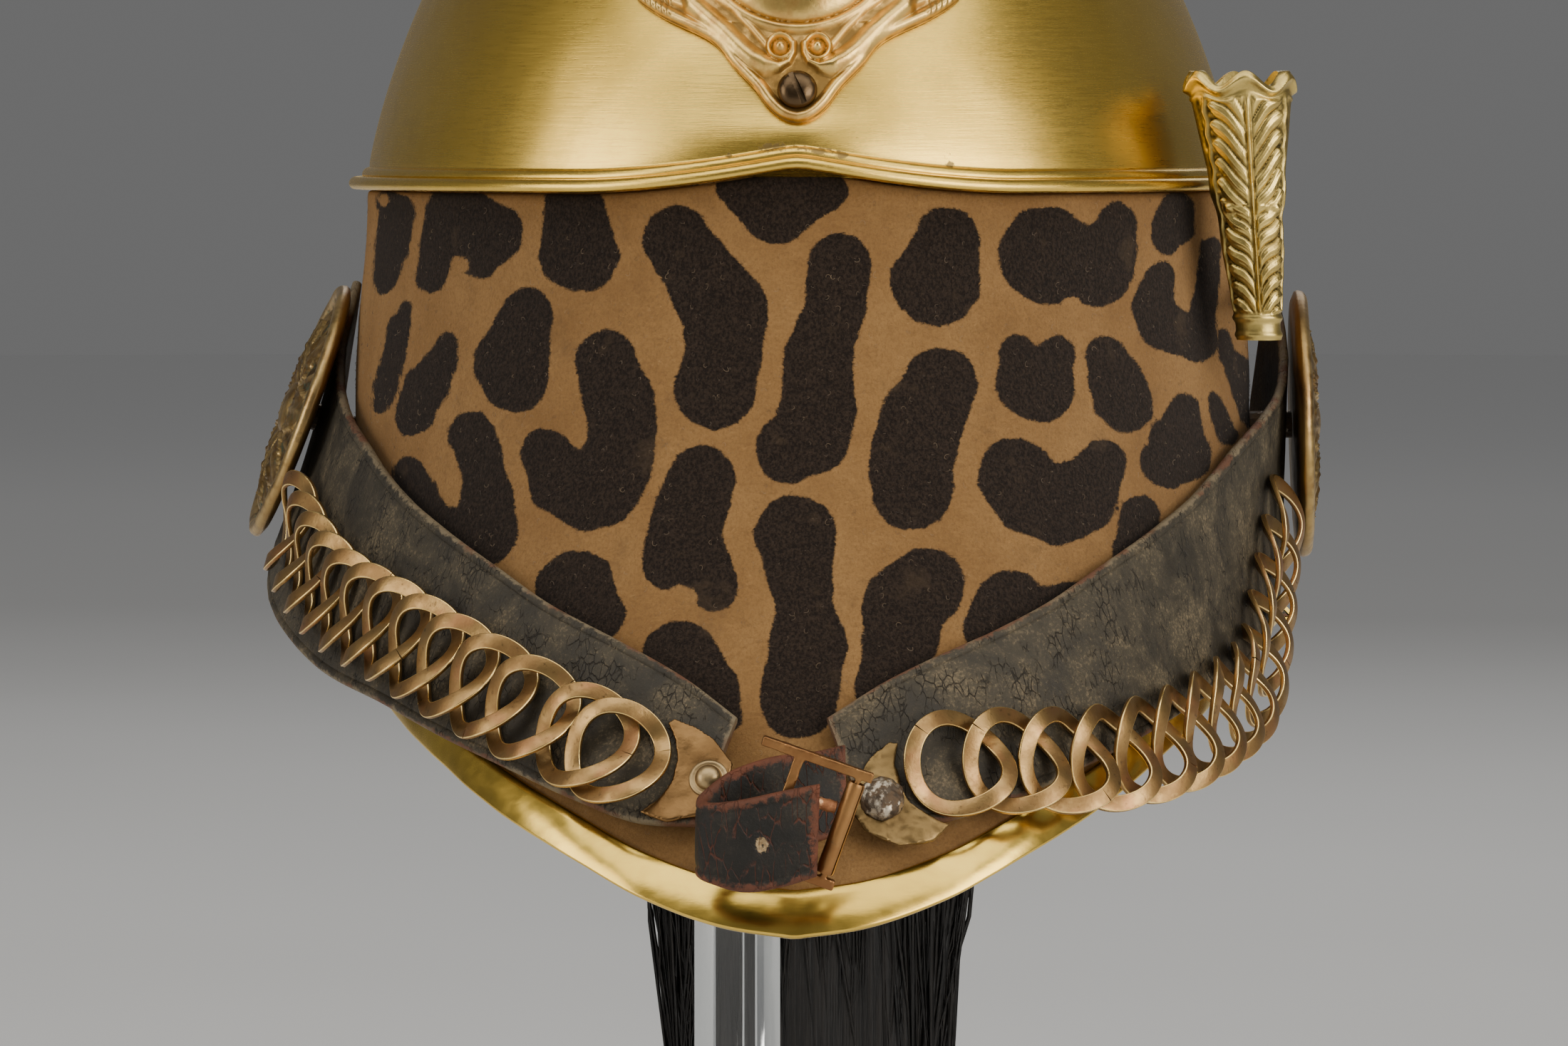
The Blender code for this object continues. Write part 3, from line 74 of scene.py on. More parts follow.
# Brass skull
SKULL_HALF_WIDTH = 0.1008
SKULL_HALF_LENGTH = 0.1220
SKULL_HEIGHT = 0.1180
SKULL_WALL = 0.0012
SKULL_ROUNDING = 1.4
SKULL_FULLNESS = 0.48
SLOPE_STEP = 0.0005
RIM_BOW_RISE = 0.0052
RIM_BOW_HALF = 0.045
RIM_BOW_ROUND = 0.0025
RIM_BOW_POWER = 1.7

# Felt turban and peak
FELT_WALL = 0.0030
FELT_HALF_WIDTH = 0.1005
FELT_EDGE_HALF_WIDTH = 0.1033
FELT_TOP_DEPTH = 0.1200
PEAK_REACH = 0.0550
PEAK_SWEEP = 1.7
FELT_BACK_DEPTH = 0.1210
PEAK_DROP = 0.1530

# Brass strips, neck flap and strap leather
BINDING_WALL = 0.0008
BINDING_FACE = 0.0098
BINDING_BACK = 0.0060
BINDING_SPAN = 97.5
NECK_WALL = 0.0025
NECK_DROP = 0.0400
NECK_FLARE = 0.0160
NECK_FLARE_POWER = 1.5
NECK_EDGE_IN = 0.0003
NECK_SPAN = 75.0
NECK_CORNER = 18.0
NECK_CORNER_RISE = 0.42
STRAP_WALL = 0.0024
STRAP_SEAT = 0.0021
STRAP_GROOVE = 0.00030
STRAP_FLARE = 0.0164
STRAP_REACH = {"left": 0.0, "right": 3.0}
STRAP_REACH_FROM = 0.85

# Rings of the chain
LINK_BAND = 0.0036
LINK_WALL = 0.0011
LINK_ROUND = 0.00030
LINK_POINTS = 84
LINK_SEAM = 0.0056
LINK_SECTIONS = 12
LINK_TURNS = 5
RIVET_WASHER = ((1.50, -0.00030), (1.45, 0.00005), (1.18, 0.00010), (1.08, -0.00012))
SEAT_BAND = 0.0004

# Crest plate, crest and mane
PLATE_HALF_WIDTH = 0.0380
PLATE_LOW = 0.0147
PLATE_HIGH = 0.0880
PLATE_WALL = 0.0010
MEDALLION_RISE = 0.0050
MEDALLION_MIDDLE = 0.525
MEDALLION_HALF_HEIGHT = 0.235
MEDALLION_HALF_WIDTH = 0.260
CREST_HEIGHT = 0.0700
CREST_FOOT = 0.010
CREST_RIDGE = 0.85
FLUTE_PITCH = 0.0095
FLUTE_RISE = 0.0011
MANE_HALF_WIDTH = 0.0370
MANE_HALF_DEPTH = 0.0075
MANE_LENGTH = 0.3450
MANE_BACK = 0.1370
MANE_END = 0.98
HairRow = namedtuple("HairRow", "name count seed girth")
STRANDS = (HairRow("mane_hair_outer", 1000, 11, 0.00056), HairRow("mane_hair_fine", 900, 12, 0.00032))
STRAND_SPREAD = 0.38
STRAND_GIRTH = 1.14
GATHER_FROM = 0.50
GATHER_OVER = 0.22

# Loose fibres of the felt: name, number a square metre, seed and curl
LINT = (("felt_lint_pale", 38000.0, 5, 1.5), ("felt_lint_dark", 23000.0, 6, 2.2))
FIBRE_LENGTH = 0.0021
FIBRE_ARCH = 0.00026
FIBRE_HALF = 0.000028
FIBRE_MERGE = 1e-8
FIBRE_LEAN = 0.35

# Plume holder
HOLDER_HEIGHT = 0.0580
HOLDER_TOP_HALF = 0.0120
HOLDER_WALL = 0.0012
HOLDER_FOOT = (0.1021, -0.0670, -0.0330)
HOLDER_LEAN = -0.0046
HOLDER_FLAT = 0.82
HOLDER_TURN = 0.07
HOLDER_LOBES = 6.0
HOLDER_LOBE_RISE = 0.0017
HOLDER_LOBES_FROM = 0.88
HOLDER_LOBES_OVER = 0.12
HOLDER_FLOOR = 0.10
HOLDER_GROUND = 0.35
HOLDER_INNER_GAP = 0.0008
HOLDER_KNOB = (0.62, 0.505)
HOLDER_KNOB_SIZE = (0.17, 0.020)

# Ear bosses
BOSS_RADIUS = 0.0310
BOSS_LEAVES = 8
BOSS_SWELL = (
    (0.0, 6.25), (0.08, 6.10), (0.16, 5.30), (0.215, 4.20), (0.25, 3.75), (0.33, 4.05),
    (0.46, 4.30), (0.60, 4.00), (0.72, 3.30), (0.80, 2.50), (0.845, 2.10), (0.90, 2.15),
)
LeafRow = namedtuple("LeafRow", "turn start end wide lift")
BOSS_LAYERS = (LeafRow(0.5, 0.40, 0.86, 0.80, 0.25), LeafRow(0.0, 0.21, 0.80, 1.0, 0.85))
BERRY_REACH = 0.205
BOSS_RIM_FROM = 0.871
BOSS_BACK = ((0.99, 0.0009), (0.93, 0.0001), (0.5, 0.0), (0.01, 0.0))

# How finely the pieces are divided: points round or along them, rings or rows over them
SKULL_ROUND = 300
SKULL_RINGS = 84
FELT_ROUND = 440
FELT_RINGS = 98
BINDING_STEPS = 260
NECK_STEPS = 200
NECK_ROWS = (24, 12)
STRAP_STEPS = 190
STRAP_ROWS = 15
LOOP_STEPS = 130
END_PLATE_VOXEL = 0.00032
BUCKLE_VOXEL = 0.00026
ROLLER_ROUND = 60
ROLLER_ROWS = 40
BOSS_ROUND = 204
BOSS_RINGS = (68, 18)
PLATE_STEPS = 205
PLATE_ROWS = (20, 154, 46)
PLATE_BACK_STEPS = (0, 16, 47, 79, 102, 125, 157, 188, 204)
HOLDER_ROUND = 200
HOLDER_ROWS = (200, 14)
HOLDER_INSIDE_EVERY = 9
STRAND_POINTS = 15
FIBRE_POINTS = 5
HAIR_SIDES = 3
FLOOR_ROUND = 96

# Unevenness of faces made by hand: grain size, depth and seed
FELT_WAVES = ((0.022, 0.00022, 3.0), (0.006, 0.00010, 9.0))
BINDING_WAVES = ((0.011, 0.00022, 5.0),)
LEATHER_WAVES = ((0.011, 0.00016), (0.0026, 0.00007))
LEATHER_SEED = {"left": 4.0, "right": 14.0, "loop": 24.0}
SMOOTH_PLATE_WAVES = ((0.006, 0.00028, 2.0), (0.0024, 0.00010, 2.0))
HAMMERED_PLATE_WAVES = ((0.005, 0.00050, 6.0), (0.0018, 0.00020, 6.0))
RIVET_WAVES = ((0.0022, 0.00045, 1.0), (0.0008, 0.00018, 4.0))
BUCKLE_WAVES = ((0.005, 0.00014, 3.0), (0.0012, 0.00006, 3.0))
ROLLER_WAVES = ((0.004, 0.00008, 2.0),)
BOSS_WAVES = {"left": ((0.009, 0.00022, 2.0),), "right": ((0.009, 0.00022, 7.0),)}
FRONT_PLATE_WAVES = ((0.003, 0.00006, 4.0),)
RING_GRAIN = 0.004
RING_DEPTH = 0.00010

# Section of the skull's rolled rim in millimetres out and up: band, bead and turn inwards
RIM_BAND = (
    (-0.10, 5.45), (-0.16, 5.10), (0.18, 4.98), (0.62, 4.80), (1.02, 4.45), (1.26, 4.00),
    (1.34, 3.50), (1.24, 3.10), (1.06, 2.86), (1.24, 2.70),
)
BEAD_OUT = 2.66
BEAD_RADIUS = 1.45
BEAD_TURN = range(128, -91, -14)
RIM_TURN_IN = ((1.40, 0.02), (0.10, 0.06), (-0.80, 0.16), (-1.20, 0.55))
BOW_FADE_FROM = 0.0052
BOW_FADE = 0.0160
CROWN_TURN = 0.99
FOOT_TURN = 0.052
SKULL_INSIDE = (0.03, 0.09, 0.17, 0.25, 0.35, 0.44, 0.53, 0.62, 0.70, 0.78, 0.85, 0.90, 0.95, 0.975, 0.992)
TARNISH_MELT = 2.0
MARK_FAR = 9.0

# The felt's edges, shares down its face and distances out, and the shares of its inner face's rings
FELT_LIP = ((0.000, -0.0012), (0.001, -0.0007), (0.004, -0.0002))
FELT_FACE = (0.012, 0.988)
FELT_INNER_LIP = 0.0008
FELT_INSIDE = (0.99, 0.80, 0.55, 0.30, 0.10, 0.0)

# Section of a folded brass strip: shares of its wall and of its face
STRIP_LIP = ((0.0, 0.0), (0.55, 0.12), (1.0, -0.3))
STRIP_SWELL = ((1.25, 0.80), (1.45, 0.62), (1.55, 0.44), (1.50, 0.26), (1.30, 0.12))
STRIP_FOLD_DEEP = 1.6

# Section of a leather strip: distances in from its edges, and shares of its width and wall
LEATHER_EDGE = (
    (0.00010, 0.5), (0.00022, 0.76), (0.00060, 0.94), (0.00115, 1.0), (0.00175, 1.0), (0.00205, 0.95),
)
LEATHER_GROOVE = 0.00230
LEATHER_PAST_GROOVE = ((0.00255, 0.95), (0.00290, 1.0))
LEATHER_FACE = (0.24, 0.76)
LEATHER_SWELL = 0.05
LEATHER_BACK = (
    (1.0, -0.00022, 0.24), (1.0, -0.0007, 0.04), (0.75, 0.0, 0.0), (0.5, 0.0, 0.0), (0.25, 0.0, 0.0),
    (0.0, 0.0007, 0.04), (0.0, 0.00022, 0.24),
)

# The photo's frame, and the camera that took it
PHOTO_WIDTH = 2200
PHOTO_HEIGHT = 1468
FOCAL_PX = 9656.0
SENSOR = 36.0
CAMERA_DISTANCE = 1.600
CAMERA_ELEVATION = 3.3
CAMERA_AZIMUTH = 0.7
AIM = Vector((-0.0043, 0.0, 0.3223))
PX_PER_MM = 6.53

# How far the peak's lower edge drops round the helmet, as a share of PEAK_DROP
EdgeRow = namedtuple("EdgeRow", "azimuth drop")
PEAK_EDGE = tuple(EdgeRow(*row) for row in (
    (0, 1.0), (9, 0.985), (18, 0.952), (27, 0.905), (38, 0.850), (48, 0.795), (57, 0.750),
    (75, 0.660), (90, 0.570), (110, 0.500), (145, 0.470), (180, 0.460),
))

# The strap from the ear boss (along 0) to its front end (along 1): azimuths in degrees, drops as shares
# of PEAK_DROP, and the shares of STRAP_FLARE by which each edge stands off its seat on each side
StrapRow = namedtuple("StrapRow", "along upper_azimuth upper_drop lower_azimuth lower_drop "
                                  "upper_left lower_left upper_right lower_right")
STRAP = tuple(StrapRow(*row) for row in (
    (0.00, 98.0, 0.144, 106.0, 0.380, 0.02, 0.56, 0.33, 0.22),
    (0.09, 90.0, 0.235, 99.0, 0.477, 0.02, 0.80, 0.31, 0.26),
    (0.18, 82.0, 0.294, 92.0, 0.549, 0.00, 0.96, 0.25, 0.25),
    (0.27, 74.0, 0.330, 86.0, 0.595, 0.00, 1.00, 0.15, 0.20),
    (0.36, 66.0, 0.366, 79.0, 0.634, 0.00, 0.92, 0.06, 0.14),
    (0.43, 60.0, 0.402, 72.0, 0.667, 0.00, 0.76, 0.01, 0.09),
    (0.50, 54.0, 0.438, 64.5, 0.700, 0.00, 0.56, 0.00, 0.06),
    (0.59, 46.0, 0.480, 53.5, 0.728, 0.00, 0.34, 0.00, 0.04),
    (0.69, 37.0, 0.529, 42.5, 0.768, 0.00, 0.20, 0.00, 0.03),
    (0.78, 29.5, 0.575, 34.0, 0.800, 0.00, 0.12, 0.00, 0.03),
    (0.87, 20.0, 0.624, 25.5, 0.835, 0.00, 0.09, 0.00, 0.04),
    (0.94, 12.5, 0.670, 18.0, 0.862, 0.00, 0.07, 0.00, 0.05),
    (1.00, 6.5, 0.722, 11.0, 0.866, 0.00, 0.06, 0.00, 0.06),
))

# Outline of the crest's front plate: height as a share of the plate, half width as a share of
# PLATE_HALF_WIDTH
PlateRow = namedtuple("PlateRow", "height half_width")
FRONT_PLATE = tuple(PlateRow(*row) for row in (
    (0.000, 0.06), (0.045, 0.16), (0.100, 0.24), (0.165, 0.36), (0.240, 0.49), (0.310, 0.76),
    (0.370, 0.92), (0.450, 1.00), (0.560, 0.94), (0.700, 0.76), (0.850, 0.58), (1.000, 0.47),
))

# Leopard spots charted in the photo's pixels: strokes through blobs of x, y and radius, with bites out
# Two of the strokes also take in painted shade and shadow at the felt's right side, beside the plume holder
# and the strap
Blob = namedtuple("Blob", "x y r")
SPOTS_AND_SHADE = (
    ((544, 284, 17), (556, 296, 26), (549, 350, 22), (538, 400, 14)),
    ((604, 391, 20), (612, 350, 25), (640, 300, 42), (690, 328, 43), (668, 354, 37)),
    ((803, 280, 40), (812, 353, 57)),
    ((949, 336, 47), (1018, 437, 60), (1014, 495, 54), (1003, 546, 56)),
    ((1035, 262, 30), (1088, 292, 50), (1150, 268, 36), (1172, 268, 20)),
    ((1178, 372, 45), (1172, 435, 42), (1147, 500, 48), (1146, 575, 54), (1140, 612, 54),
     (1106, 631, 47)),
    ((1328, 338, 47), (1313, 393, 64)),
    ((1467, 356, 66), (1479, 364, 65), (1538, 377, 53), (1556, 350, 40), (1568, 312, 28)),
    ((1650, 294, 27), (1645, 318, 30), (1638, 335, 21)),
    ((570, 430, 9), (562, 455, 15), (553, 500, 17), (540, 545, 16), (532, 570, 12)),
    ((630, 478, 14), (620, 505, 22), (600, 540, 30), (582, 580, 28), (577, 588, 24)),
    ((738, 443, 38), (717, 512, 52), (723, 531, 48)),
    ((849, 506, 42), (868, 560, 50), (875, 600, 47), (866, 645, 51), (845, 682, 56),
     (822, 690, 53), (790, 677, 48), (767, 639, 37)),
    ((1430, 498, 27), (1447, 537, 50), (1458, 541, 51), (1484, 498, 28)),
    ((1550, 499, 27), (1562, 530, 38), (1575, 560, 40), (1582, 572, 35)),
    # Painted shadow: this stroke's upper end is charted from felt inside the plume holder's cast shadow
    ((1626, 390, 22), (1618, 430, 29), (1630, 458, 32), (1668, 472, 30), (1680, 482, 26),
     (1690, 430, 18), (1697, 380, 16), (1699, 345, 14)),
    # Painted shade: this stroke takes in the shading at the felt's far right as well as a spot
    ((1716, 470, 8), (1723, 500, 12), (1740, 522, 20), (1760, 545, 30), (1768, 575, 30)),
    ((573, 664, 23), (588, 700, 30), (610, 748, 38), (660, 758, 44), (682, 744, 46),
     (684, 700, 37), (679, 662, 31), (662, 612, 34)),
    ((985, 673, 47), (966, 725, 50), (948, 775, 47), (935, 793, 34)),
    ((968, 765, 48), (1001, 822, 36)),
    ((1320, 538, 51), (1296, 585, 58), (1278, 650, 60), (1279, 687, 58)),
    ((1424, 666, 53), (1450, 697, 56), (1485, 708, 55), (1514, 698, 53), (1541, 662, 36),
     (1548, 650, 33)),
    ((1661, 573, 23), (1652, 620, 40), (1640, 648, 37), (1664, 640, 36)),
    ((1704, 560, 8), (1712, 585, 13), (1722, 612, 14)),
    ((1600, 722, 28), (1592, 765, 30), (1590, 790, 28)),
    ((812, 834, 62), (838, 862, 40)),
    ((956, 928, 57), (1000, 968, 38), (1022, 1008, 20)),
    ((1116, 754, 59), (1129, 845, 39), (1134, 905, 54), (1121, 980, 55), (1117, 990, 48)),
    ((1300, 822, 54), (1268, 850, 56), (1262, 905, 52), (1230, 960, 30), (1215, 985, 16)),
    ((1415, 848, 49), (1400, 880, 46), (1460, 862, 38), (1500, 846, 29), (1522, 832, 15)),
)
BITES = (Blob(539, 281, 8), Blob(645, 372, 14), Blob(1503, 432, 14), Blob(966, 838, 12))
SPOT_MELT = 5.0

# How far round the photo's spots reach, where those behind start, and how softly both stop
SPOTS_TO = 104.0
BACK_SPOTS_FROM = 122.0
SPOT_STOP = 1.3
BACK_MELT = 1.5
BACK_SPOT_ENDS = (0.82, 0.7)

# Spots on the back of the felt, where the photo doesn't reach: azimuth from the front in degrees on
# either side, height from the rim and radius in metres, and how far each stroke runs down
BackSpot = namedtuple("BackSpot", "azimuth height radius lean length")
BACK_SPOTS = tuple(BackSpot(*row) for row in (
    (124, -0.016, 0.0085, 0.3, 0.010), (133, -0.043, 0.0080, -0.4, 0.012),
    (143, -0.018, 0.0090, -0.2, 0.006), (152, -0.045, 0.0085, 0.5, 0.009),
    (162, -0.020, 0.0075, 0.3, 0.012), (171, -0.050, 0.0080, -0.3, 0.006),
    (180, -0.020, 0.0090, 0.1, 0.008), (-171, -0.048, 0.0070, 0.4, 0.010),
    (-161, -0.018, 0.0085, -0.4, 0.008), (-151, -0.046, 0.0090, 0.2, 0.006),
    (-141, -0.019, 0.0080, 0.4, 0.012), (-131, -0.046, 0.0080, -0.2, 0.010),
    (-123, -0.016, 0.0070, 0.2, 0.008),
))

# The mane's middle line, as the construction has it
ManeRow = namedtuple("ManeRow", "over behind lift drop half_width half_depth")
MANE = tuple(ManeRow(*row) for row in (
    (-0.085, 0.0, 0.985, 0.0, 0.16, 0.55), (0.170, 0.0, 0.924, 0.0, 0.22, 0.75),
    (0.396, 0.0, 0.804, 0.0, 0.26, 0.90), (0.608, 0.0, 0.729, 0.0, 0.34, 1.00),
    (0.820, 0.0, 0.701, 0.0, 0.48, 1.10), (0.0, 0.907, 0.936, 0.0, 0.66, 1.15),
    (0.0, 1.033, 0.197, 0.0, 0.84, 1.15), (0.0, 1.098, 0.0, 0.15, 0.96, 1.10),
    (0.0, 1.118, 0.0, 0.36, 1.00, 1.05), (0.0, 1.113, 0.0, 0.56, 1.00, 0.95),
    (0.0, 1.103, 0.0, 0.76, 0.92, 0.80), (0.0, 1.100, 0.0, 0.98, 0.84, 0.55),
))

# Half width of the plume holder up its height, as shares
HolderRow = namedtuple("HolderRow", "height half_width")
HOLDER = tuple(HolderRow(*row) for row in (
    (0.00, 0.44), (0.08, 0.45), (0.20, 0.50), (0.34, 0.58), (0.48, 0.62), (0.56, 0.72),
    (0.64, 0.74), (0.80, 0.86), (0.94, 0.96), (1.00, 1.00),
))

# Buckle: its loop of leather, roller and tongue, and the screw's slot
LOOP_WALL = 0.0024
LOOP_GROOVE = 0.00015
LOOP_REACH = 0.0303
LOOP_HOLE = Blob(1069, 1186, 11)
LOOP_HOLE_DEPTH = 0.006
LOOP_HOLE_FLAT = 0.7
LOOP_HOLE_REACH = 1.5
LOOP_HOLE_DENT = 0.0009
ROLLER_RADIUS = 0.0019
ROLLER_WALL = 0.0006
ROLLER_SPLIT = 250.0
ROLLER_OPENING = 7.0
ROLLER_SOFT = 0.00016
TONGUE_RADIUS = 0.0013
TONGUE_END = ((0.1, 1.0), (0.8, 1.0), (1.0, 0.93))
TONGUE_LUMP = 0.06
SCREW_SLOT = 0.0012
SCREW_SLOT_WAY = (0.38, 0.0, -0.92)

# Soft studio light: name, place, width, height, watts and tint
WORLD_LIGHT = 0.15
LIGHTS_AIM = Vector((0.0, 0.0, 0.40))
FLOOR_GAP = 0.0008
FLOOR_RINGS = ((0.01, 0.0), (2.0, 0.0), (6.0, 0.0), (11.0, 0.0), (11.5, -0.4))
STAND_ROUNDING = (("stand_foot", 0.0016), ("stand_post", 0.0005), ("stand_pad", 0.0012))
STUDIO = (
    ("window_left", (-2.15, -1.05, 0.95), 1.3, 1.6, 25.0, (1.0, 0.96, 0.90)),
    ("window_right", (1.80, -1.70, 0.95), 1.7, 1.6, 52.0, (1.0, 0.96, 0.90)),
    ("overhead", (0.0, -1.0, 2.6), 4.2, 1.8, 54.0, (1.0, 0.98, 0.95)),
    ("behind", (0.4, 2.8, 2.2), 2.0, 1.4, 16.0, (1.0, 1.0, 1.0)),
)

# Tarnish spots of the skull over the rim's bow, charted from the photo in its pixels
TARNISH = (
    ((1038, 191, 4), (1042, 193, 3)),
    ((1025, 219, 5), (1029, 217, 4)),
    ((1068, 207, 5), (1082, 204, 5), (1098, 206, 4)),
    ((1112, 206, 3), (1150, 212, 3), (1190, 218, 3)),
    ((1326, 219, 4), (1330, 232, 5)),
    ((1284, 216, 2), (1286, 226, 2)),
    ((1414, 196, 2), (1416, 197, 2)),
)

# The leather loop of the buckle along its path, as the construction has it
LoopRow = namedtuple("LoopRow", "along upper_x upper_off upper_drop lower_x lower_off lower_drop")
BUCKLE_LOOP = (
    (0.066, 0.214, 0.752, 0.068, 0.224, 0.862),
    (0.022, 0.370, 0.758, 0.034, 0.240, 0.878),
    (-0.030, 0.597, 0.760, -0.024, 0.282, 0.888),
    (-0.082, 0.647, 0.776, -0.084, 0.255, 0.903),
    (-0.116, 0.685, 0.800, -0.118, 0.296, 0.915),
    (-0.124, 0.754, 0.812, -0.127, 0.379, 0.921),
    (-0.110, 0.857, 0.815, -0.113, 0.473, 0.927),
    (-0.068, 0.939, 0.809, -0.066, 0.506, 0.938),
    (-0.014, 0.981, 0.797, -0.014, 0.545, 0.930),
    (0.035, 0.999, 0.788, 0.031, 0.586, 0.916),
)

# Ear bosses: centre across, forward, below the rim, the tilt of the face up and its turn to the front
BossPlace = namedtuple("BossPlace", "across forward drop tilt turn")
BOSS_PLACES = {
    "left": BossPlace(-0.1150, 0.001, 0.0522, 20.5, 8.0),
    "right": BossPlace(0.1138, 0.001, 0.0545, 1.5, 1.0),
}

# Castings of the front plate in the photo's pixels, mirrored about its middle: places out from the
# middle and down
PLATE_MIDDLE_PX = 1121
INNER_RIDGE = ((45, 64), (67, 38), (92, 13), (112, 0), (128, -22), (134, -60), (122, -110))
SCROLL_ARM = ((7, 62), (8, 76), (14, 88), (28, 95), (46, 93), (64, 84), (82, 70), (105, 46), (128, 26),
              (146, 10), (154, -14))
SCROLL_EYE = (26, 67)

# Loose ends of the mane and where they start, as the construction has them
LockRow = namedtuple("LockRow", "across drop girth sway")
LOCKS = tuple(LockRow(*row) for row in (
    (-0.76, 0.90, 0.20, -0.015), (-0.50, 1.00, 0.22, -0.010), (-0.22, 0.94, 0.24, 0.005),
    (0.06, 1.00, 0.24, -0.004), (0.34, 0.92, 0.22, 0.008), (0.58, 0.97, 0.22, 0.011),
    (0.80, 0.88, 0.18, 0.017),
))
LOCK_ROOT = 0.62
LOCK_BEHIND = 1.108
ManePlace = namedtuple("ManePlace", "row y height wide deep")


# Measuring and reading tables

def smooth(table, key, column, at):
    """Reads a column of a table at places on its key column, on a smooth curve through the rows."""
    xs = np.array([getattr(row, key) for row in table], float)
    ys = np.array([getattr(row, column) for row in table], float)
    last = len(xs) - 1
    order = np.arange(len(xs))
    low, high = np.maximum(order - 1, 0), np.minimum(order + 1, last)
    slope = (ys[high] - ys[low]) / (xs[high] - xs[low])
    at = np.clip(np.asarray(at, float), xs[0], xs[-1])
    i = np.clip(np.searchsorted(xs, at, side="right") - 1, 0, last - 1)
    step = xs[i + 1] - xs[i]
    t = (at - xs[i]) / step
    a = ys[i] * (2 * t**3 - 3 * t**2 + 1) + ys[i + 1] * (3 * t**2 - 2 * t**3)
    return a + (slope[i] * (t**3 - 2 * t**2 + t) + slope[i + 1] * (t**3 - t**2)) * step


def ease(value):
    value = np.clip(value, 0.0, 1.0)
    return value * value * (3.0 - 2.0 * value)


def unit(vectors):
    return vectors / np.maximum(np.linalg.norm(vectors, axis=-1, keepdims=True), 1e-12)


def waves(points, size, depth, seed=0.0):
    """Soft noise read at points, of a given grain size, between -depth and depth."""
    flat = points.reshape(-1, 3) / size + seed
    values = np.array([noise.noise(Vector(point)) for point in flat])
    return values.reshape(points.shape[:-1]) * depth


def uneven(points, kinds):
    """Sum of several kinds of waves."""
    return sum(waves(points, *kind) for kind in kinds)


def camera_ways():
    """Where the photo's camera stands, with its ways right, up and ahead."""
    azimuth, rise = math.radians(CAMERA_AZIMUTH), math.radians(CAMERA_ELEVATION)
    back = Vector((math.sin(azimuth) * math.cos(rise), -math.cos(azimuth) * math.cos(rise), math.sin(rise)))
    right = Vector((math.cos(azimuth), math.sin(azimuth), 0.0))
    return AIM + back * CAMERA_DISTANCE, right, back.cross(right), -back


def in_photo(points):
    """Where points fall in the photo, in its pixels."""
    eye, right, up, ahead = (np.array(way) for way in camera_ways())
    away = points - eye
    depth = away @ ahead
    across = FOCAL_PX * (away @ right) / depth
    rise = FOCAL_PX * (away @ up) / depth
    return PHOTO_WIDTH / 2 + across, PHOTO_HEIGHT / 2 - rise


# Making meshes

def skinned(name, rows, around=False, loop=False, ends="fan", marks=None, uv=None):
    """Mesh over rows of points; around joins its columns and loop its rows. Open ends that are joined
    around are closed by a fan or a face. Marks are values kept at the points."""
    rows = np.asarray(rows, float)
    count, width = rows.shape[:2]
    points = rows.reshape(-1, 3)
    index = np.arange(count * width).reshape(count, width)
    if around:
        index = np.hstack([index, index[:, :1]])
    if loop:
        index = np.vstack([index, index[:1]])
    quads = np.stack([index[:-1, :-1], index[:-1, 1:], index[1:, 1:], index[1:, :-1]], -1).reshape(-1, 4)
    faces = quads.tolist()
    if around and not loop and ends == "face":
        faces += [index[0, :-1].tolist(), index[-1, :-1][::-1].tolist()]
    if around and not loop and ends == "fan":
        for row in (0, count - 1):
            middle = len(points)
            points = np.vstack([points, rows[row].mean(axis=0)])
            faces += [(middle, int(index[row, i]), int(index[row, i + 1])) for i in range(width)]
    mesh = bpy.data.meshes.new(name)
    mesh.from_pydata(points.tolist(), [], faces)
    for mark, values in (marks or {}).items():
        flat = np.zeros(len(points), np.float32)
        flat[: count * width] = np.asarray(values, np.float32).reshape(-1)
        marked(mesh, **{mark: flat})
    if uv is not None:
        loops = np.zeros(len(mesh.loops), np.int32)
        mesh.loops.foreach_get("vertex_index", loops)
        flat = np.zeros((len(points), 2), np.float32)
        flat[: count * width] = np.asarray(uv, np.float32).reshape(-1, 2)
        mesh.uv_layers.new(name="lengths").data.foreach_set("uv", flat[loops].reshape(-1))
    return mesh


def linked(name, data):
    """A new object in the scene."""
    piece = bpy.data.objects.new(name, data)
    bpy.context.scene.collection.objects.link(piece)
    return piece


def edited(mesh, change):
    """A mesh after a change made to it in edit form."""
    bm = bmesh.new()
    bm.from_mesh(mesh)
    change(bm)
    bm.to_mesh(mesh)
    bm.free()
    return mesh


def face_out(bm):
    bmesh.ops.recalc_face_normals(bm, faces=bm.faces)


def points_of(mesh):
    points = np.zeros(len(mesh.vertices) * 3)
    mesh.vertices.foreach_get("co", points)
    return points.reshape(-1, 3)


def normals_of(mesh):
    normals = np.zeros(len(mesh.vertices) * 3)
    mesh.vertex_normals.foreach_get("vector", normals)
    return normals.reshape(-1, 3)


def moved(mesh, points):
    mesh.vertices.foreach_set("co", points.reshape(-1))
    mesh.update()
    return mesh


def marked(mesh, **marks):
    """Keeps a value at each point of a mesh."""
    for mark, values in marks.items():
        flat = np.asarray(values, np.float32).reshape(-1)
        mesh.attributes.new(mark, "FLOAT", "POINT").data.foreach_set("value", flat)
    return mesh


def padded(rows, **marks):
    """Marks kept over part of the rows, with nothing past them."""
    whole = {}
    for mark, values in marks.items():
        whole[mark] = np.zeros(rows.shape[:2])
        whole[mark][: values.shape[0], : values.shape[1]] = values
    return whole


def tidied(mesh, merge=MERGE):
    """Merges doubled points and turns every face outwards."""
    def change(bm):
        bmesh.ops.remove_doubles(bm, verts=bm.verts, dist=merge)
        bmesh.ops.dissolve_degenerate(bm, edges=bm.edges, dist=merge)
        face_out(bm)

    return edited(mesh, change)


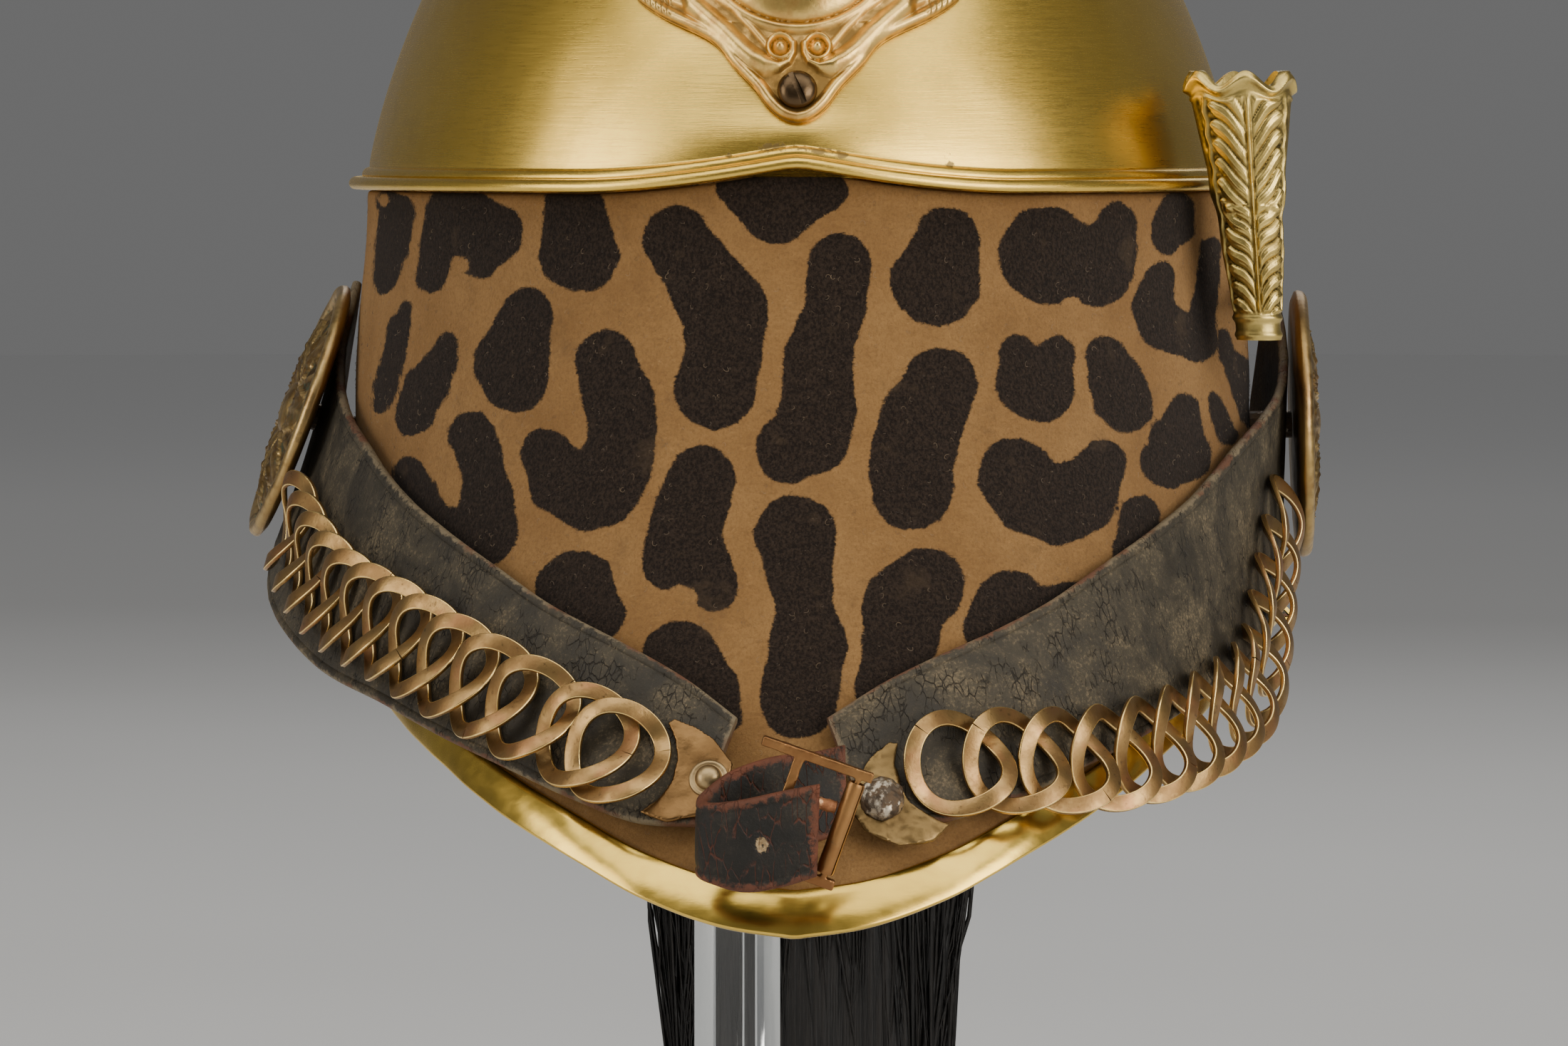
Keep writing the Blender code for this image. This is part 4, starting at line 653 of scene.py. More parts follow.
def shown(name, mesh, finish, slot, *nodes, sharp=None):
    """Puts a finished mesh in the scene on the part's body, in place of the nodes it stands for."""
    mesh.materials.clear()
    mesh.materials.append(finish)
    mesh.shade_smooth()
    if sharp:
        mesh.set_sharp_from_angle(angle=math.radians(sharp))
    piece = linked(name, mesh)
    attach(piece, "root")
    if nodes:
        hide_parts(*nodes)
    return piece


def cad_mesh(node, join=25.0):
    """Merged copy of a node's faceted mesh, with its triangles joined to larger faces."""
    def change(bm):
        bmesh.ops.remove_doubles(bm, verts=bm.verts, dist=CAD_MERGE)
        bmesh.ops.dissolve_limit(
            bm, angle_limit=FLAT_ENOUGH, verts=bm.verts, edges=bm.edges, use_dissolve_boundaries=False
        )
        bmesh.ops.join_triangles(
            bm, faces=[f for f in bm.faces if len(f.verts) == 3],
            angle_face_threshold=math.radians(join), angle_shape_threshold=math.pi,
        )

    return edited(NODES[node].data.copy(), change)


def with_modifiers(name, mesh, *steps):
    """The mesh that a row of modifiers makes; each step is a kind and its settings."""
    guide = linked(name, mesh)
    for kind, settings in steps:
        change = guide.modifiers.new(kind, kind)
        for key, value in settings.items():
            setattr(change, key, value)
    graph = bpy.context.evaluated_depsgraph_get()
    made = bpy.data.meshes.new_from_object(guide.evaluated_get(graph))
    bpy.data.objects.remove(guide)
    return made


def rounded(name, mesh, width, segments=3, angle=40.0):
    """A mesh with its sharp edges rounded off."""
    settings = {
        "width": width,
        "segments": segments,
        "limit_method": "ANGLE",
        "angle_limit": math.radians(angle),
        "harden_normals": False,
    }
    return with_modifiers(name, mesh, ("BEVEL", settings))


def creased(mesh, angle, amount):
    """Marks a mesh's sharp edges so that subdivision keeps them."""
    def change(bm):
        layer = bm.edges.layers.float.get("crease_edge") or bm.edges.layers.float.new("crease_edge")
        for edge in bm.edges:
            if edge.calc_face_angle(0.0) > math.radians(angle):
                edge[layer] = amount

    return edited(mesh, change)


def axis_of(node):
    """Middle, half length and way of a straight node such as a pin, from its mesh."""
    points = corners(node)
    middle = points.mean(axis=0)
    way = np.linalg.svd(points - middle)[2][0]
    along = (points - middle) @ way
    middle = middle + way * (along.max() + along.min()) / 2
    return Vector(middle), (along.max() - along.min()) / 2, Vector(way)


def corners(node):
    """The merged points of a node's mesh."""
    return points_of(cad_mesh(node))


def set_along(centre, axis):
    """Where a turned form goes: from a centre, with its own height along an axis."""
    return Matrix.Translation(centre) @ axis.to_track_quat("Z", "Y").to_matrix().to_4x4()


def turned(name, centre, axis, profile, sides=48):
    """Turned solid about an axis from a profile of radius and height, both in metres."""
    place = set_along(centre, axis)
    angles = np.linspace(0.0, math.tau, sides, endpoint=False)
    rows = []
    for radius, height in profile:
        rows.append([place @ Vector((radius * math.cos(a), radius * math.sin(a), height)) for a in angles])
    return tidied(skinned(name, rows, around=True))


# Forms of the helmet, as the construction has them

def xyz(x, y, z):
    return np.stack(np.broadcast_arrays(*(np.asarray(value, float) for value in (x, y, z))), -1)


def lifted(points):
    """From helmet heights, counted from the rim, to heights above the floor."""
    return points + np.array((0.0, 0.0, RIM_HEIGHT))


def rim_rise(x):
    across = np.hypot(x, RIM_BOW_ROUND) - RIM_BOW_ROUND
    return RIM_BOW_RISE * np.maximum(0.0, 1.0 - across / RIM_BOW_HALF) ** RIM_BOW_POWER


def skull_share(height):
    share = np.clip(height / SKULL_HEIGHT, 0.0, 1.0)
    return (1.0 - share**SKULL_ROUNDING) ** SKULL_FULLNESS


def skull_height_at(x, y):
    reach = np.minimum(np.hypot(x / SKULL_HALF_WIDTH, y / SKULL_HALF_LENGTH), 1.0)
    return SKULL_HEIGHT * (1.0 - reach ** (1.0 / SKULL_FULLNESS)) ** (1.0 / SKULL_ROUNDING)


def skull_front_at(x, height, proud):
    """Points over the skull's front at a width and height, pushed out along its face."""
    def depth(at):
        share = skull_share(at)
        side = np.minimum(np.abs(x) / (SKULL_HALF_WIDTH * share), 0.98)
        return -SKULL_HALF_LENGTH * share * np.sqrt(1.0 - side * side)

    y = depth(height)
    slope = (depth(height + SLOPE_STEP) - y) / SLOPE_STEP
    flat = unit(xyz(x / SKULL_HALF_WIDTH**2, y / SKULL_HALF_LENGTH**2, 0.0))
    normal = unit(xyz(flat[..., 0], flat[..., 1], np.abs(slope) * np.abs(flat[..., 1])))
    return xyz(x, y, height) + normal * np.asarray(proud)[..., None]


def peak_drop(azimuth):
    return PEAK_DROP * smooth(PEAK_EDGE, "azimuth", "drop", np.abs(azimuth))


def wall_point(azimuth, height, proud=0.0):
    """Points on the felt's outer face at azimuths in degrees and heights from the rim, pushed out."""
    share = np.maximum(0.0, -height / peak_drop(azimuth))
    half = FELT_HALF_WIDTH + (FELT_EDGE_HALF_WIDTH - FELT_HALF_WIDTH) * ease(2.0 * share)
    angle = np.radians(azimuth)
    front = FELT_TOP_DEPTH + PEAK_REACH * share**PEAK_SWEEP
    depth = np.where(np.cos(angle) >= 0.0, front, FELT_BACK_DEPTH)
    normal = unit(xyz(np.sin(angle) / half, -np.cos(angle) / depth, 0.0))
    point = xyz(half * np.sin(angle), -depth * np.cos(angle), height)
    return point + normal * np.asarray(proud)[..., None]


def felt_top(azimuth):
    rise = rim_rise(FELT_HALF_WIDTH * np.sin(np.radians(azimuth)))
    return np.where(np.abs(azimuth) > 90.0, 0.0, rise) - SEAT_GAP


def from_outline(across, up, line):
    """Shortest way from flat places to a run of straight strokes."""
    place = np.stack([across, up], -1)
    nearest = np.full(across.shape, 1e9)
    for a, b in zip(line[:-1], line[1:]):
        a, b = np.array(a, float), np.array(b, float)
        t = np.clip((place - a) @ (b - a) / max((b - a) @ (b - a), 1e-12), 0.0, 1.0)
        nearest = np.minimum(nearest, np.linalg.norm(place - a - t[..., None] * (b - a), axis=-1))
    return nearest


def swell(away, half, height):
    """Soft round swelling over a line, from the distance to the line's middle."""
    return height * np.clip(1.0 - (away / half) ** 2, 0.0, 1.0) ** 1.35


def hump(value, middle, wide):
    """One at a middle, falling off softly on both sides."""
    return np.exp(-(((value - middle) / wide) ** 2))


# Brass skull and rim

def make_skull(finish):
    angle = np.linspace(0.0, math.tau, SKULL_ROUND, endpoint=False)

    def ring(height, proud, bow):
        share = skull_share(height)
        x = (SKULL_HALF_WIDTH * share + proud) * np.sin(angle)
        y = -(SKULL_HALF_LENGTH * share + proud) * np.cos(angle)
        return xyz(x, y, height + np.where(y < 0.0, rim_rise(x) * bow, 0.0))

    rows = []
    for turn in np.linspace(math.pi / 2 * CROWN_TURN, FOOT_TURN, SKULL_RINGS):
        height = SKULL_HEIGHT * math.sin(turn)
        rows.append(ring(height, 0.0, 1.0 - float(ease((height - BOW_FADE_FROM) / BOW_FADE))))
    section = list(RIM_BAND)
    for degrees in BEAD_TURN:
        turn = math.radians(degrees)
        section.append((BEAD_OUT + BEAD_RADIUS * math.cos(turn), BEAD_RADIUS + BEAD_RADIUS * math.sin(turn)))
    section += RIM_TURN_IN
    rows += [ring(up / 1000.0, out / 1000.0, 1.0) for out, up in section]
    for share in SKULL_INSIDE:
        rows.append(ring(SKULL_HEIGHT * share, -SKULL_WALL * (1.0 + share), 0.0))
    rows = lifted(np.array(rows))
    away = spot_distance(*in_photo(rows), TARNISH, TARNISH_MELT) / PX_PER_MM
    away = np.where(rows[..., 1] < 0.0, np.clip(away, -MARK_FAR, MARK_FAR), MARK_FAR)
    mesh = tidied(skinned("skull", rows, around=True, marks={"tarnish": away}))
    shown("skull_shell", mesh, finish, "skull_brass", "skull")


# Leopard-spotted felt

def spot_distance(across, up, spots, melt):
    """Signed distance to the nearest spot, below zero inside it, in the units of the places."""
    place = np.stack(np.broadcast_arrays(across, up), -1)
    whole = np.full(place.shape[:-1], 1e6)
    for spot in spots:
        body = np.full(place.shape[:-1], 1e6)
        strokes = list(zip(spot[:-1], spot[1:])) or [(spot[0], spot[0])]
        for a, b in strokes:
            start, run = np.array(a[:2], float), np.array(b[:2], float) - np.array(a[:2], float)
            t = np.clip((place - start) @ run / max(run @ run, 1e-12), 0.0, 1.0)
            away = np.linalg.norm(place - start - t[..., None] * run, axis=-1) - (a[2] + (b[2] - a[2]) * t)
            blend = np.clip(0.5 + 0.5 * (away - body) / melt, 0.0, 1.0)
            body = away + (body - away) * blend - melt * blend * (1.0 - blend)
        whole = np.minimum(whole, body)
    return whole


def felt_spots_and_shade(points, azimuth, height):
    """Signed distance in millimetres to the spots, charted ahead and laid out behind."""
    # Ahead, the charted dark also holds painted shade and shadow at the felt's right side
    across, down = in_photo(points)
    ahead = spot_distance(across, down, SPOTS_AND_SHADE, SPOT_MELT)
    for bite in BITES:
        ahead = np.maximum(ahead, bite.r - np.hypot(across - bite.x, down - bite.y))
    ahead = ahead / PX_PER_MM + np.maximum(0.0, np.abs(azimuth) - SPOTS_TO) * SPOT_STOP
    girth = math.radians(1.0) * FELT_HALF_WIDTH * 1000.0
    behind = []
    for spot in BACK_SPOTS:
        x, y = (spot.azimuth % 360.0) * girth, spot.height * 1000.0
        lean, run = spot.lean * spot.length * 500.0, spot.length * 500.0
        wide = spot.radius * 1000.0
        upper = Blob(x - lean, y + run, wide * BACK_SPOT_ENDS[0])
        lower = Blob(x + lean, y - run, wide * BACK_SPOT_ENDS[1])
        behind.append((upper, Blob(x, y, wide), lower))
    back = spot_distance((azimuth % 360.0) * girth, height * 1000.0, behind, BACK_MELT)
    back = back + np.maximum(0.0, BACK_SPOTS_FROM - np.abs(azimuth)) * SPOT_STOP
    return np.minimum(ahead, back)


def make_felt(finish):
    azimuth = np.linspace(-180.0, 180.0, FELT_ROUND, endpoint=False)
    top, low = felt_top(azimuth), -peak_drop(azimuth)

    def ring(share, proud):
        height = top - share * (top - low)
        return wall_point(azimuth, height, np.full(azimuth.shape, proud)), height

    shares = list(FELT_LIP) + [(share, 0.0) for share in np.linspace(*FELT_FACE, FELT_RINGS)]
    shares += [(1.0 - share, proud) for share, proud in reversed(FELT_LIP)]
    inner = [(1.0, -FELT_WALL + FELT_INNER_LIP)] + [(share, -FELT_WALL) for share in FELT_INSIDE]
    rows, heights = zip(*(ring(share, proud) for share, proud in shares + inner))
    rows, heights = lifted(np.array(rows)), np.array(heights)
    marks = felt_spots_and_shade(rows, azimuth[None, :], heights)
    face = slice(len(FELT_LIP), len(shares) - len(FELT_LIP))
    out = unit(rows[0] * (1.0, 1.0, 0.0))
    rows[face] += out[None] * uneven(rows[face], FELT_WAVES)[..., None]
    mesh = edited(skinned("felt", rows, around=True, loop=True, marks={"spot": marks}), face_out)
    felt = shown("felt_cover", mesh, finish, "spotted_felt", "felt_turban")
    return felt


# Folded brass strips and the neck flap

def strip_profile(wall, core, face, back):
    """Section of a strip folded round a wall's edge: distances out of the wall and up it."""
    gap = SEAT_GAP
    high = [(gap + wall * out, face + wall * up) for out, up in STRIP_LIP]
    high += [(gap + wall * out, face * up) for out, up in STRIP_SWELL]
    middle, half = (wall * 0.1 - core) / 2.0, (core + 2 * gap + wall * 2.1) / 2.0
    fold = []
    for degrees in range(0, 181, 15):
        turn = math.radians(degrees)
        fold.append((middle + half * math.cos(turn), -(gap + wall * STRIP_FOLD_DEEP) * math.sin(turn)))
    inside = [(-core - gap - wall, back), (-core - gap - wall * 0.5, back + wall * 0.1), (-core - gap, back)]
    inside += [(-core - gap, -gap), (gap, -gap)]
    return high + fold + inside


def make_strip(name, edge, up, out, profile, finish, node, kinds=()):
    """Sweeps a folded strip's section along an edge, and shows it."""
    rows = lifted(np.stack([edge + out * across + up * along for across, along in profile], 1))
    if kinds:
        rows += out[:, None, :] * uneven(rows[:, :1], kinds)[..., None]
    mesh = tidied(skinned(name, rows, around=True, ends="face"))
    shown(name, mesh, finish, "bright_brass", node, sharp=50)


def make_peak_binding(finish):
    azimuth = np.linspace(-BINDING_SPAN, BINDING_SPAN, BINDING_STEPS)
    low = -peak_drop(azimuth)
    flush = np.zeros(azimuth.shape)
    edge = wall_point(azimuth, low, flush)
    up = unit(wall_point(azimuth, low + BINDING_FACE, flush) - edge)
    out = unit(wall_point(azimuth, low, flush + FELT_WALL) - edge)
    profile = strip_profile(BINDING_WALL, FELT_WALL, BINDING_FACE, BINDING_BACK)
    make_strip("peak_strip", edge, up, out, profile, finish, "peak_binding", BINDING_WAVES)


def make_neck(leather, brass):
    azimuth = np.linspace(180.0 - NECK_SPAN, 180.0 + NECK_SPAN, NECK_STEPS)
    azimuth = np.where(azimuth > 180.0, azimuth - 360.0, azimuth)
    top = -peak_drop(azimuth) - SEAT_GAP
    from_end = (NECK_SPAN - (180.0 - np.abs(azimuth))) / NECK_CORNER
    drop = NECK_DROP * (1.0 - NECK_CORNER_RISE * (1.0 - ease(from_end)))

    def flap(share, proud):
        out = np.full(azimuth.shape, proud + NECK_FLARE * share**NECK_FLARE_POWER)
        return wall_point(azimuth, top, out) - np.outer(drop * share, (0.0, 0.0, 1.0))

    outer = np.linspace(0.0, 1.0, NECK_ROWS[0])
    places = [(share, -NECK_EDGE_IN if share in (0.0, 1.0) else 0.0) for share in outer]
    places += [(share, -NECK_WALL) for share in np.linspace(1.0, 0.0, NECK_ROWS[1])]
    rows = lifted(np.stack([flap(share, proud) for share, proud in places], 1))
    away = [min(share, 1.0 - share) * NECK_DROP * 1000.0 for share, _ in places]
    marks = {"edge": np.tile(away, (len(azimuth), 1))}
    mesh = skinned("neck_leather", rows, around=True, ends="face", marks=marks)
    shown("neck_leather", tidied(mesh), leather, "black_leather", "neck_guard", sharp=50)
    edge = flap(1.0, 0.0)
    up = unit(flap(0.8, 0.0) - edge)
    out = unit(edge - flap(1.0, -NECK_WALL))
    profile = strip_profile(BINDING_WALL, NECK_WALL, BINDING_BACK, BINDING_BACK)
    make_strip("neck_strip", edge, up, out, profile, brass, "neck_binding")


# Leather of the chin strap and of the buckle

def strap_edges(side, along):
    """Upper and lower edge of the strap's inner face at places along it."""
    way = -1.0 if side == "left" else 1.0
    past = np.maximum(0.0, along - STRAP_REACH_FROM) / (1.0 - STRAP_REACH_FROM)
    edges = []
    for edge in ("upper", "lower"):
        azimuth = smooth(STRAP, "along", edge + "_azimuth", along) - STRAP_REACH[side] * past
        height = -PEAK_DROP * smooth(STRAP, "along", edge + "_drop", along)
        proud = smooth(STRAP, "along", edge + "_" + side, along) * STRAP_FLARE
        edges.append(wall_point(way * azimuth, height, STRAP_SEAT + proud))
    return edges


def leather_section(wall, groove):
    """Section across a leather strip: share of the width, distance in from an edge, share of the wall.
    The distance is counted from the upper edge where positive and from the lower one where negative."""
    edge = LEATHER_EDGE + ((LEATHER_GROOVE, 1.0 - groove / wall),) + LEATHER_PAST_GROOVE
    rows = [(0.0, away, up) for away, up in edge]
    for share in np.linspace(*LEATHER_FACE, STRAP_ROWS):
        rows.append((share, 0.0, 1.0 + LEATHER_SWELL * math.sin(math.pi * share)))
    rows += [(1.0, -away, up) for away, up in reversed(edge)]
    return rows + list(LEATHER_BACK)


def leather_strip(name, upper, lower, out, wall, groove, seed):
    """Strip of leather between two edge lines, with creased and rubbed edges and small uneven places."""
    width = np.linalg.norm(lower - upper, axis=-1, keepdims=True)
    down = (lower - upper) / width
    length = np.concatenate([[0.0], np.cumsum(np.linalg.norm(np.diff((upper + lower) / 2, axis=0), axis=-1))])
    rows, edge, uv = [], [], []
    for share, away, up in leather_section(wall, groove):
        across = share * width + away
        rows.append(upper + down * across + out * (wall * up))
        edge.append(np.minimum(across, width - across)[:, 0] * 1000.0)
        uv.append(np.stack([length, across[:, 0]], -1))
    rows = lifted(np.stack(rows, 1))
    kinds = [(size, depth, seed) for size, depth in LEATHER_WAVES]
    rows += out[:, None, :] * uneven(rows, kinds)[..., None]
    ends = np.minimum(length, length[-1] - length)[:, None] * 1000.0
    edge = np.minimum(np.stack(edge, 1), ends)
    return tidied(skinned(name, rows, around=True, ends="face", marks={"edge": edge}, uv=np.stack(uv, 1)))


def make_strap(side, finish):
    along = np.linspace(0.0, 1.0, STRAP_STEPS)
    upper, lower = strap_edges(side, along)
    middle = (upper + lower) / 2
    right = unit(np.gradient(middle, axis=0)) * (1.0 if side == "left" else -1.0)
    out = unit(np.cross(right, unit(upper - lower)))
    mesh = leather_strip("strap_" + side, upper, lower, out, STRAP_WALL, STRAP_GROOVE, LEATHER_SEED[side])
    shown("strap_leather_" + side, mesh, finish, "black_leather", "strap_" + side, sharp=60)


def make_buckle_leather(finish):
    at = np.linspace(0.0, 1.0, LOOP_STEPS)
    rows = [LoopRow(i / (len(BUCKLE_LOOP) - 1), *row) for i, row in enumerate(BUCKLE_LOOP)]
    edges = []
    for edge in ("upper", "lower"):
        across, off, drop = (smooth(rows, "along", f"{edge}_{key}", at) for key in ("x", "off", "drop"))
        front = FELT_TOP_DEPTH + PEAK_REACH * drop**PEAK_SWEEP
        edges.append(xyz(across * PEAK_DROP, -front - off * LOOP_REACH, -drop * PEAK_DROP))
    upper, lower = edges
    way = unit(np.gradient((upper + lower) / 2, axis=0))
    out = unit(np.cross(way, upper - lower))
    start = out * (-LOOP_WALL / 2)
    mesh = leather_strip("buckle_leather", upper + start, lower + start, out, LOOP_WALL, LOOP_GROOVE,
                         LEATHER_SEED["loop"])
    points = points_of(mesh)
    x, y = in_photo(points)
    away = np.hypot(x - LOOP_HOLE.x, (y - LOOP_HOLE.y) * LOOP_HOLE_FLAT) / PX_PER_MM
    away = np.where(points[:, 1] < points[:, 1].min() + LOOP_HOLE_DEPTH, away, MARK_FAR)
    points[:, 1] += LOOP_HOLE_DENT * ease((LOOP_HOLE_REACH - away) / LOOP_HOLE_REACH)
    mesh = moved(marked(mesh, tear=away), points)
    shown("buckle_leather", mesh, finish, "black_leather", "buckle_strap", sharp=60)


# Geometry Nodes for what repeats or follows a path

class Net:
    """A node tree whose sockets are named by their labels, with underscores for spaces."""

    def __init__(self, net):
        self.net = net

    def feed(self, socket, value):
        if isinstance(value, bpy.types.Node):
            value = next(s for s in value.outputs if s.enabled)
        if isinstance(value, bpy.types.NodeSocket):
            self.net.links.new(value, socket)
        elif socket.type == "RGBA" and len(value) == 3:
            socket.default_value = (*value, 1.0)
        else:
            socket.default_value = value

    def node(self, kind, settings=None, **sockets):
        node = self.net.nodes.new(kind)
        for key, value in (settings or {}).items():
            setattr(node, key, value)
        for key, value in sockets.items():
            label = key.replace("_", " ")
            self.feed(next(s for s in node.inputs if s.name == label and s.enabled), value)
        return node

    def math(self, operation, a, b=0.0):
        node = self.net.nodes.new("ShaderNodeMath")
        node.operation = operation
        self.feed(node.inputs[0], a)
        self.feed(node.inputs[1], b)
        return node.outputs[0]

    def times(self, a, b):
        return self.math("MULTIPLY", a, b)

    def plus(self, a, b):
        return self.math("ADD", a, b)

    def less(self, a, b):
        return self.math("SUBTRACT", a, b)


class Tree(Net):
    """A Geometry Nodes tree with named inputs for its sizes."""

    def __init__(self, name, **inputs):
        super().__init__(bpy.data.node_groups.new(name, "GeometryNodeTree"))
        face = self.net.interface
        face.new_socket("Geometry", in_out="INPUT", socket_type="NodeSocketGeometry")
        self.ids = {}
        for key, kind in inputs.items():
            socket = face.new_socket(key.replace("_", " "), in_out="INPUT", socket_type="NodeSocket" + kind)
            self.ids[key] = socket.identifier
        face.new_socket("Geometry", in_out="OUTPUT", socket_type="NodeSocketGeometry")
        self.start = self.net.nodes.new("NodeGroupInput")
        self.end = self.net.nodes.new("NodeGroupOutput")

    def given(self, key):
        return self.start.outputs[key.replace("_", " ")]

    def out(self, node, label):
        return next(s for s in node.outputs if s.enabled and s.name == label)

    def finish(self, geometry):
        """Makes the geometry real and gives it the tree's finish."""
        real = self.node("GeometryNodeRealizeInstances", Geometry=geometry)
        soft = self.node("GeometryNodeSetShadeSmooth", Geometry=real)
        painted = self.node("GeometryNodeSetMaterial", Geometry=soft, Material=self.given("finish"))
        self.feed(self.end.inputs[0], painted)


def grown(name, tree, base, **values):
    """The plain mesh that a tree makes from a base mesh."""
    guide = linked(name, base)
    change = guide.modifiers.new(name, "NODES")
    change.node_group = tree.net
    for key, value in values.items():
        change[tree.ids[key]] = value
    graph = bpy.context.evaluated_depsgraph_get()
    graph.update()
    made = bpy.data.meshes.new_from_object(guide.evaluated_get(graph))
    bpy.data.objects.remove(guide)
    for mark in [m.name for m in made.attributes if m.name in ("off", "girth")]:
        made.attributes.remove(made.attributes[mark])
    return made


def paths_mesh(name, paths, **marks):
    """Loose edges along paths of points, with a mark kept at each point."""
    points = np.concatenate(paths)
    edges = []
    start = 0
    for path in paths:
        edges += [(start + i, start + i + 1) for i in range(len(path) - 1)]
        start += len(path)
    mesh = bpy.data.meshes.new(name)
    mesh.from_pydata(points.tolist(), edges, [])
    for mark, values in marks.items():
        flat = np.concatenate(values).astype(np.float32)
        vector = flat.ndim == 2
        kept = mesh.attributes.new(mark, "FLOAT_VECTOR" if vector else "FLOAT", "POINT")
        kept.data.foreach_set("vector" if vector else "value", flat.reshape(-1))
    return mesh


def band_tree():
    """Sweeps a flat band with rounded edges along each path, its thickness the way that off points."""
    tree = Tree("ring_band", width="Float", wall="Float", corner="Float", finish="Material")
    curve = tree.node("GeometryNodeMeshToCurve", Mesh=tree.given("Geometry"))
    off = tree.node("GeometryNodeInputNamedAttribute", {"data_type": "FLOAT_VECTOR"}, Name="off")
    turned_curve = tree.node("GeometryNodeSetCurveNormal", {"mode": "FREE"}, Curve=curve,
                             Normal=tree.out(off, "Attribute"))
    flat = tree.node("GeometryNodeCurvePrimitiveQuadrilateral", {"mode": "RECTANGLE"},
                     Width=tree.given("wall"), Height=tree.given("width"))
    profile = tree.node("GeometryNodeFilletCurve", {"mode": "POLY"}, Curve=flat, Count=3,
                        Radius=tree.given("corner"))
    spot = tree.node("ShaderNodeSeparateXYZ", Vector=tree.node("GeometryNodeInputPosition"))
    # How near each profile point is to the rounded edges, kept for the finish's bright gold edges, partly
    # rubbed wear and partly painted highlight
    nearness = []
    for axis, size in (("X", "wall"), ("Y", "width")):
        away = tree.math("ABSOLUTE", tree.out(spot, axis))
        flat_to = tree.less(tree.times(tree.given(size), 0.5), tree.given("corner"))
        nearness.append(tree.math("DIVIDE", tree.less(away, flat_to), tree.given("corner")))
    rub = tree.times(tree.math("MINIMUM", *nearness), 2.0)
    # The profile, marked for those bright edges of wear and painted highlight
    rubbed = tree.node("GeometryNodeStoreNamedAttribute", {"data_type": "FLOAT", "domain": "POINT"},
                       Geometry=profile, Name="rub", Value=rub)
    band = tree.node("GeometryNodeCurveToMesh", Curve=turned_curve, Profile_Curve=rubbed, Fill_Caps=True)
    tree.finish(band)
    return tree


def hair_tree():
    """Sweeps a thin tapering hair along each path."""
    tree = Tree("hair", girth="Float", sides="Int", finish="Material")
    curve = tree.node("GeometryNodeMeshToCurve", Mesh=tree.given("Geometry"))
    girth = tree.node("GeometryNodeInputNamedAttribute", {"data_type": "FLOAT"}, Name="girth")
    round_one = tree.node("GeometryNodeCurvePrimitiveCircle", Resolution=tree.given("sides"),
                          Radius=tree.given("girth"))
    hair = tree.node("GeometryNodeCurveToMesh", Curve=curve, Profile_Curve=round_one,
                     Scale=tree.out(girth, "Attribute"), Fill_Caps=True)
    tree.finish(hair)
    return tree


def lint_tree():
    """Strews small bent fibres over a surface."""
    tree = Tree("felt_lint", per_area="Float", seed="Int", fibre="Object", finish="Material")
    spread = tree.node("GeometryNodeDistributePointsOnFaces", Mesh=tree.given("Geometry"),
                       Density=tree.given("per_area"), Seed=tree.given("seed"))
    form = tree.node("GeometryNodeObjectInfo", Object=tree.given("fibre"))
    spin = tree.node("FunctionNodeRandomValue", {"data_type": "FLOAT_VECTOR"}, Seed=tree.given("seed"),
                     Min=(-FIBRE_LEAN, -FIBRE_LEAN, 0.0), Max=(FIBRE_LEAN, FIBRE_LEAN, math.tau))
    turn = tree.node("FunctionNodeRotateRotation", {"rotation_space": "LOCAL"},
                     Rotation=tree.out(spread, "Rotation"), Rotate_By=tree.out(spin, "Value"))
    size = tree.node("FunctionNodeRandomValue", {"data_type": "FLOAT_VECTOR"}, Min=(0.25, 0.10, 0.6),
                     Max=(1.35, 1.30, 1.2), Seed=tree.given("seed"))
    strewn = tree.node("GeometryNodeInstanceOnPoints", Points=tree.out(spread, "Points"),
                       Instance=tree.out(form, "Geometry"), Rotation=turn, Scale=tree.out(size, "Value"))
    tree.finish(strewn)
    return tree


# Rings, end plates and rivets of the chain

def ring_path(node, seam):
    """Middle line of a ring with its way off the flat, read at its sections and made smooth, with a
    small gap at its butt seam."""
    points = corners(node)
    middle = points.mean(axis=0)
    flat = np.linalg.svd(points - middle)[2]
    if flat[2] @ np.array((0.0, -1.0, 0.0)) < 0:
        flat[2] = -flat[2]
    way = np.arctan2((points - middle) @ flat[1], (points - middle) @ flat[0])
    order = np.argsort(way)
    steps = np.diff(np.append(way[order], way[order[0]] + math.tau))
    first = int(np.argmax(steps)) + 1
    order = np.roll(order, -first).reshape(LINK_SECTIONS, 4)
    centres, offs = [], []
    for four in points[order]:
        centres.append(four.mean(axis=0))
        along = (four - four.mean(axis=0)) @ flat[2]
        high = np.argsort(along)
        radius = np.linalg.norm(four - middle, axis=1)
        near = four[np.argsort(radius)[:2]]
        lift = near[np.argmax((near - middle) @ flat[2])] - near[np.argmin((near - middle) @ flat[2])]
        offs.append(lift if np.linalg.norm(lift) > MERGE else four[high[3]] - four[high[0]])
    line = np.hstack([np.array(centres), unit(np.array(offs))])
    waves_in = np.fft.rfft(line, axis=0)
    angle = seam + np.linspace(LINK_SEAM, math.tau - LINK_SEAM, LINK_POINTS)
    made = np.zeros((LINK_POINTS, 6))
    for k in range(LINK_TURNS):
        weight = (1.0 if k == 0 else 2.0) / len(line)
        made += weight * np.real(waves_in[k][None, :] * np.exp(1j * k * angle)[:, None])
    path = made[:, :3]
    along = unit(np.gradient(path, axis=0))
    off = made[:, 3:] - (made[:, 3:] * along).sum(axis=1, keepdims=True) * along
    return path, unit(off)


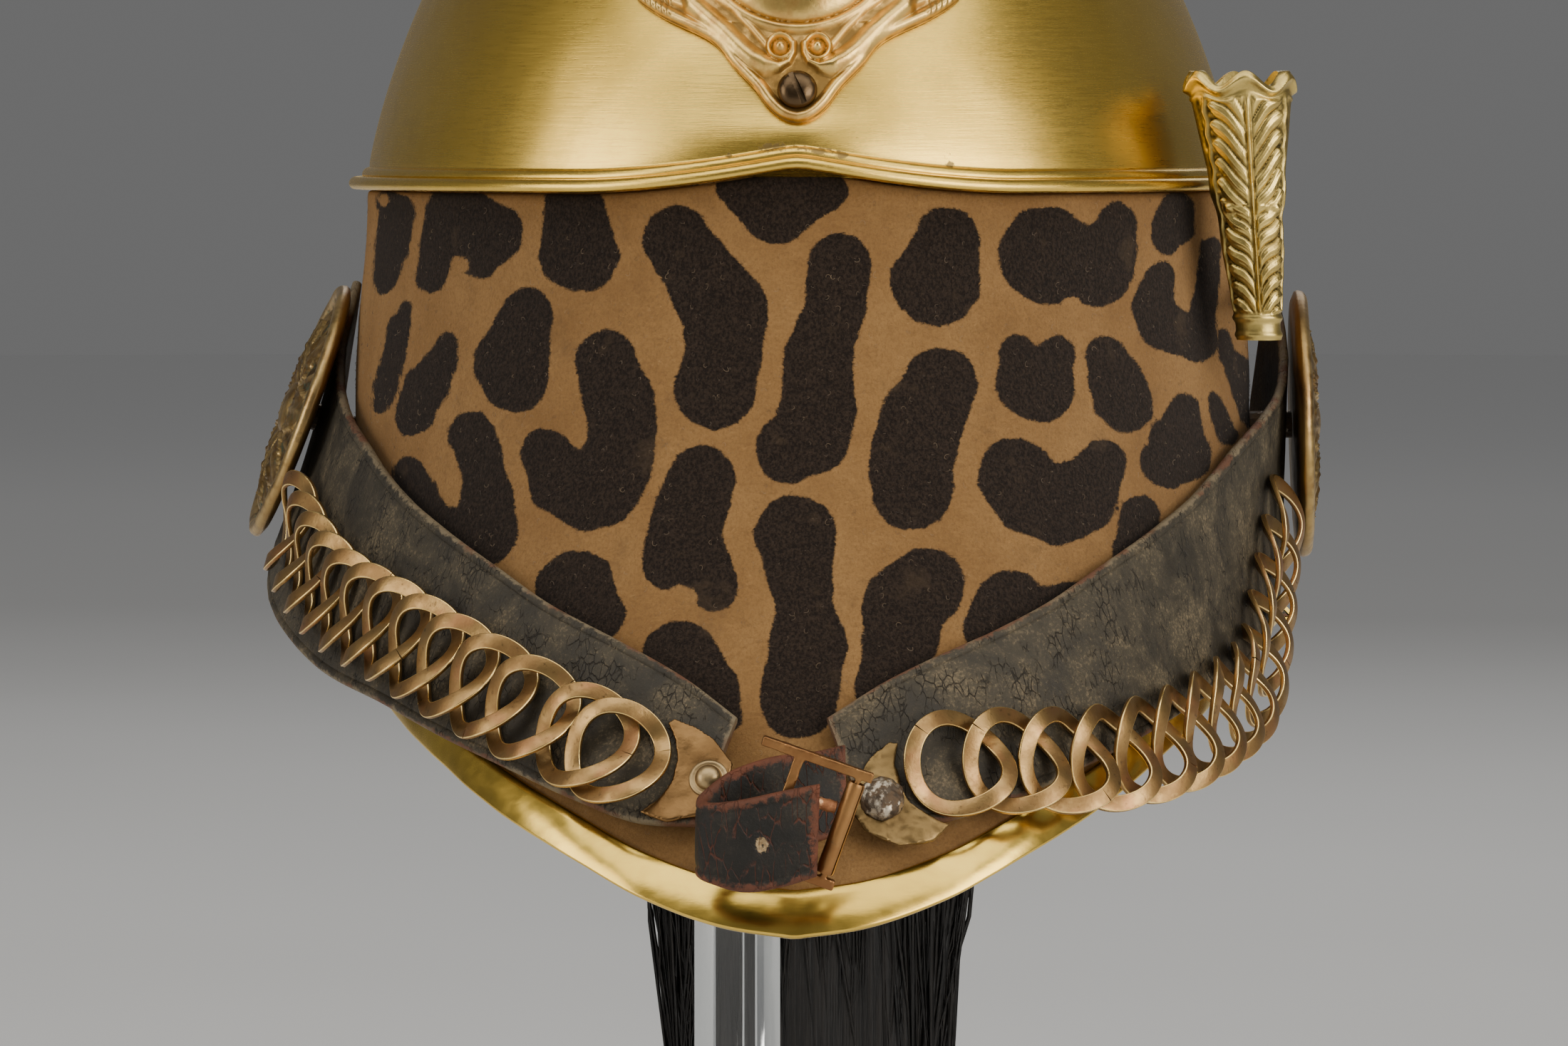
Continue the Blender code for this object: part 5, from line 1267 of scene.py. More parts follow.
def make_chain(side, finish, tree):
    nodes = sorted(name for name in NODES if name.startswith(f"link_{side}_"))
    chance = np.random.default_rng(7 if side == "left" else 8)
    paths, offs = [], []
    for node in nodes:
        path, off = ring_path(node, chance.uniform(0.0, math.tau))
        path = path + waves(path, RING_GRAIN, RING_DEPTH, chance.uniform(0.0, 50.0))[:, None] * off
        paths.append(path)
        offs.append(off)
    mesh = grown("chain", tree, paths_mesh("chain", paths, off=offs), width=LINK_BAND, wall=LINK_WALL,
                 corner=LINK_ROUND, finish=finish)
    shown("chain_" + side, tidied(mesh), finish, "link_brass", *nodes, sharp=50)


def worked(name, node, voxel, smoothing, kinds):
    """Finely divided copy of a node's solid, softened, with small dents."""
    steps = [("REMESH", {"mode": "VOXEL", "voxel_size": voxel, "adaptivity": 0.0}),
             ("SMOOTH", {"factor": 0.5, "iterations": smoothing})]
    mesh = with_modifiers(name, cad_mesh(node), *steps)
    points = points_of(mesh)
    return moved(mesh, points + normals_of(mesh) * uneven(points, kinds)[:, None])


def seat_of(node):
    """Middle of a domed head's seat, its way out, its radius and its rise, from its mesh."""
    points = corners(node)
    middle = points.mean(axis=0)
    out = np.linalg.svd(points - middle)[2][2]
    if out[1] > 0:
        out = -out
    up = (points - middle) @ out
    seat = points[up < up.min() + SEAT_BAND]
    centre = seat.mean(axis=0)
    return Vector(centre), Vector(out), float(np.linalg.norm(seat - centre, axis=1).max()), float(np.ptp(up))


def make_end_plates(smooth_brass, hammered_brass):
    for side, kind, smoothing, kinds, brass in (
        ("left", "smooth", 2, SMOOTH_PLATE_WAVES, smooth_brass),
        ("right", "hammered", 1, HAMMERED_PLATE_WAVES, hammered_brass),
    ):
        node = "end_plate_" + side
        mesh = worked(node, node, END_PLATE_VOXEL, smoothing, kinds)
        shown("plate_" + kind, mesh, brass, "link_brass", node)


def dome(radius, rise, steps=14):
    rows = [(radius * 0.94, -0.0002), (radius, 0.0)]
    for k in range(1, steps):
        turn = math.pi / 2 * k / steps
        rows.append((radius * math.cos(turn) ** 0.8, rise * math.sin(turn)))
    return rows + [(radius * 0.02, rise)]


def make_rivets(pale, iron):
    centre, out, radius, rise = seat_of("rivet_left")
    profile = [(radius * share, height) for share, height in RIVET_WASHER] + dome(radius, rise)[1:]
    shown("rivet_pale", turned("rivet_pale", centre, out, profile, 56), pale, "link_brass", "rivet_left")
    centre, out, radius, rise = seat_of("rivet_right")
    mesh = turned("rivet_iron", centre, out, dome(radius, rise, 22), 90)
    points = points_of(mesh)
    way = unit(points - np.array(centre))
    mesh = moved(mesh, points + way * uneven(points, RIVET_WAVES)[:, None])
    shown("rivet_iron", mesh, iron, "dark_iron", "rivet_right")


# Buckle

def make_buckle(brass, iron):
    bars = worked("buckle_bars", "buckle_frame", BUCKLE_VOXEL, 4, BUCKLE_WAVES)
    shown("buckle_bars", bars, brass, "link_brass", "buckle_frame")
    centre, half, way = axis_of("buckle_roller")
    if way.z < 0:
        way = -way
    place = set_along(centre, way)
    opening = math.radians(ROLLER_OPENING)
    angle = np.linspace(opening, math.tau - opening, ROLLER_ROUND) + math.radians(ROLLER_SPLIT)
    rows = []
    for height in np.linspace(-half, half, ROLLER_ROWS):
        soft = ROLLER_SOFT if abs(abs(height) - half) < MERGE else 0.0
        outer = [(ROLLER_RADIUS - soft, a) for a in angle]
        inner = [(ROLLER_RADIUS - ROLLER_WALL + soft, a) for a in angle[::-1]]
        rows.append([place @ Vector((r * math.cos(a), r * math.sin(a), height)) for r, a in outer + inner])
    rows = np.array(rows)
    away = rows - np.array(centre)
    out = unit(away - (away @ np.array(way))[..., None] * np.array(way))
    rows += out * uneven(rows, ROLLER_WAVES)[..., None]
    mesh = tidied(skinned("buckle_tube", rows, around=True, ends="face"))
    shown("buckle_tube", mesh, brass, "link_brass", "buckle_roller", sharp=50)
    centre, half, way = axis_of("buckle_tongue")
    profile = [(TONGUE_RADIUS * wide, -half * far) for wide, far in TONGUE_END]
    for k in range(15):
        lump = 1.0 + TONGUE_LUMP * math.sin(k * 1.7)
        profile.append((TONGUE_RADIUS * lump, half * (-0.9 + 1.8 * k / 14)))
    profile += [(TONGUE_RADIUS * wide, half * far) for wide, far in reversed(TONGUE_END)]
    shown("tongue_stub", turned("tongue_stub", centre, way, profile, 32), iron, "dark_iron", "buckle_tongue")


# Ear bosses

def boss_relief(share, turn):
    """Rise over a boss's flat back and two marks, its raised lines and its hollows."""
    rise = np.interp(share, *zip(*BOSS_SWELL))
    line = np.zeros(share.shape)
    hollow = np.zeros(share.shape)
    step = math.tau / BOSS_LEAVES
    for layer, leaf in enumerate(BOSS_LAYERS):
        local = (turn / step + leaf.turn + 0.5) % 1.0 - 0.5
        t = np.clip((share - leaf.start) / (leaf.end - leaf.start), 0.0, 1.0)
        half = 0.5 * leaf.wide * np.sin(math.pi * t**0.72) ** 0.62 + 1e-4
        lobes = 1.0 - 0.10 * np.abs(np.sin(t * math.pi * 3.5))
        side = np.abs(local) / (half * lobes)
        inside = (side < 1.0) & (share > leaf.start) & (share < leaf.end)
        lip = hump(side, 0.93, 0.10) + 0.75 * hump(side, 0.0, 0.09)
        veins = 0.5 + 0.5 * np.cos((t * 9.0 - side * 1.6) * math.tau / 1.5)
        fade = np.sin(math.pi * t) ** 0.5
        body = leaf.lift * (1.0 - side**2 * 0.35) + 0.55 * lip * fade - 0.22 * veins * (1 - lip)
        edge = ease((1.0 - side) / 0.10)
        rise = np.where(inside, rise + body * edge * (0.35 + 0.65 * fade), rise)
        line = np.where(inside, np.maximum(lip * edge, line * (1 - layer)), line)
        hollow = np.where(inside, veins * 0.45 * (1 - lip), np.where(line > 0.2, hollow, 0.85))
    berry = np.clip(1.0 - (share / BERRY_REACH) ** 2, 0.0, 1.0)
    grain = np.abs(np.sin(share * 46.0)) * np.abs(np.sin(turn * 4.0 + share * 22.0))
    in_berry, in_rim = share < BERRY_REACH, share > BOSS_RIM_FROM
    rise = np.where(in_berry, 3.9 + 2.5 * np.sqrt(berry) - 0.12 * grain, rise)
    hollow = np.where(in_berry, 0.25 * grain + 0.5 * (1 - berry) ** 4, hollow)
    line = np.where(in_berry, 0.6 * berry, line)
    rise = rise + 0.35 * hump(share, 0.225, 0.014)
    rim = np.sqrt(np.clip(1.0 - ((share - 0.935) / 0.064) ** 2, 0.0, 1.0))
    rise = np.where(in_rim, np.maximum(rise * (share < 0.90), 1.6 + 2.0 * rim), rise)
    line = np.where(in_rim, 0.55 * rim, line)
    hollow = np.where(np.abs(share - 0.868) < 0.02, 1.0, np.where(share > 0.88, 0.1, hollow))
    return rise / 1000.0, line, hollow


def make_boss(side, finish):
    spot = BOSS_PLACES[side]
    way = -1.0 if side == "left" else 1.0
    tilt, turn_to = math.radians(spot.tilt), math.radians(spot.turn)
    flat = math.cos(tilt)
    out = Vector((way * flat * math.cos(turn_to), -flat * math.sin(turn_to), math.sin(tilt)))
    down = (Vector((0, 0, -1)) + out * out.z).normalized()
    ways = [np.array(v) for v in (down, out.cross(down), out)]
    centre = np.array((spot.across, -spot.forward, RIM_HEIGHT - spot.drop))
    leafy, rim = np.linspace(0.006, 0.86, BOSS_RINGS[0]), np.linspace(0.868, 0.999, BOSS_RINGS[1])
    turn = np.linspace(0.0, math.tau, BOSS_ROUND, endpoint=False)

    def placed(share, angle, rise, kinds=()):
        x, y = share * BOSS_RADIUS * np.cos(angle), share * BOSS_RADIUS * np.sin(angle)
        rise = rise + uneven(xyz(x, y, 0.0), kinds)
        return centre + x[..., None] * ways[0] + y[..., None] * ways[1] + rise[..., None] * ways[2]

    share, angle = np.meshgrid(np.concatenate([leafy, rim]), turn, indexing="ij")
    front, line, hollow = boss_relief(share, angle)
    rows = [placed(share, angle, front, BOSS_WAVES[side])]
    rows += [placed(share, turn, np.full(turn.shape, height))[None] for share, height in BOSS_BACK]
    rows = np.concatenate(rows)
    marks = padded(rows, line=line, hollow=hollow)
    mesh = tidied(skinned("boss_" + side, rows, around=True, marks=marks))
    shown("boss_" + side, mesh, finish, "link_brass", "ear_boss_" + side)


# Crest, its front plate and screw

def plate_half(share):
    """Half width of the front plate up its height, round at its tip."""
    half = smooth(FRONT_PLATE, "height", "half_width", share)
    tip = FRONT_PLATE[1]
    round_tip = tip.half_width * np.sqrt(np.maximum(share, 0.00002) / tip.height)
    return PLATE_HALF_WIDTH * np.where(share < tip.height, round_tip, half)


def plate_relief(points, across, height):
    """Rise of the front plate's castings in metres, with marks for its raised lines and its hollows."""
    x, y = in_photo(points)
    dx = np.abs(x - PLATE_MIDDLE_PX)
    size = PLATE_HIGH - PLATE_LOW
    outline = [(0.0, PLATE_LOW * 1000)]
    for share in np.concatenate([np.linspace(0.0, 0.06, 12), np.linspace(0.07, 1.0, 60)]):
        outline.append((float(plate_half(share)) * 1000, (PLATE_LOW + size * share) * 1000))
    rim = from_outline(np.abs(across) * 1000, height * 1000, outline)
    eye = np.hypot(dx - SCROLL_EYE[0], y - SCROLL_EYE[1]) / PX_PER_MM
    arm_half = 0.85 + 2.05 * ease((dx - 12.0) / 42.0)
    up = (height - PLATE_LOW) / size - MEDALLION_MIDDLE
    reach = np.sqrt((across / (MEDALLION_HALF_WIDTH * size)) ** 2 + (up / MEDALLION_HALF_HEIGHT) ** 2)
    rays = np.arctan2(across, up * size)
    leaf = ease((reach - 1.16) / 0.14) * ease((rim - 2.9) / 1.2) * (height > PLATE_LOW + size * 0.29)
    parts = [
        swell(rim - 1.25, 1.60, 1.45),
        swell(from_outline(dx, y, INNER_RIDGE) / PX_PER_MM, 1.05, 0.80),
        swell(from_outline(dx, y, SCROLL_ARM) / PX_PER_MM, arm_half, 1.10 + 0.50 * arm_half),
        swell(eye, 1.95, 2.20),
        swell(eye - 2.55, 0.75, 1.45),
        MEDALLION_RISE * 1000 * np.sqrt(np.clip(1.0 - reach**2, 0.0, 1.0)),
        swell((reach - 1.07) * 14.0, 1.10, 1.15),
        0.95 * leaf * np.abs(np.cos(rays * 9.0)) ** 0.8,
    ]
    rise = 0.10 + np.sum(np.stack(parts) ** 4, axis=0) ** 0.25
    tips = ease((dx - 172.0) / 8.0) * ease((34.0 - y) / 10.0) * (0.5 + 0.5 * np.cos(dx * math.tau / 7.5))
    rise = (rise + 0.35 * tips) * ease(rim / 0.35)
    return rise / 1000.0, np.clip(rise / 1.8, 0.0, 1.0), np.clip(1.15 - rise / 0.80, 0.0, 1.0)


def make_front_plate(finish):
    size = PLATE_HIGH - PLATE_LOW
    tip, low, high = PLATE_ROWS
    shares = np.concatenate([0.03 * np.linspace(0.0, 1.0, tip) ** 2, np.linspace(0.032, 0.40, low),
                             np.linspace(0.407, 1.0, high)])
    even = np.linspace(-1.0, 1.0, PLATE_STEPS)
    steps = np.sin(even * math.pi / 2 * 0.999) * 0.35 + even * 0.65
    height = np.repeat((PLATE_LOW + size * shares)[:, None], len(steps), axis=1)
    across = plate_half(shares)[:, None] * steps[None, :]
    seat = np.full(across.shape, SEAT_ON_FACETS)
    bare = lifted(skull_front_at(across, height, seat + PLATE_WALL))
    rise, line, hollow = plate_relief(bare, across, height)
    rise = rise + uneven(bare, FRONT_PLATE_WAVES)
    front = lifted(skull_front_at(across, height, seat + PLATE_WALL + rise))
    keep = list(PLATE_BACK_STEPS)
    back = lifted(skull_front_at(across[:, keep], height[:, keep], seat[:, keep]))[:, ::-1]
    rows = np.hstack([front, back])
    marks = padded(rows, line=line, hollow=hollow)
    mesh = skinned("front_plate", rows, around=True, ends="face", marks=marks)
    shown("front_casting", tidied(mesh), finish, "cast_brass", "crest_front_plate", sharp=70)


def make_screw(bronze):
    centre, out, radius, rise = seat_of("plate_screw")
    head = turned("screw", centre, out, dome(radius, rise, 12), 72)
    place = set_along(centre + out * rise, out)
    right = place.to_3x3().inverted() @ Vector(SCREW_SLOT_WAY)
    turn = Matrix.Rotation(math.atan2(right.y, right.x), 4, "Z")
    size = Matrix.Diagonal((radius * 3, SCREW_SLOT, rise * 0.95, 1.0))

    def slot(bm):
        bmesh.ops.create_cube(bm, size=1.0, matrix=place @ turn @ size)

    cutter = linked("slot", edited(bpy.data.meshes.new("slot"), slot))
    cut = {"operation": "DIFFERENCE", "solver": "EXACT", "object": cutter}
    soft = {"width": 0.00012, "segments": 2, "limit_method": "ANGLE", "angle_limit": math.radians(40)}
    mesh = with_modifiers("screw", head, ("BOOLEAN", cut), ("BEVEL", soft))
    bpy.data.objects.remove(cutter)
    shown("screw_head", mesh, bronze, "dark_iron", "plate_screw", sharp=40)


def make_crest(finish):
    """Comb with its sides fluted between a plain foot and a plain ridge."""
    mesh = creased(cad_mesh("crest", 40.0), 55.0, 0.7)
    mesh = with_modifiers("comb", mesh, ("SUBSURF", {"levels": 3, "render_levels": 3}))
    points, normals = points_of(mesh), normals_of(mesh)
    up = points[:, 2] - (RIM_HEIGHT + skull_height_at(0.0, points[:, 1]))
    side = ease((np.abs(normals[:, 0]) - 0.45) / 0.3)
    band = ease((up - CREST_FOOT) / 0.006) * ease((CREST_RIDGE * CREST_HEIGHT - up) / 0.01)
    flute = np.abs(np.cos((points[:, 1] + up * 0.25) * math.pi / FLUTE_PITCH)) ** 0.6
    push = (flute - 0.7) * FLUTE_RISE * side * band
    # Flute ridges are marked for the finish's painted highlight with wear, and grooves for its painted shade
    # with patina
    mesh = marked(mesh, line=flute * side * band, hollow=(1 - flute) * side * band)
    mesh = moved(mesh, points + normals * push[:, None])
    shown("crest_comb", mesh, finish, "cast_brass", "crest", sharp=60)


# Plume holder

def holder_relief(share, turn):
    """Rise of the leaves on the plume holder in millimetres, with its raised lines and hollows."""
    span = 0.92 + 0.42 * (1.0 - share)
    side = turn - HOLDER_TURN
    panel = np.abs(side) / span
    front = ease((1.12 - panel) / 0.1)
    band = ease((share - 0.10) / 0.015) * ease((0.93 - share) / 0.02)
    rib = hump(panel, 0.0, 0.050) * ease((0.94 - share) / 0.05)
    border = hump(panel - 1.0 + 0.03 * np.sin(share * 70.0), 0.0, 0.060)
    upper = share > 0.52
    phase = share * np.where(upper, 13.0, 15.0) - np.where(upper, 2.5, 1.9) * panel**0.62
    phase = phase + np.where(side > 0.0, 0.5, 0.0) + 0.10 * np.sin(panel * 7.0 + share * 9.0)
    local = phase % 1.0
    tip = 0.70 + 0.20 * np.sin(math.pi * local)
    fill = ease((panel - 0.07) / 0.05) * ease((tip - panel) / 0.06)
    body = np.sin(math.pi * np.clip(local * 1.06, 0.0, 1.0)) ** 0.55 * (0.55 + 0.45 * local)
    strand = np.abs(np.sin(local * math.pi * 3.0)) ** 0.6
    leaf = fill * body * (0.80 + 0.38 * strand) * (0.72 + 0.35 * np.sin(math.pi * np.clip(panel, 0.0, 1.0)))
    fringe = ease((panel - tip) / 0.04) * ease((0.93 - panel) / 0.05) * (0.5 + 0.5 * np.cos(share * 190.0))
    away = (panel - HOLDER_KNOB[0]) / HOLDER_KNOB_SIZE[0]
    above = (share - HOLDER_KNOB[1]) / HOLDER_KNOB_SIZE[1]
    knobs = np.exp(-(away**2 + above**2))
    curl = 0.55 * hump(np.hypot(away, above), 1.45, 0.30)
    rise = band * front * (1.15 * leaf + 0.30 * fringe)
    rise = np.maximum(rise, (1.55 * knobs + curl) * front)
    rise = rise + band * (0.66 * border + 1.05 * rib)
    back = (1.0 - front) * band * 0.22 * np.abs(np.cos(turn * 7.0))
    foot = hump(share, 0.085, 0.013) * 0.55 + hump(share, 0.02, 0.012) * 0.40
    roll = 1.25 * hump(share, 0.975, 0.018) + 0.45 * hump(share, 0.925, 0.010)
    rise = rise + back + foot + roll
    return rise, np.clip(rise / 1.35, 0.0, 1.0), np.clip(1.0 - rise / 0.55, 0.0, 1.0) * band


def holder_lobes(angle, share):
    """How far the plume holder's mouth rises and falls round its edge."""
    lobes = HOLDER_LOBE_RISE * np.cos(HOLDER_LOBES * (angle - HOLDER_TURN))
    return lobes * ease((share - HOLDER_LOBES_FROM) / HOLDER_LOBES_OVER)


def make_holder(finish):
    shares = np.concatenate([np.linspace(0.0, 0.95, HOLDER_ROWS[0]), np.linspace(0.954, 1.0, HOLDER_ROWS[1])])
    turn = np.linspace(-math.pi, math.pi, HOLDER_ROUND, endpoint=False)
    share, angle = np.meshgrid(shares, turn, indexing="ij")
    rise, line, hollow = holder_relief(share, angle)
    radius = HOLDER_TOP_HALF * smooth(HOLDER, "height", "half_width", share) + (rise - HOLDER_GROUND) / 1000.0
    foot = np.array(HOLDER_FOOT)

    def at(radius, share):
        middle = foot + xyz(HOLDER_LEAN * share, 0.0, HOLDER_HEIGHT * share)
        across, ahead = radius * np.sin(angle[:1]), -radius * HOLDER_FLAT * np.cos(angle[:1])
        return lifted(middle + xyz(across, ahead, holder_lobes(angle[:1], share)))

    rows = [at(radius, share)]
    ring = np.ones((1, len(turn)))
    levels = shares[::-HOLDER_INSIDE_EVERY]
    inner = HOLDER_TOP_HALF * smooth(HOLDER, "height", "half_width", levels) - HOLDER_WALL - HOLDER_INNER_GAP
    rows += [at(ring * wide, ring * level) for wide, level in zip(inner, levels) if level > HOLDER_FLOOR]
    rows.append(at(ring * 0.0002, ring * HOLDER_FLOOR))
    rows = np.concatenate(rows)
    marks = padded(rows, line=line, hollow=hollow)
    mesh = tidied(skinned("holder", rows, around=True, marks=marks))
    shown("holder_casting", mesh, finish, "cast_brass", "plume_holder", sharp=75)


# Horsehair mane and loose fibres

def mane_line(at):
    """Middle of the mane at places along its rows, with its half width and half depth there."""
    rows = []
    for i, row in enumerate(MANE):
        y = row.over * SKULL_HALF_LENGTH + row.behind * MANE_BACK
        height = float(skull_height_at(0.0, y)) + row.lift * CREST_HEIGHT - row.drop * MANE_LENGTH
        wide, deep = row.half_width * MANE_HALF_WIDTH, row.half_depth * MANE_HALF_DEPTH
        rows.append(ManePlace(i, y, height, wide, deep))
    return [smooth(rows, "row", key, at) for key in ("y", "height", "wide", "deep")]


def mane_strands(count, seed):
    """Paths of single strands along the mane, gathered into its hanging locks."""
    chance = np.random.default_rng(seed)
    reach = len(MANE) - 1
    paths, girths = [], []
    for _ in range(count):
        start = 6.2 * chance.random() ** 1.4
        turn = chance.uniform(0.0, math.tau)
        layer = 1.0 + 0.10 * chance.standard_normal() * 0.6
        at = np.linspace(start, reach, STRAND_POINTS)
        y, height, wide, deep = mane_line(at)
        swing = 0.05 * np.sin(at * chance.uniform(0.8, 1.6) + chance.uniform(0, math.tau))
        x = wide * (math.cos(turn) * layer + swing)
        side = np.gradient(np.stack([y, height], -1), axis=0)
        side = side / np.linalg.norm(side, axis=1, keepdims=True)
        off = deep * math.sin(turn) * layer * 1.06
        y, height = y - side[:, 1] * off, height + side[:, 0] * off
        lock = min(LOCKS, key=lambda row: abs(row.across - x[-5] / MANE_HALF_WIDTH) + 0.12 * chance.random())
        drop = -height / MANE_LENGTH
        gather = ease((drop - GATHER_FROM) / GATHER_OVER)
        share = np.clip((drop - LOCK_ROOT) / (lock.drop - LOCK_ROOT), 0.0, 1.0)
        shape = 1.0 - 0.86 * share**1.5
        girth = lock.girth * MANE_HALF_WIDTH * STRAND_GIRTH * shape
        spread = chance.random() ** STRAND_SPREAD
        ring = chance.uniform(0.0, math.tau)
        lock_x = lock.across * MANE_HALF_WIDTH + lock.sway * MANE_LENGTH * share**2
        lock_x = lock_x + girth * math.cos(ring) * spread
        lock_y = LOCK_BEHIND * MANE_BACK + girth * 0.62 * math.sin(ring) * spread
        x = x + (lock_x - x) * gather
        y = y + (lock_y - y) * gather
        stop = lock.drop - 0.10 * chance.random() ** 2
        hung = LOCK_ROOT + (drop - LOCK_ROOT) / (MANE_END - LOCK_ROOT) * (stop - LOCK_ROOT)
        height = np.where(drop > LOCK_ROOT, -MANE_LENGTH * hung, height)
        paths.append(lifted(xyz(x, y, height)))
        along = np.linspace(0, 1, STRAND_POINTS)
        ends = np.minimum(along * 12.0, (1.0 - along) * 6.0)
        girths.append(np.clip(ends, 0.12, 1.0) * chance.uniform(0.75, 1.2))
    return paths, girths


def make_mane(finish, tree):
    core = with_modifiers("core", cad_mesh("mane", 40.0), ("SUBSURF", {"levels": 2, "render_levels": 2}))
    shown("mane_core", core, finish, "black_horsehair", "mane")
    for hair in STRANDS:
        paths, girths = mane_strands(hair.count, hair.seed)
        lines = paths_mesh(hair.name, paths, girth=girths)
        mesh = grown(hair.name, tree, lines, girth=hair.girth, sides=HAIR_SIDES, finish=finish)
        shown(hair.name, mesh, finish, "black_horsehair")


def fibre_mesh(curl):
    """One curled fibre, about two millimetres long, standing on the origin."""
    at = np.linspace(-1.0, 1.0, FIBRE_POINTS)
    heading = curl * (at + 0.25 * at**2)
    step = FIBRE_LENGTH / len(at)
    across, along = np.cumsum(np.cos(heading)) * step, np.cumsum(np.sin(heading)) * step
    middle = xyz(across, along, FIBRE_ARCH * (1.0 - at**2))
    middle = middle - middle.mean(axis=0) * (1.0, 1.0, 0.0)
    angle = np.linspace(0.0, math.tau, HAIR_SIDES, endpoint=False)
    side = xyz(-np.sin(heading), np.cos(heading), 0.0)[:, None, :] * np.cos(angle)[None, :, None]
    rows = middle[:, None, :] + (side + xyz(0.0, 0.0, np.sin(angle))[None]) * FIBRE_HALF
    return tidied(skinned("fibre", rows, around=True, ends="face"), FIBRE_MERGE)


def make_lint(felt, *finishes):
    """Loose fibres strewn over the outer face of the felt."""
    def outer_only(bm):
        inner = [face for face in bm.faces if face.normal.xy.dot(face.calc_center_median().xy) <= 0.0]
        bmesh.ops.delete(bm, geom=inner, context="FACES")

    outer = edited(felt.data.copy(), outer_only)
    tree = lint_tree()
    for (name, per_area, seed, curl), finish in zip(LINT, finishes):
        form = linked("fibre", fibre_mesh(curl))
        mesh = grown(name, tree, outer.copy(), per_area=per_area, seed=seed, fibre=form, finish=finish)
        shown(name, mesh, finish, "spotted_felt")
        bpy.data.objects.remove(form)


# Clear stand

def make_stand(clear):
    for node, width in STAND_ROUNDING:
        mesh = rounded(node, cad_mesh(node), width, 4, 30.0)
        shown(node.replace("stand", "clear"), mesh, clear, "clear_acrylic", node, sharp=35)


def repainted(node, finish):
    """Gives a carried-over node its finish."""
    piece = NODES[node]
    for place in piece.material_slots:
        place.link = "OBJECT"
        place.material = finish


# Finishes

# Numbers of a colour mix's sockets
MIX_FACTOR = 0
MIX_FIRST = 6
MIX_SECOND = 7
MIX_COLOUR = 2


class Finish(Net):
    """A node material read from the part's own places, in metres."""

    def __init__(self, name, **flat):
        self.material = bpy.data.materials.new(name)
        self.material.use_nodes = True
        super().__init__(self.material.node_tree)
        self.shader = self.net.nodes["Principled BSDF"]
        self.spot = self.net.nodes.new("ShaderNodeTexCoord").outputs["Object"]
        for key, value in flat.items():
            self.shader.inputs[key.replace("_", " ")].default_value = value

    def stretched(self, by, turn=(0.0, 0.0, 0.0)):
        return self.node("ShaderNodeMapping", Vector=self.spot, Scale=by, Rotation=turn).outputs[0]

    def noise(self, size, detail=3.0, rough=0.55, at=None, twist=0.0):
        sockets = {"Vector": at or self.spot, "Scale": 1.0 / size, "Detail": detail, "Roughness": rough}
        return self.node("ShaderNodeTexNoise", Distortion=twist, **sockets).outputs[0]

    def bent(self, at, size, amount):
        """Places moved about by soft noise, so that a pattern on them loses its straight lines."""
        swirl = self.node("ShaderNodeTexNoise", Vector=at, Scale=1.0 / size, Detail=3.0, Roughness=0.6)
        shift = self.node("ShaderNodeVectorMath", {"operation": "SCALE"}, Vector=swirl.outputs[1],
                          Scale=amount)
        place = self.net.nodes.new("ShaderNodeVectorMath")
        self.feed(place.inputs[0], at)
        self.feed(place.inputs[1], shift.outputs[0])
        return place.outputs[0]

    def cells(self, size, at=None, feature="F1"):
        place = at or self.spot
        cells = self.node("ShaderNodeTexVoronoi", {"feature": feature}, Vector=place, Scale=1.0 / size)
        return cells.outputs[0]

    def mark(self, name):
        return self.node("ShaderNodeAttribute", {"attribute_name": name}).outputs["Fac"]

    def band(self, value, low, high, to=(0.0, 1.0)):
        settings = {"interpolation_type": "SMOOTHSTEP"}
        node = self.node("ShaderNodeMapRange", settings, Value=value, From_Min=low, From_Max=high,
                         To_Min=to[0], To_Max=to[1])
        return node.outputs[0]

    def cloud(self, noise, low, high, to=(0.0, 1.0)):
        """Soft patches, where noise of a given size, detail and roughness is high."""
        return self.band(self.noise(*noise), low, high, to)

    def mixed(self, factor, a, b):
        node = self.net.nodes.new("ShaderNodeMix")
        node.data_type = "RGBA"
        for i, value in ((MIX_FACTOR, factor), (MIX_FIRST, a), (MIX_SECOND, b)):
            self.feed(node.inputs[i], value)
        return node.outputs[MIX_COLOUR]

    def laid(self, colour, over, pattern, low, high, share=1.0):
        """One colour laid over another up to a share, where a pattern rises from low to high."""
        return self.mixed(self.band(pattern, low, high, (0.0, share)), colour, over)

    def bump(self, height, depth, before=None):
        sockets = {"Height": height, "Distance": depth}
        if before:
            sockets["Normal"] = before
        return self.node("ShaderNodeBump", Strength=1.0, **sockets).outputs[0]

    def painted(self, **sockets):
        for key, value in sockets.items():
            self.feed(self.shader.inputs[key.replace("_", " ")], value)
        return self.material


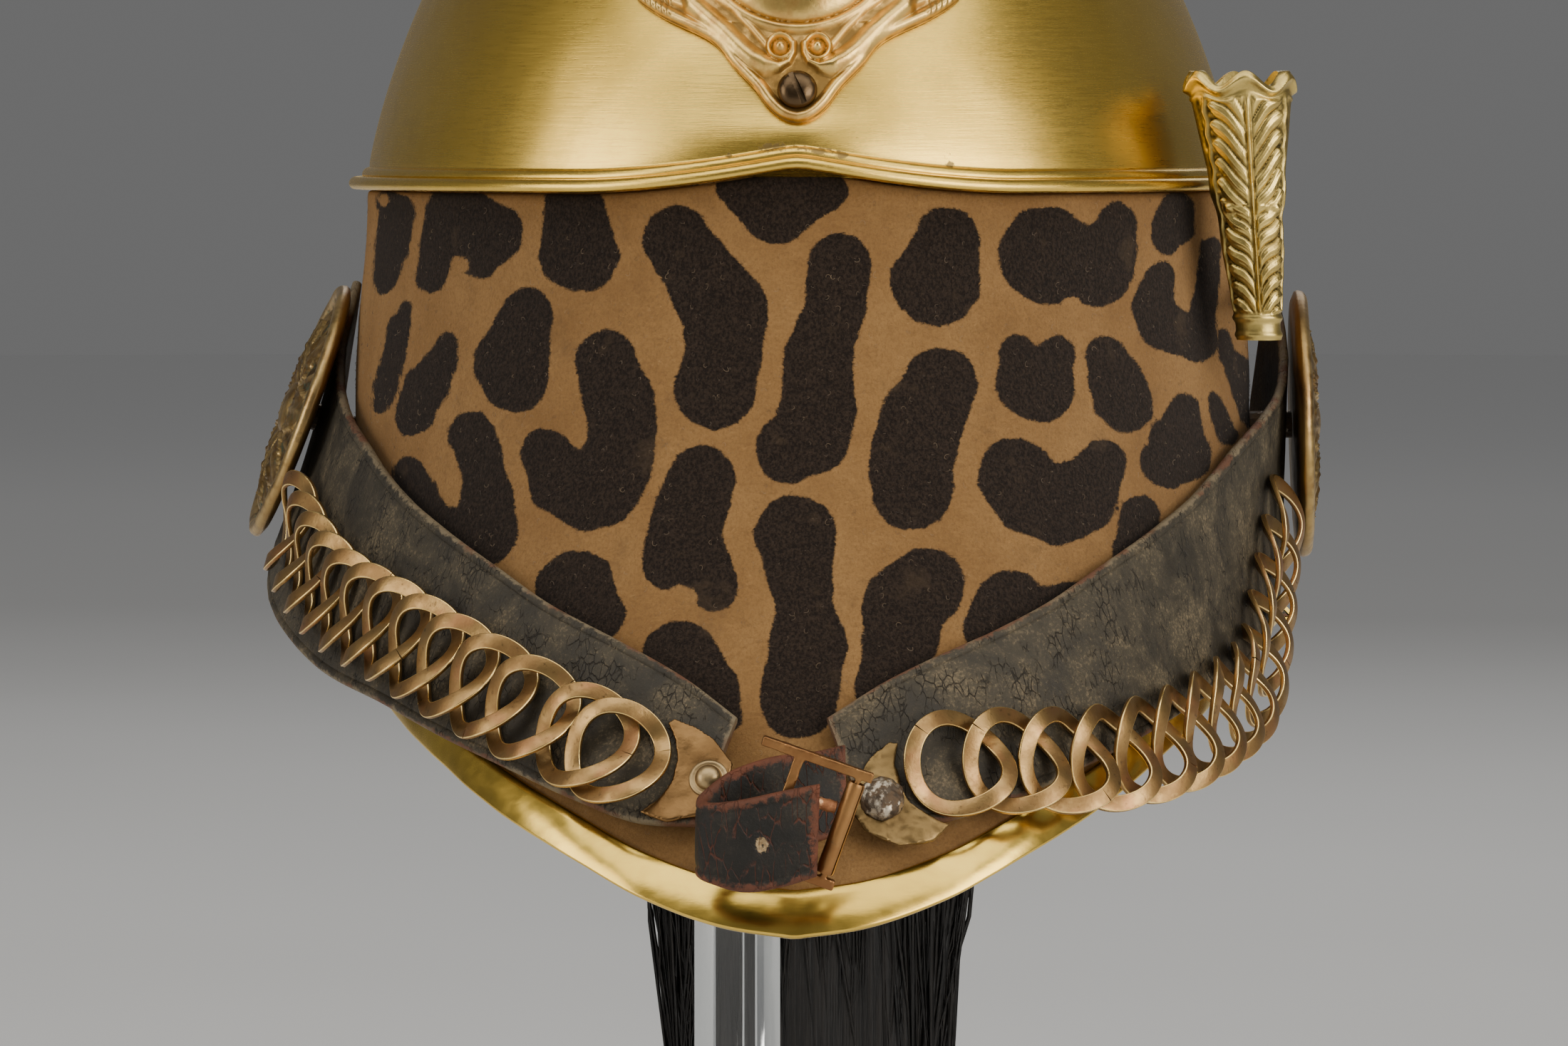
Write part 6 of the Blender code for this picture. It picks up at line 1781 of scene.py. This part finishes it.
def worn_brass(name, light, deep, shine, rough, grain=0.0006, marked=False, patina_and_shade=(0.06, 0.045, 0.02),
               green=0.0, bright=(0.86, 0.62, 0.27)):
    """Brass with specks of patina; where marked, patina and painted shade darken its hollows, and rubbed wear
    and painted highlight brighten its raised lines.
    """
    brass = Finish(name, Metallic=1.0)
    cloud = brass.cloud((0.022, 5.0, 0.62), 0.36, 0.66)
    fine = brass.noise(grain, 3.0, 0.6)
    colour = brass.mixed(cloud, light, deep)
    speck = brass.cloud((0.0028, 5.0, 0.7), 0.60, 0.72)
    colour = brass.mixed(brass.times(speck, 0.55), colour, patina_and_shade)
    roughness = brass.cloud((0.006, 4.0, 0.6), 0.3, 0.7, (rough, rough + 0.14))
    if marked:
        # Painted shade with patina: the hollows of the relief are darkened
        hollow = brass.times(brass.mark("hollow"), brass.cloud((0.004, 4.0), 0.30, 0.55))
        colour = brass.mixed(hollow, colour, patina_and_shade)
        if green:
            tint = brass.times(brass.cloud((0.0032, 4.0), 0.50, 0.60), hollow)
            colour = brass.mixed(brass.times(tint, green), colour, (0.10, 0.22, 0.16))
        # Painted highlight with rubbed wear: the raised lines are painted a brighter colour
        line = brass.times(brass.mark("line"), brass.cloud((0.003, 3.0), 0.32, 0.58))
        colour = brass.mixed(brass.times(line, shine), colour, bright)
        roughness = brass.plus(roughness, brass.times(hollow, 0.22))
        roughness = brass.less(roughness, brass.times(line, 0.10))
    bumped = brass.bump(fine, grain * 0.05)
    bumped = brass.bump(brass.noise(grain * 9.0, 3.0), grain * 0.30, bumped)
    return brass.painted(Base_Color=colour, Roughness=roughness, Normal=bumped)


def skull_finish():
    """Polished sheet brass, rubbed in fine near-level strokes, softly clouded, with tarnish spots."""
    brass = Finish("rubbed_skull_brass", Metallic=1.0)
    strokes = brass.noise(0.010, 7.0, 0.74, brass.stretched((1.0, 1.0, 26.0), (0.05, 0.02, 0.0)))
    across = brass.noise(0.014, 6.0, 0.7, brass.stretched((1.0, 1.0, 14.0), (0.40, -0.30, 0.0)))
    cloud = brass.cloud((0.050, 6.0, 0.62, None, 0.8), 0.32, 0.68)
    colour = brass.mixed(cloud, (0.90, 0.605, 0.125), (0.72, 0.475, 0.088))
    colour = brass.laid(colour, (0.50, 0.33, 0.065), strokes, 0.40, 0.75, 0.16)
    dim = brass.noise(0.016, 6.0, 0.68, None, 0.5)
    colour = brass.laid(colour, (0.45, 0.31, 0.075), dim, 0.55, 0.72, 0.22)
    torn = brass.cloud((0.0022, 4.0, 0.7), 0.25, 0.75, (-0.7, 0.7))
    spots = brass.band(brass.plus(brass.mark("tarnish"), torn), 0.35, -0.15)
    fleck = brass.cloud((0.0030, 5.0, 0.78), 0.735, 0.775)
    fleck = brass.math("MAXIMUM", brass.times(fleck, 0.5), brass.times(spots, 0.8))
    colour = brass.mixed(fleck, colour, (0.15, 0.105, 0.055))
    rough = brass.plus(brass.band(strokes, 0.25, 0.75, (0.21, 0.29)), brass.times(cloud, 0.05))
    rough = brass.plus(rough, brass.times(fleck, 0.25))
    bumped = brass.bump(brass.plus(strokes, brass.times(across, 0.5)), 0.00004)
    bumped = brass.bump(brass.noise(0.034, 2.0), 0.00050, bumped)
    return brass.painted(Base_Color=colour, Roughness=rough, Normal=bumped)


def strip_finish():
    """Bright brass strip, drawn smooth, rubbed along its length, with darker smears and small dark flecks."""
    brass = Finish("bright_strip_brass", Metallic=1.0)
    cloud = brass.cloud((0.024, 5.0, 0.6, None, 0.4), 0.34, 0.68)
    colour = brass.mixed(cloud, (0.84, 0.570, 0.115), (0.68, 0.45, 0.085))
    smear = brass.noise(0.0030, 5.0, 0.65, brass.stretched((0.35, 1.0, 1.0)))
    colour = brass.laid(colour, (0.50, 0.34, 0.10), smear, 0.58, 0.74, 0.20)
    fleck = brass.cloud((0.0021, 5.0, 0.75), 0.74, 0.78)
    colour = brass.mixed(brass.times(fleck, 0.55), colour, (0.16, 0.10, 0.045))
    rough = brass.plus(brass.band(smear, 0.3, 0.7, (0.20, 0.27)), brass.times(fleck, 0.2))
    bumped = brass.bump(smear, 0.00003)
    bumped = brass.bump(brass.noise(0.016, 2.0), 0.00030, bumped)
    return brass.painted(Base_Color=colour, Roughness=rough, Normal=bumped)


def ring_finish():
    """Bronzed band with bright gold edges, partly rubbed wear and partly painted highlight along its
    rounding.
    """
    brass = Finish("bronzed_ring_brass", Metallic=1.0)
    cloud = brass.cloud((0.009, 5.0, 0.62), 0.35, 0.65)
    colour = brass.mixed(cloud, (0.44, 0.275, 0.105), (0.27, 0.155, 0.060))
    colour = brass.laid(colour, (0.42, 0.20, 0.090), brass.noise(0.013, 3.0, 0.6), 0.52, 0.64, 0.55)
    grime = brass.cloud((0.0016, 5.0, 0.7), 0.57, 0.70)
    colour = brass.mixed(brass.times(grime, 0.6), colour, (0.08, 0.048, 0.024))
    # Painted highlight with wear: the rounded edges and some patches turn bright gold
    wear_and_glint = brass.plus(brass.mark("rub"), brass.cloud((0.0045, 4.0), 0.50, 0.72, (0.0, 0.5)))
    wear_and_glint = brass.band(wear_and_glint, 0.35, 1.0)
    colour = brass.mixed(wear_and_glint, colour, (0.90, 0.64, 0.24))
    rough = brass.less(brass.band(cloud, 0.0, 1.0, (0.34, 0.46)), brass.times(wear_and_glint, 0.12))
    bumped = brass.bump(brass.noise(0.0006, 4.0, 0.65), 0.00004)
    bumped = brass.bump(brass.noise(0.0045, 3.0), 0.00008, bumped)
    return brass.painted(Base_Color=colour, Roughness=rough, Normal=bumped)


def felt_finish():
    """Napped tan felt with dark spots whose edges are ragged by the nap; the same dark also paints the shade
    and shadow charted with the spots at the felt's right side.
    """
    felt = Finish("leopard_felt", Metallic=0.0, Sheen_Weight=0.05, Sheen_Roughness=0.5,
                  Specular_IOR_Level=0.10)
    nap = felt.noise(0.00062, 5.0, 0.75, felt.stretched((1.0, 1.0, 0.8)))
    hairs = felt.noise(0.0022, 7.0, 0.85, felt.stretched((1.0, 1.0, 1.5), (0.4, 0.3, 0.8)), 1.8)
    ragged = felt.plus(felt.mark("spot"), felt.band(hairs, 0.2, 0.8, (-0.50, 0.50)))
    ragged = felt.plus(ragged, felt.cloud((0.007, 3.0), 0.2, 0.8, (-0.5, 0.5)))
    dark = felt.band(ragged, 0.28, -0.28)
    cloud = felt.cloud((0.026, 5.0, 0.62), 0.32, 0.68)
    tan = felt.mixed(cloud, (0.385, 0.212, 0.076), (0.300, 0.158, 0.054))
    tan = felt.mixed(felt.band(nap, 0.34, 0.60, (0.50, 0.0)), tan, (0.20, 0.100, 0.034))
    tan = felt.laid(tan, (0.54, 0.34, 0.155), hairs, 0.56, 0.72, 0.50)
    tan = felt.laid(tan, (0.17, 0.095, 0.040), felt.noise(0.011, 6.0, 0.72), 0.54, 0.72, 0.42)
    spot = felt.mixed(felt.band(nap, 0.38, 0.66), (0.0120, 0.0075, 0.0050), (0.046, 0.030, 0.020))
    lint = felt.noise(0.0013, 6.0, 0.88, felt.stretched((1.0, 1.0, 0.5), (0.9, 0.5, 0.2)), 2.6)
    spot = felt.laid(spot, (0.15, 0.095, 0.055), lint, 0.58, 0.72, 0.55)
    spot = felt.laid(spot, (0.10, 0.065, 0.036), felt.noise(0.011, 4.0, 0.6), 0.60, 0.72, 0.30)
    colour = felt.mixed(dark, tan, spot)
    bumped = felt.bump(nap, 0.00040)
    bumped = felt.bump(hairs, 0.00042, bumped)
    return felt.painted(Base_Color=colour, Roughness=felt.band(nap, 0.2, 0.8, (0.88, 1.0)), Normal=bumped)


def leather_finish(name, black, dry, grit, crack_colour, raw, worn, edge_width, crack_size, crack_share,
                   holed=False):
    """Old leather, dusty where it is rubbed, with fine cracks and raw edges of a given width in mm."""
    hide = Finish(name, Metallic=0.0, Specular_IOR_Level=0.30)
    cloud = hide.noise(0.017, 6.0, 0.66, None, 0.5)
    fine = hide.noise(0.0007, 4.0, 0.7)
    colour = hide.mixed(hide.band(cloud, 0.36, 0.66), black, dry)
    dust = hide.plus(hide.times(cloud, 0.6), hide.times(fine, 0.7))
    colour = hide.laid(colour, grit, dust, 0.66, 0.86, 0.65)
    streak = hide.noise(0.0016, 6.0, 0.8, hide.stretched((1.0, 1.0, 0.4), (0.3, 0.2, 0.0)), 1.2)
    colour = hide.laid(colour, grit, streak, 0.60, 0.70, 0.40)
    place = hide.bent(hide.stretched((1.0, 1.0, 0.30), (0.0, 0.2, 0.0)), 0.004, 0.0016)
    crack = hide.band(hide.cells(crack_size, place, "DISTANCE_TO_EDGE"), 0.070, 0.0)
    crack = hide.times(crack, hide.cloud((0.007, 5.0, 0.65), crack_share, crack_share + 0.16))
    colour = hide.mixed(hide.times(crack, 0.75), colour, crack_colour)
    torn = hide.cloud((0.0026, 5.0, 0.75), 0.2, 0.8, (-0.9, 0.9))
    torn = hide.times(torn, edge_width)
    edge = hide.band(hide.plus(hide.mark("edge"), torn), edge_width * 1.25, edge_width * 0.45)
    rust = hide.mixed(hide.cloud((0.012, 4.0, 0.6), 0.46, 0.60), worn, raw)
    colour = hide.mixed(hide.times(edge, 0.85), colour, rust)
    if holed:
        ragged = hide.plus(hide.mark("tear"), hide.cloud((0.0016, 5.0, 0.7), 0.2, 0.8, (-0.6, 0.6)))
        fluff = hide.mixed(hide.band(fine, 0.35, 0.65), (0.26, 0.165, 0.075), (0.42, 0.30, 0.16))
        colour = hide.mixed(hide.band(ragged, 1.45, 1.05), colour, fluff)
        # Painted shade: the middle of the tear is painted near-black for the depth of the hole, which the
        # mesh only dents
        colour = hide.mixed(hide.band(ragged, 0.45, 0.25), colour, (0.006, 0.004, 0.003))
    rough = hide.band(cloud, 0.3, 0.7, (0.54, 0.72))
    bumped = hide.bump(hide.less(fine, hide.times(crack, 1.6)), 0.00020)
    bumped = hide.bump(hide.noise(0.0045, 4.0, 0.6), 0.00045, bumped)
    return hide.painted(Base_Color=colour, Roughness=rough, Normal=bumped)


def iron_finish(name, dark, rust, bare, share):
    """Dark iron with rust and places rubbed bare."""
    iron = Finish(name)
    cloud = iron.noise(0.0026, 5.0, 0.68)
    colour = iron.mixed(iron.band(cloud, 0.40, 0.62), dark, rust)
    worn = iron.cloud((0.0034, 4.0, 0.6), share, share + 0.10)
    colour = iron.mixed(worn, colour, bare)
    rough = iron.less(iron.band(cloud, 0.3, 0.7, (0.52, 0.74)), iron.times(worn, 0.28))
    metal = iron.band(worn, 0.0, 1.0, (0.70, 1.0))
    bumped = iron.bump(iron.noise(0.0008, 4.0, 0.7), 0.00012)
    return iron.painted(Base_Color=colour, Roughness=rough, Metallic=metal, Normal=bumped)


def hair_finish():
    hair = Finish("black_horsehair_strands", Specular_IOR_Level=0.28, Sheen_Weight=0.0)
    streak = hair.noise(0.0011, 4.0, 0.6, hair.stretched((1.0, 1.0, 0.03)))
    colour = hair.mixed(hair.band(streak, 0.35, 0.70), (0.0030, 0.0027, 0.0025), (0.0125, 0.0105, 0.0090))
    rough = hair.band(streak, 0.3, 0.7, (0.36, 0.55))
    return hair.painted(Base_Color=colour, Roughness=rough, Normal=hair.bump(streak, 0.0006))


def fibre_finish(name, colour, deep):
    fibre = Finish(name, Sheen_Weight=0.2, Specular_IOR_Level=0.3)
    mixed = fibre.mixed(fibre.cloud((0.01, 2.0), 0.35, 0.65), colour, deep)
    rough = fibre.cloud((0.004, 2.0), 0.3, 0.7, (0.7, 0.9))
    return fibre.painted(Base_Color=mixed, Roughness=rough)


def clear_finish():
    clear = Finish("clear_cast_acrylic", Transmission_Weight=1.0, IOR=1.49, Metallic=0.0)
    smear = clear.cloud((0.03, 4.0, 0.6), 0.45, 0.75, (0.015, 0.06))
    tint = clear.mixed(clear.cloud((0.05, 2.0), 0.3, 0.7), (0.93, 0.965, 0.96), (0.96, 0.98, 0.975))
    return clear.painted(Base_Color=tint, Roughness=smear)


def floor_finish():
    """Plain pale floor that meets the studio's own tone far away, with no line between them."""
    floor = Finish("pale_floor", Specular_IOR_Level=0.0)
    ways = floor.node("ShaderNodeSeparateXYZ", Vector=floor.spot).outputs
    squares = [floor.math("POWER", way, 2.0) for way in ways[:2]]
    away = floor.math("SQRT", floor.plus(*squares))
    cloud = floor.cloud((0.8, 2.0), 0.3, 0.7)
    tone = floor.mixed(cloud, (0.76, 0.755, 0.74), (0.79, 0.785, 0.77))
    tone = floor.mixed(floor.band(away, 1.5, 7.0), tone, (0.995, 0.995, 0.995))
    return floor.painted(Base_Color=tone, Roughness=floor.cloud((0.3, 2.0), 0.3, 0.7, (0.85, 0.95)))


# Stage: floor, light and camera

def make_stage():
    angle = np.linspace(0.0, math.tau, FLOOR_ROUND, endpoint=False)
    rows = [xyz(radius * np.cos(angle), radius * np.sin(angle), height - FLOOR_GAP)
            for radius, height in FLOOR_RINGS]
    mesh = skinned("floor", np.array(rows), around=True, ends="none")
    mesh.materials.append(floor_finish())
    mesh.shade_smooth()
    linked("floor", mesh)


def make_lights():
    world = bpy.data.worlds.new("studio")
    bpy.context.scene.world = world
    world.use_nodes = True
    sky = world.node_tree.nodes["Background"]
    sky.inputs["Color"].default_value = (1.0, 1.0, 1.0, 1.0)
    sky.inputs["Strength"].default_value = WORLD_LIGHT
    for name, where, wide, high, power, tint in STUDIO:
        lamp = bpy.data.lights.new(name, "AREA")
        lamp.shape = "RECTANGLE"
        lamp.size, lamp.size_y = wide, high
        lamp.energy = power
        lamp.color = tint
        holder = linked(name, lamp)
        holder.location = where
        holder.rotation_euler = (LIGHTS_AIM - Vector(where)).to_track_quat("-Z", "Y").to_euler()


def make_camera():
    eye, right, up, ahead = camera_ways()
    lens = bpy.data.cameras.new("camera")
    lens.sensor_width = SENSOR
    lens.lens = FOCAL_PX * SENSOR / PHOTO_WIDTH
    lens.clip_end = 60.0
    camera = linked("camera", lens)
    turn = Matrix((right, up, -ahead)).transposed().to_4x4()
    camera.matrix_world = Matrix.Translation(eye) @ turn
    bpy.context.scene.camera = camera


def main():
    make_camera()
    make_lights()
    make_stage()
    skull_brass = skull_finish()
    strip_brass = strip_finish()
    plate_brass = worn_brass("chased_plate_brass", (0.68, 0.42, 0.125), (0.52, 0.29, 0.085), 0.60, 0.34,
                             marked=True, patina_and_shade=(0.27, 0.158, 0.046), bright=(0.90, 0.63, 0.19))
    holder_brass = worn_brass("olive_holder_brass", (0.56, 0.42, 0.135), (0.38, 0.27, 0.085), 0.8, 0.30,
                              marked=True, patina_and_shade=(0.036, 0.027, 0.011), bright=(0.86, 0.64, 0.20))
    boss_brass = worn_brass("pressed_boss_brass", (0.38, 0.25, 0.090), (0.27, 0.155, 0.06), 0.85, 0.32,
                            marked=True, patina_and_shade=(0.055, 0.038, 0.020), green=0.55)
    crest_brass = worn_brass("comb_brass", (0.58, 0.41, 0.14), (0.44, 0.28, 0.09), 0.6, 0.30, marked=True)
    buckle_brass = worn_brass("coppery_buckle_brass", (0.36, 0.190, 0.070), (0.25, 0.115, 0.045), 0.0, 0.36,
                              patina_and_shade=(0.075, 0.090, 0.060))
    plate_smooth = worn_brass("brown_plate_brass", (0.230, 0.130, 0.050), (0.125, 0.066, 0.025), 0.0, 0.29)
    plate_rough = worn_brass("hammered_plate_brass", (0.215, 0.140, 0.055), (0.100, 0.062, 0.026), 0.0, 0.34)
    pale_brass = worn_brass("pale_rivet_brass", (0.42, 0.30, 0.15), (0.30, 0.20, 0.095), 0.0, 0.34)
    rings = ring_finish()
    felt = felt_finish()
    leather = leather_finish(
        "cracked_black_leather", black=(0.028, 0.023, 0.015), dry=(0.066, 0.053, 0.032),
        grit=(0.215, 0.160, 0.090), crack_colour=(0.012, 0.009, 0.006), raw=(0.125, 0.052, 0.026),
        worn=(0.180, 0.138, 0.080), edge_width=0.90, crack_size=0.0016, crack_share=0.46,
    )
    loop_leather = leather_finish(
        "cracked_loop_leather", black=(0.008, 0.007, 0.005), dry=(0.022, 0.018, 0.013),
        grit=(0.070, 0.052, 0.034), crack_colour=(0.110, 0.030, 0.013), raw=(0.165, 0.050, 0.022),
        worn=(0.115, 0.038, 0.018), edge_width=1.55, crack_size=0.0020, crack_share=0.42, holed=True,
    )
    iron = iron_finish("rough_dark_iron", (0.070, 0.052, 0.036), (0.125, 0.080, 0.045), (0.50, 0.43, 0.33),
                       0.50)
    screw_bronze = worn_brass("dark_screw_bronze", (0.120, 0.078, 0.040), (0.080, 0.050, 0.027), 0.0, 0.27)
    tongue = iron_finish("rusted_tongue_iron", (0.30, 0.12, 0.05), (0.42, 0.19, 0.08), (0.60, 0.34, 0.18),
                         0.56)
    hair = hair_finish()

    make_skull(skull_brass)
    cover = make_felt(felt)
    make_peak_binding(strip_brass)
    make_neck(leather, strip_brass)
    band = band_tree()
    for side in ("left", "right"):
        make_strap(side, leather)
        make_chain(side, rings, band)
        make_boss(side, boss_brass)
        repainted("ear_stud_" + side, iron)
    make_end_plates(plate_smooth, plate_rough)
    make_rivets(pale_brass, iron)
    make_buckle_leather(loop_leather)
    make_buckle(buckle_brass, tongue)
    make_crest(crest_brass)
    make_front_plate(plate_brass)
    make_screw(screw_bronze)
    make_holder(holder_brass)
    repainted("holder_lug", holder_brass)
    make_mane(hair, hair_tree())
    make_lint(cover, fibre_finish("pale_lint", (0.36, 0.26, 0.155), (0.20, 0.135, 0.075)),
              fibre_finish("dark_lint", (0.12, 0.075, 0.042), (0.05, 0.032, 0.02)))
    make_stand(clear_finish())


main()
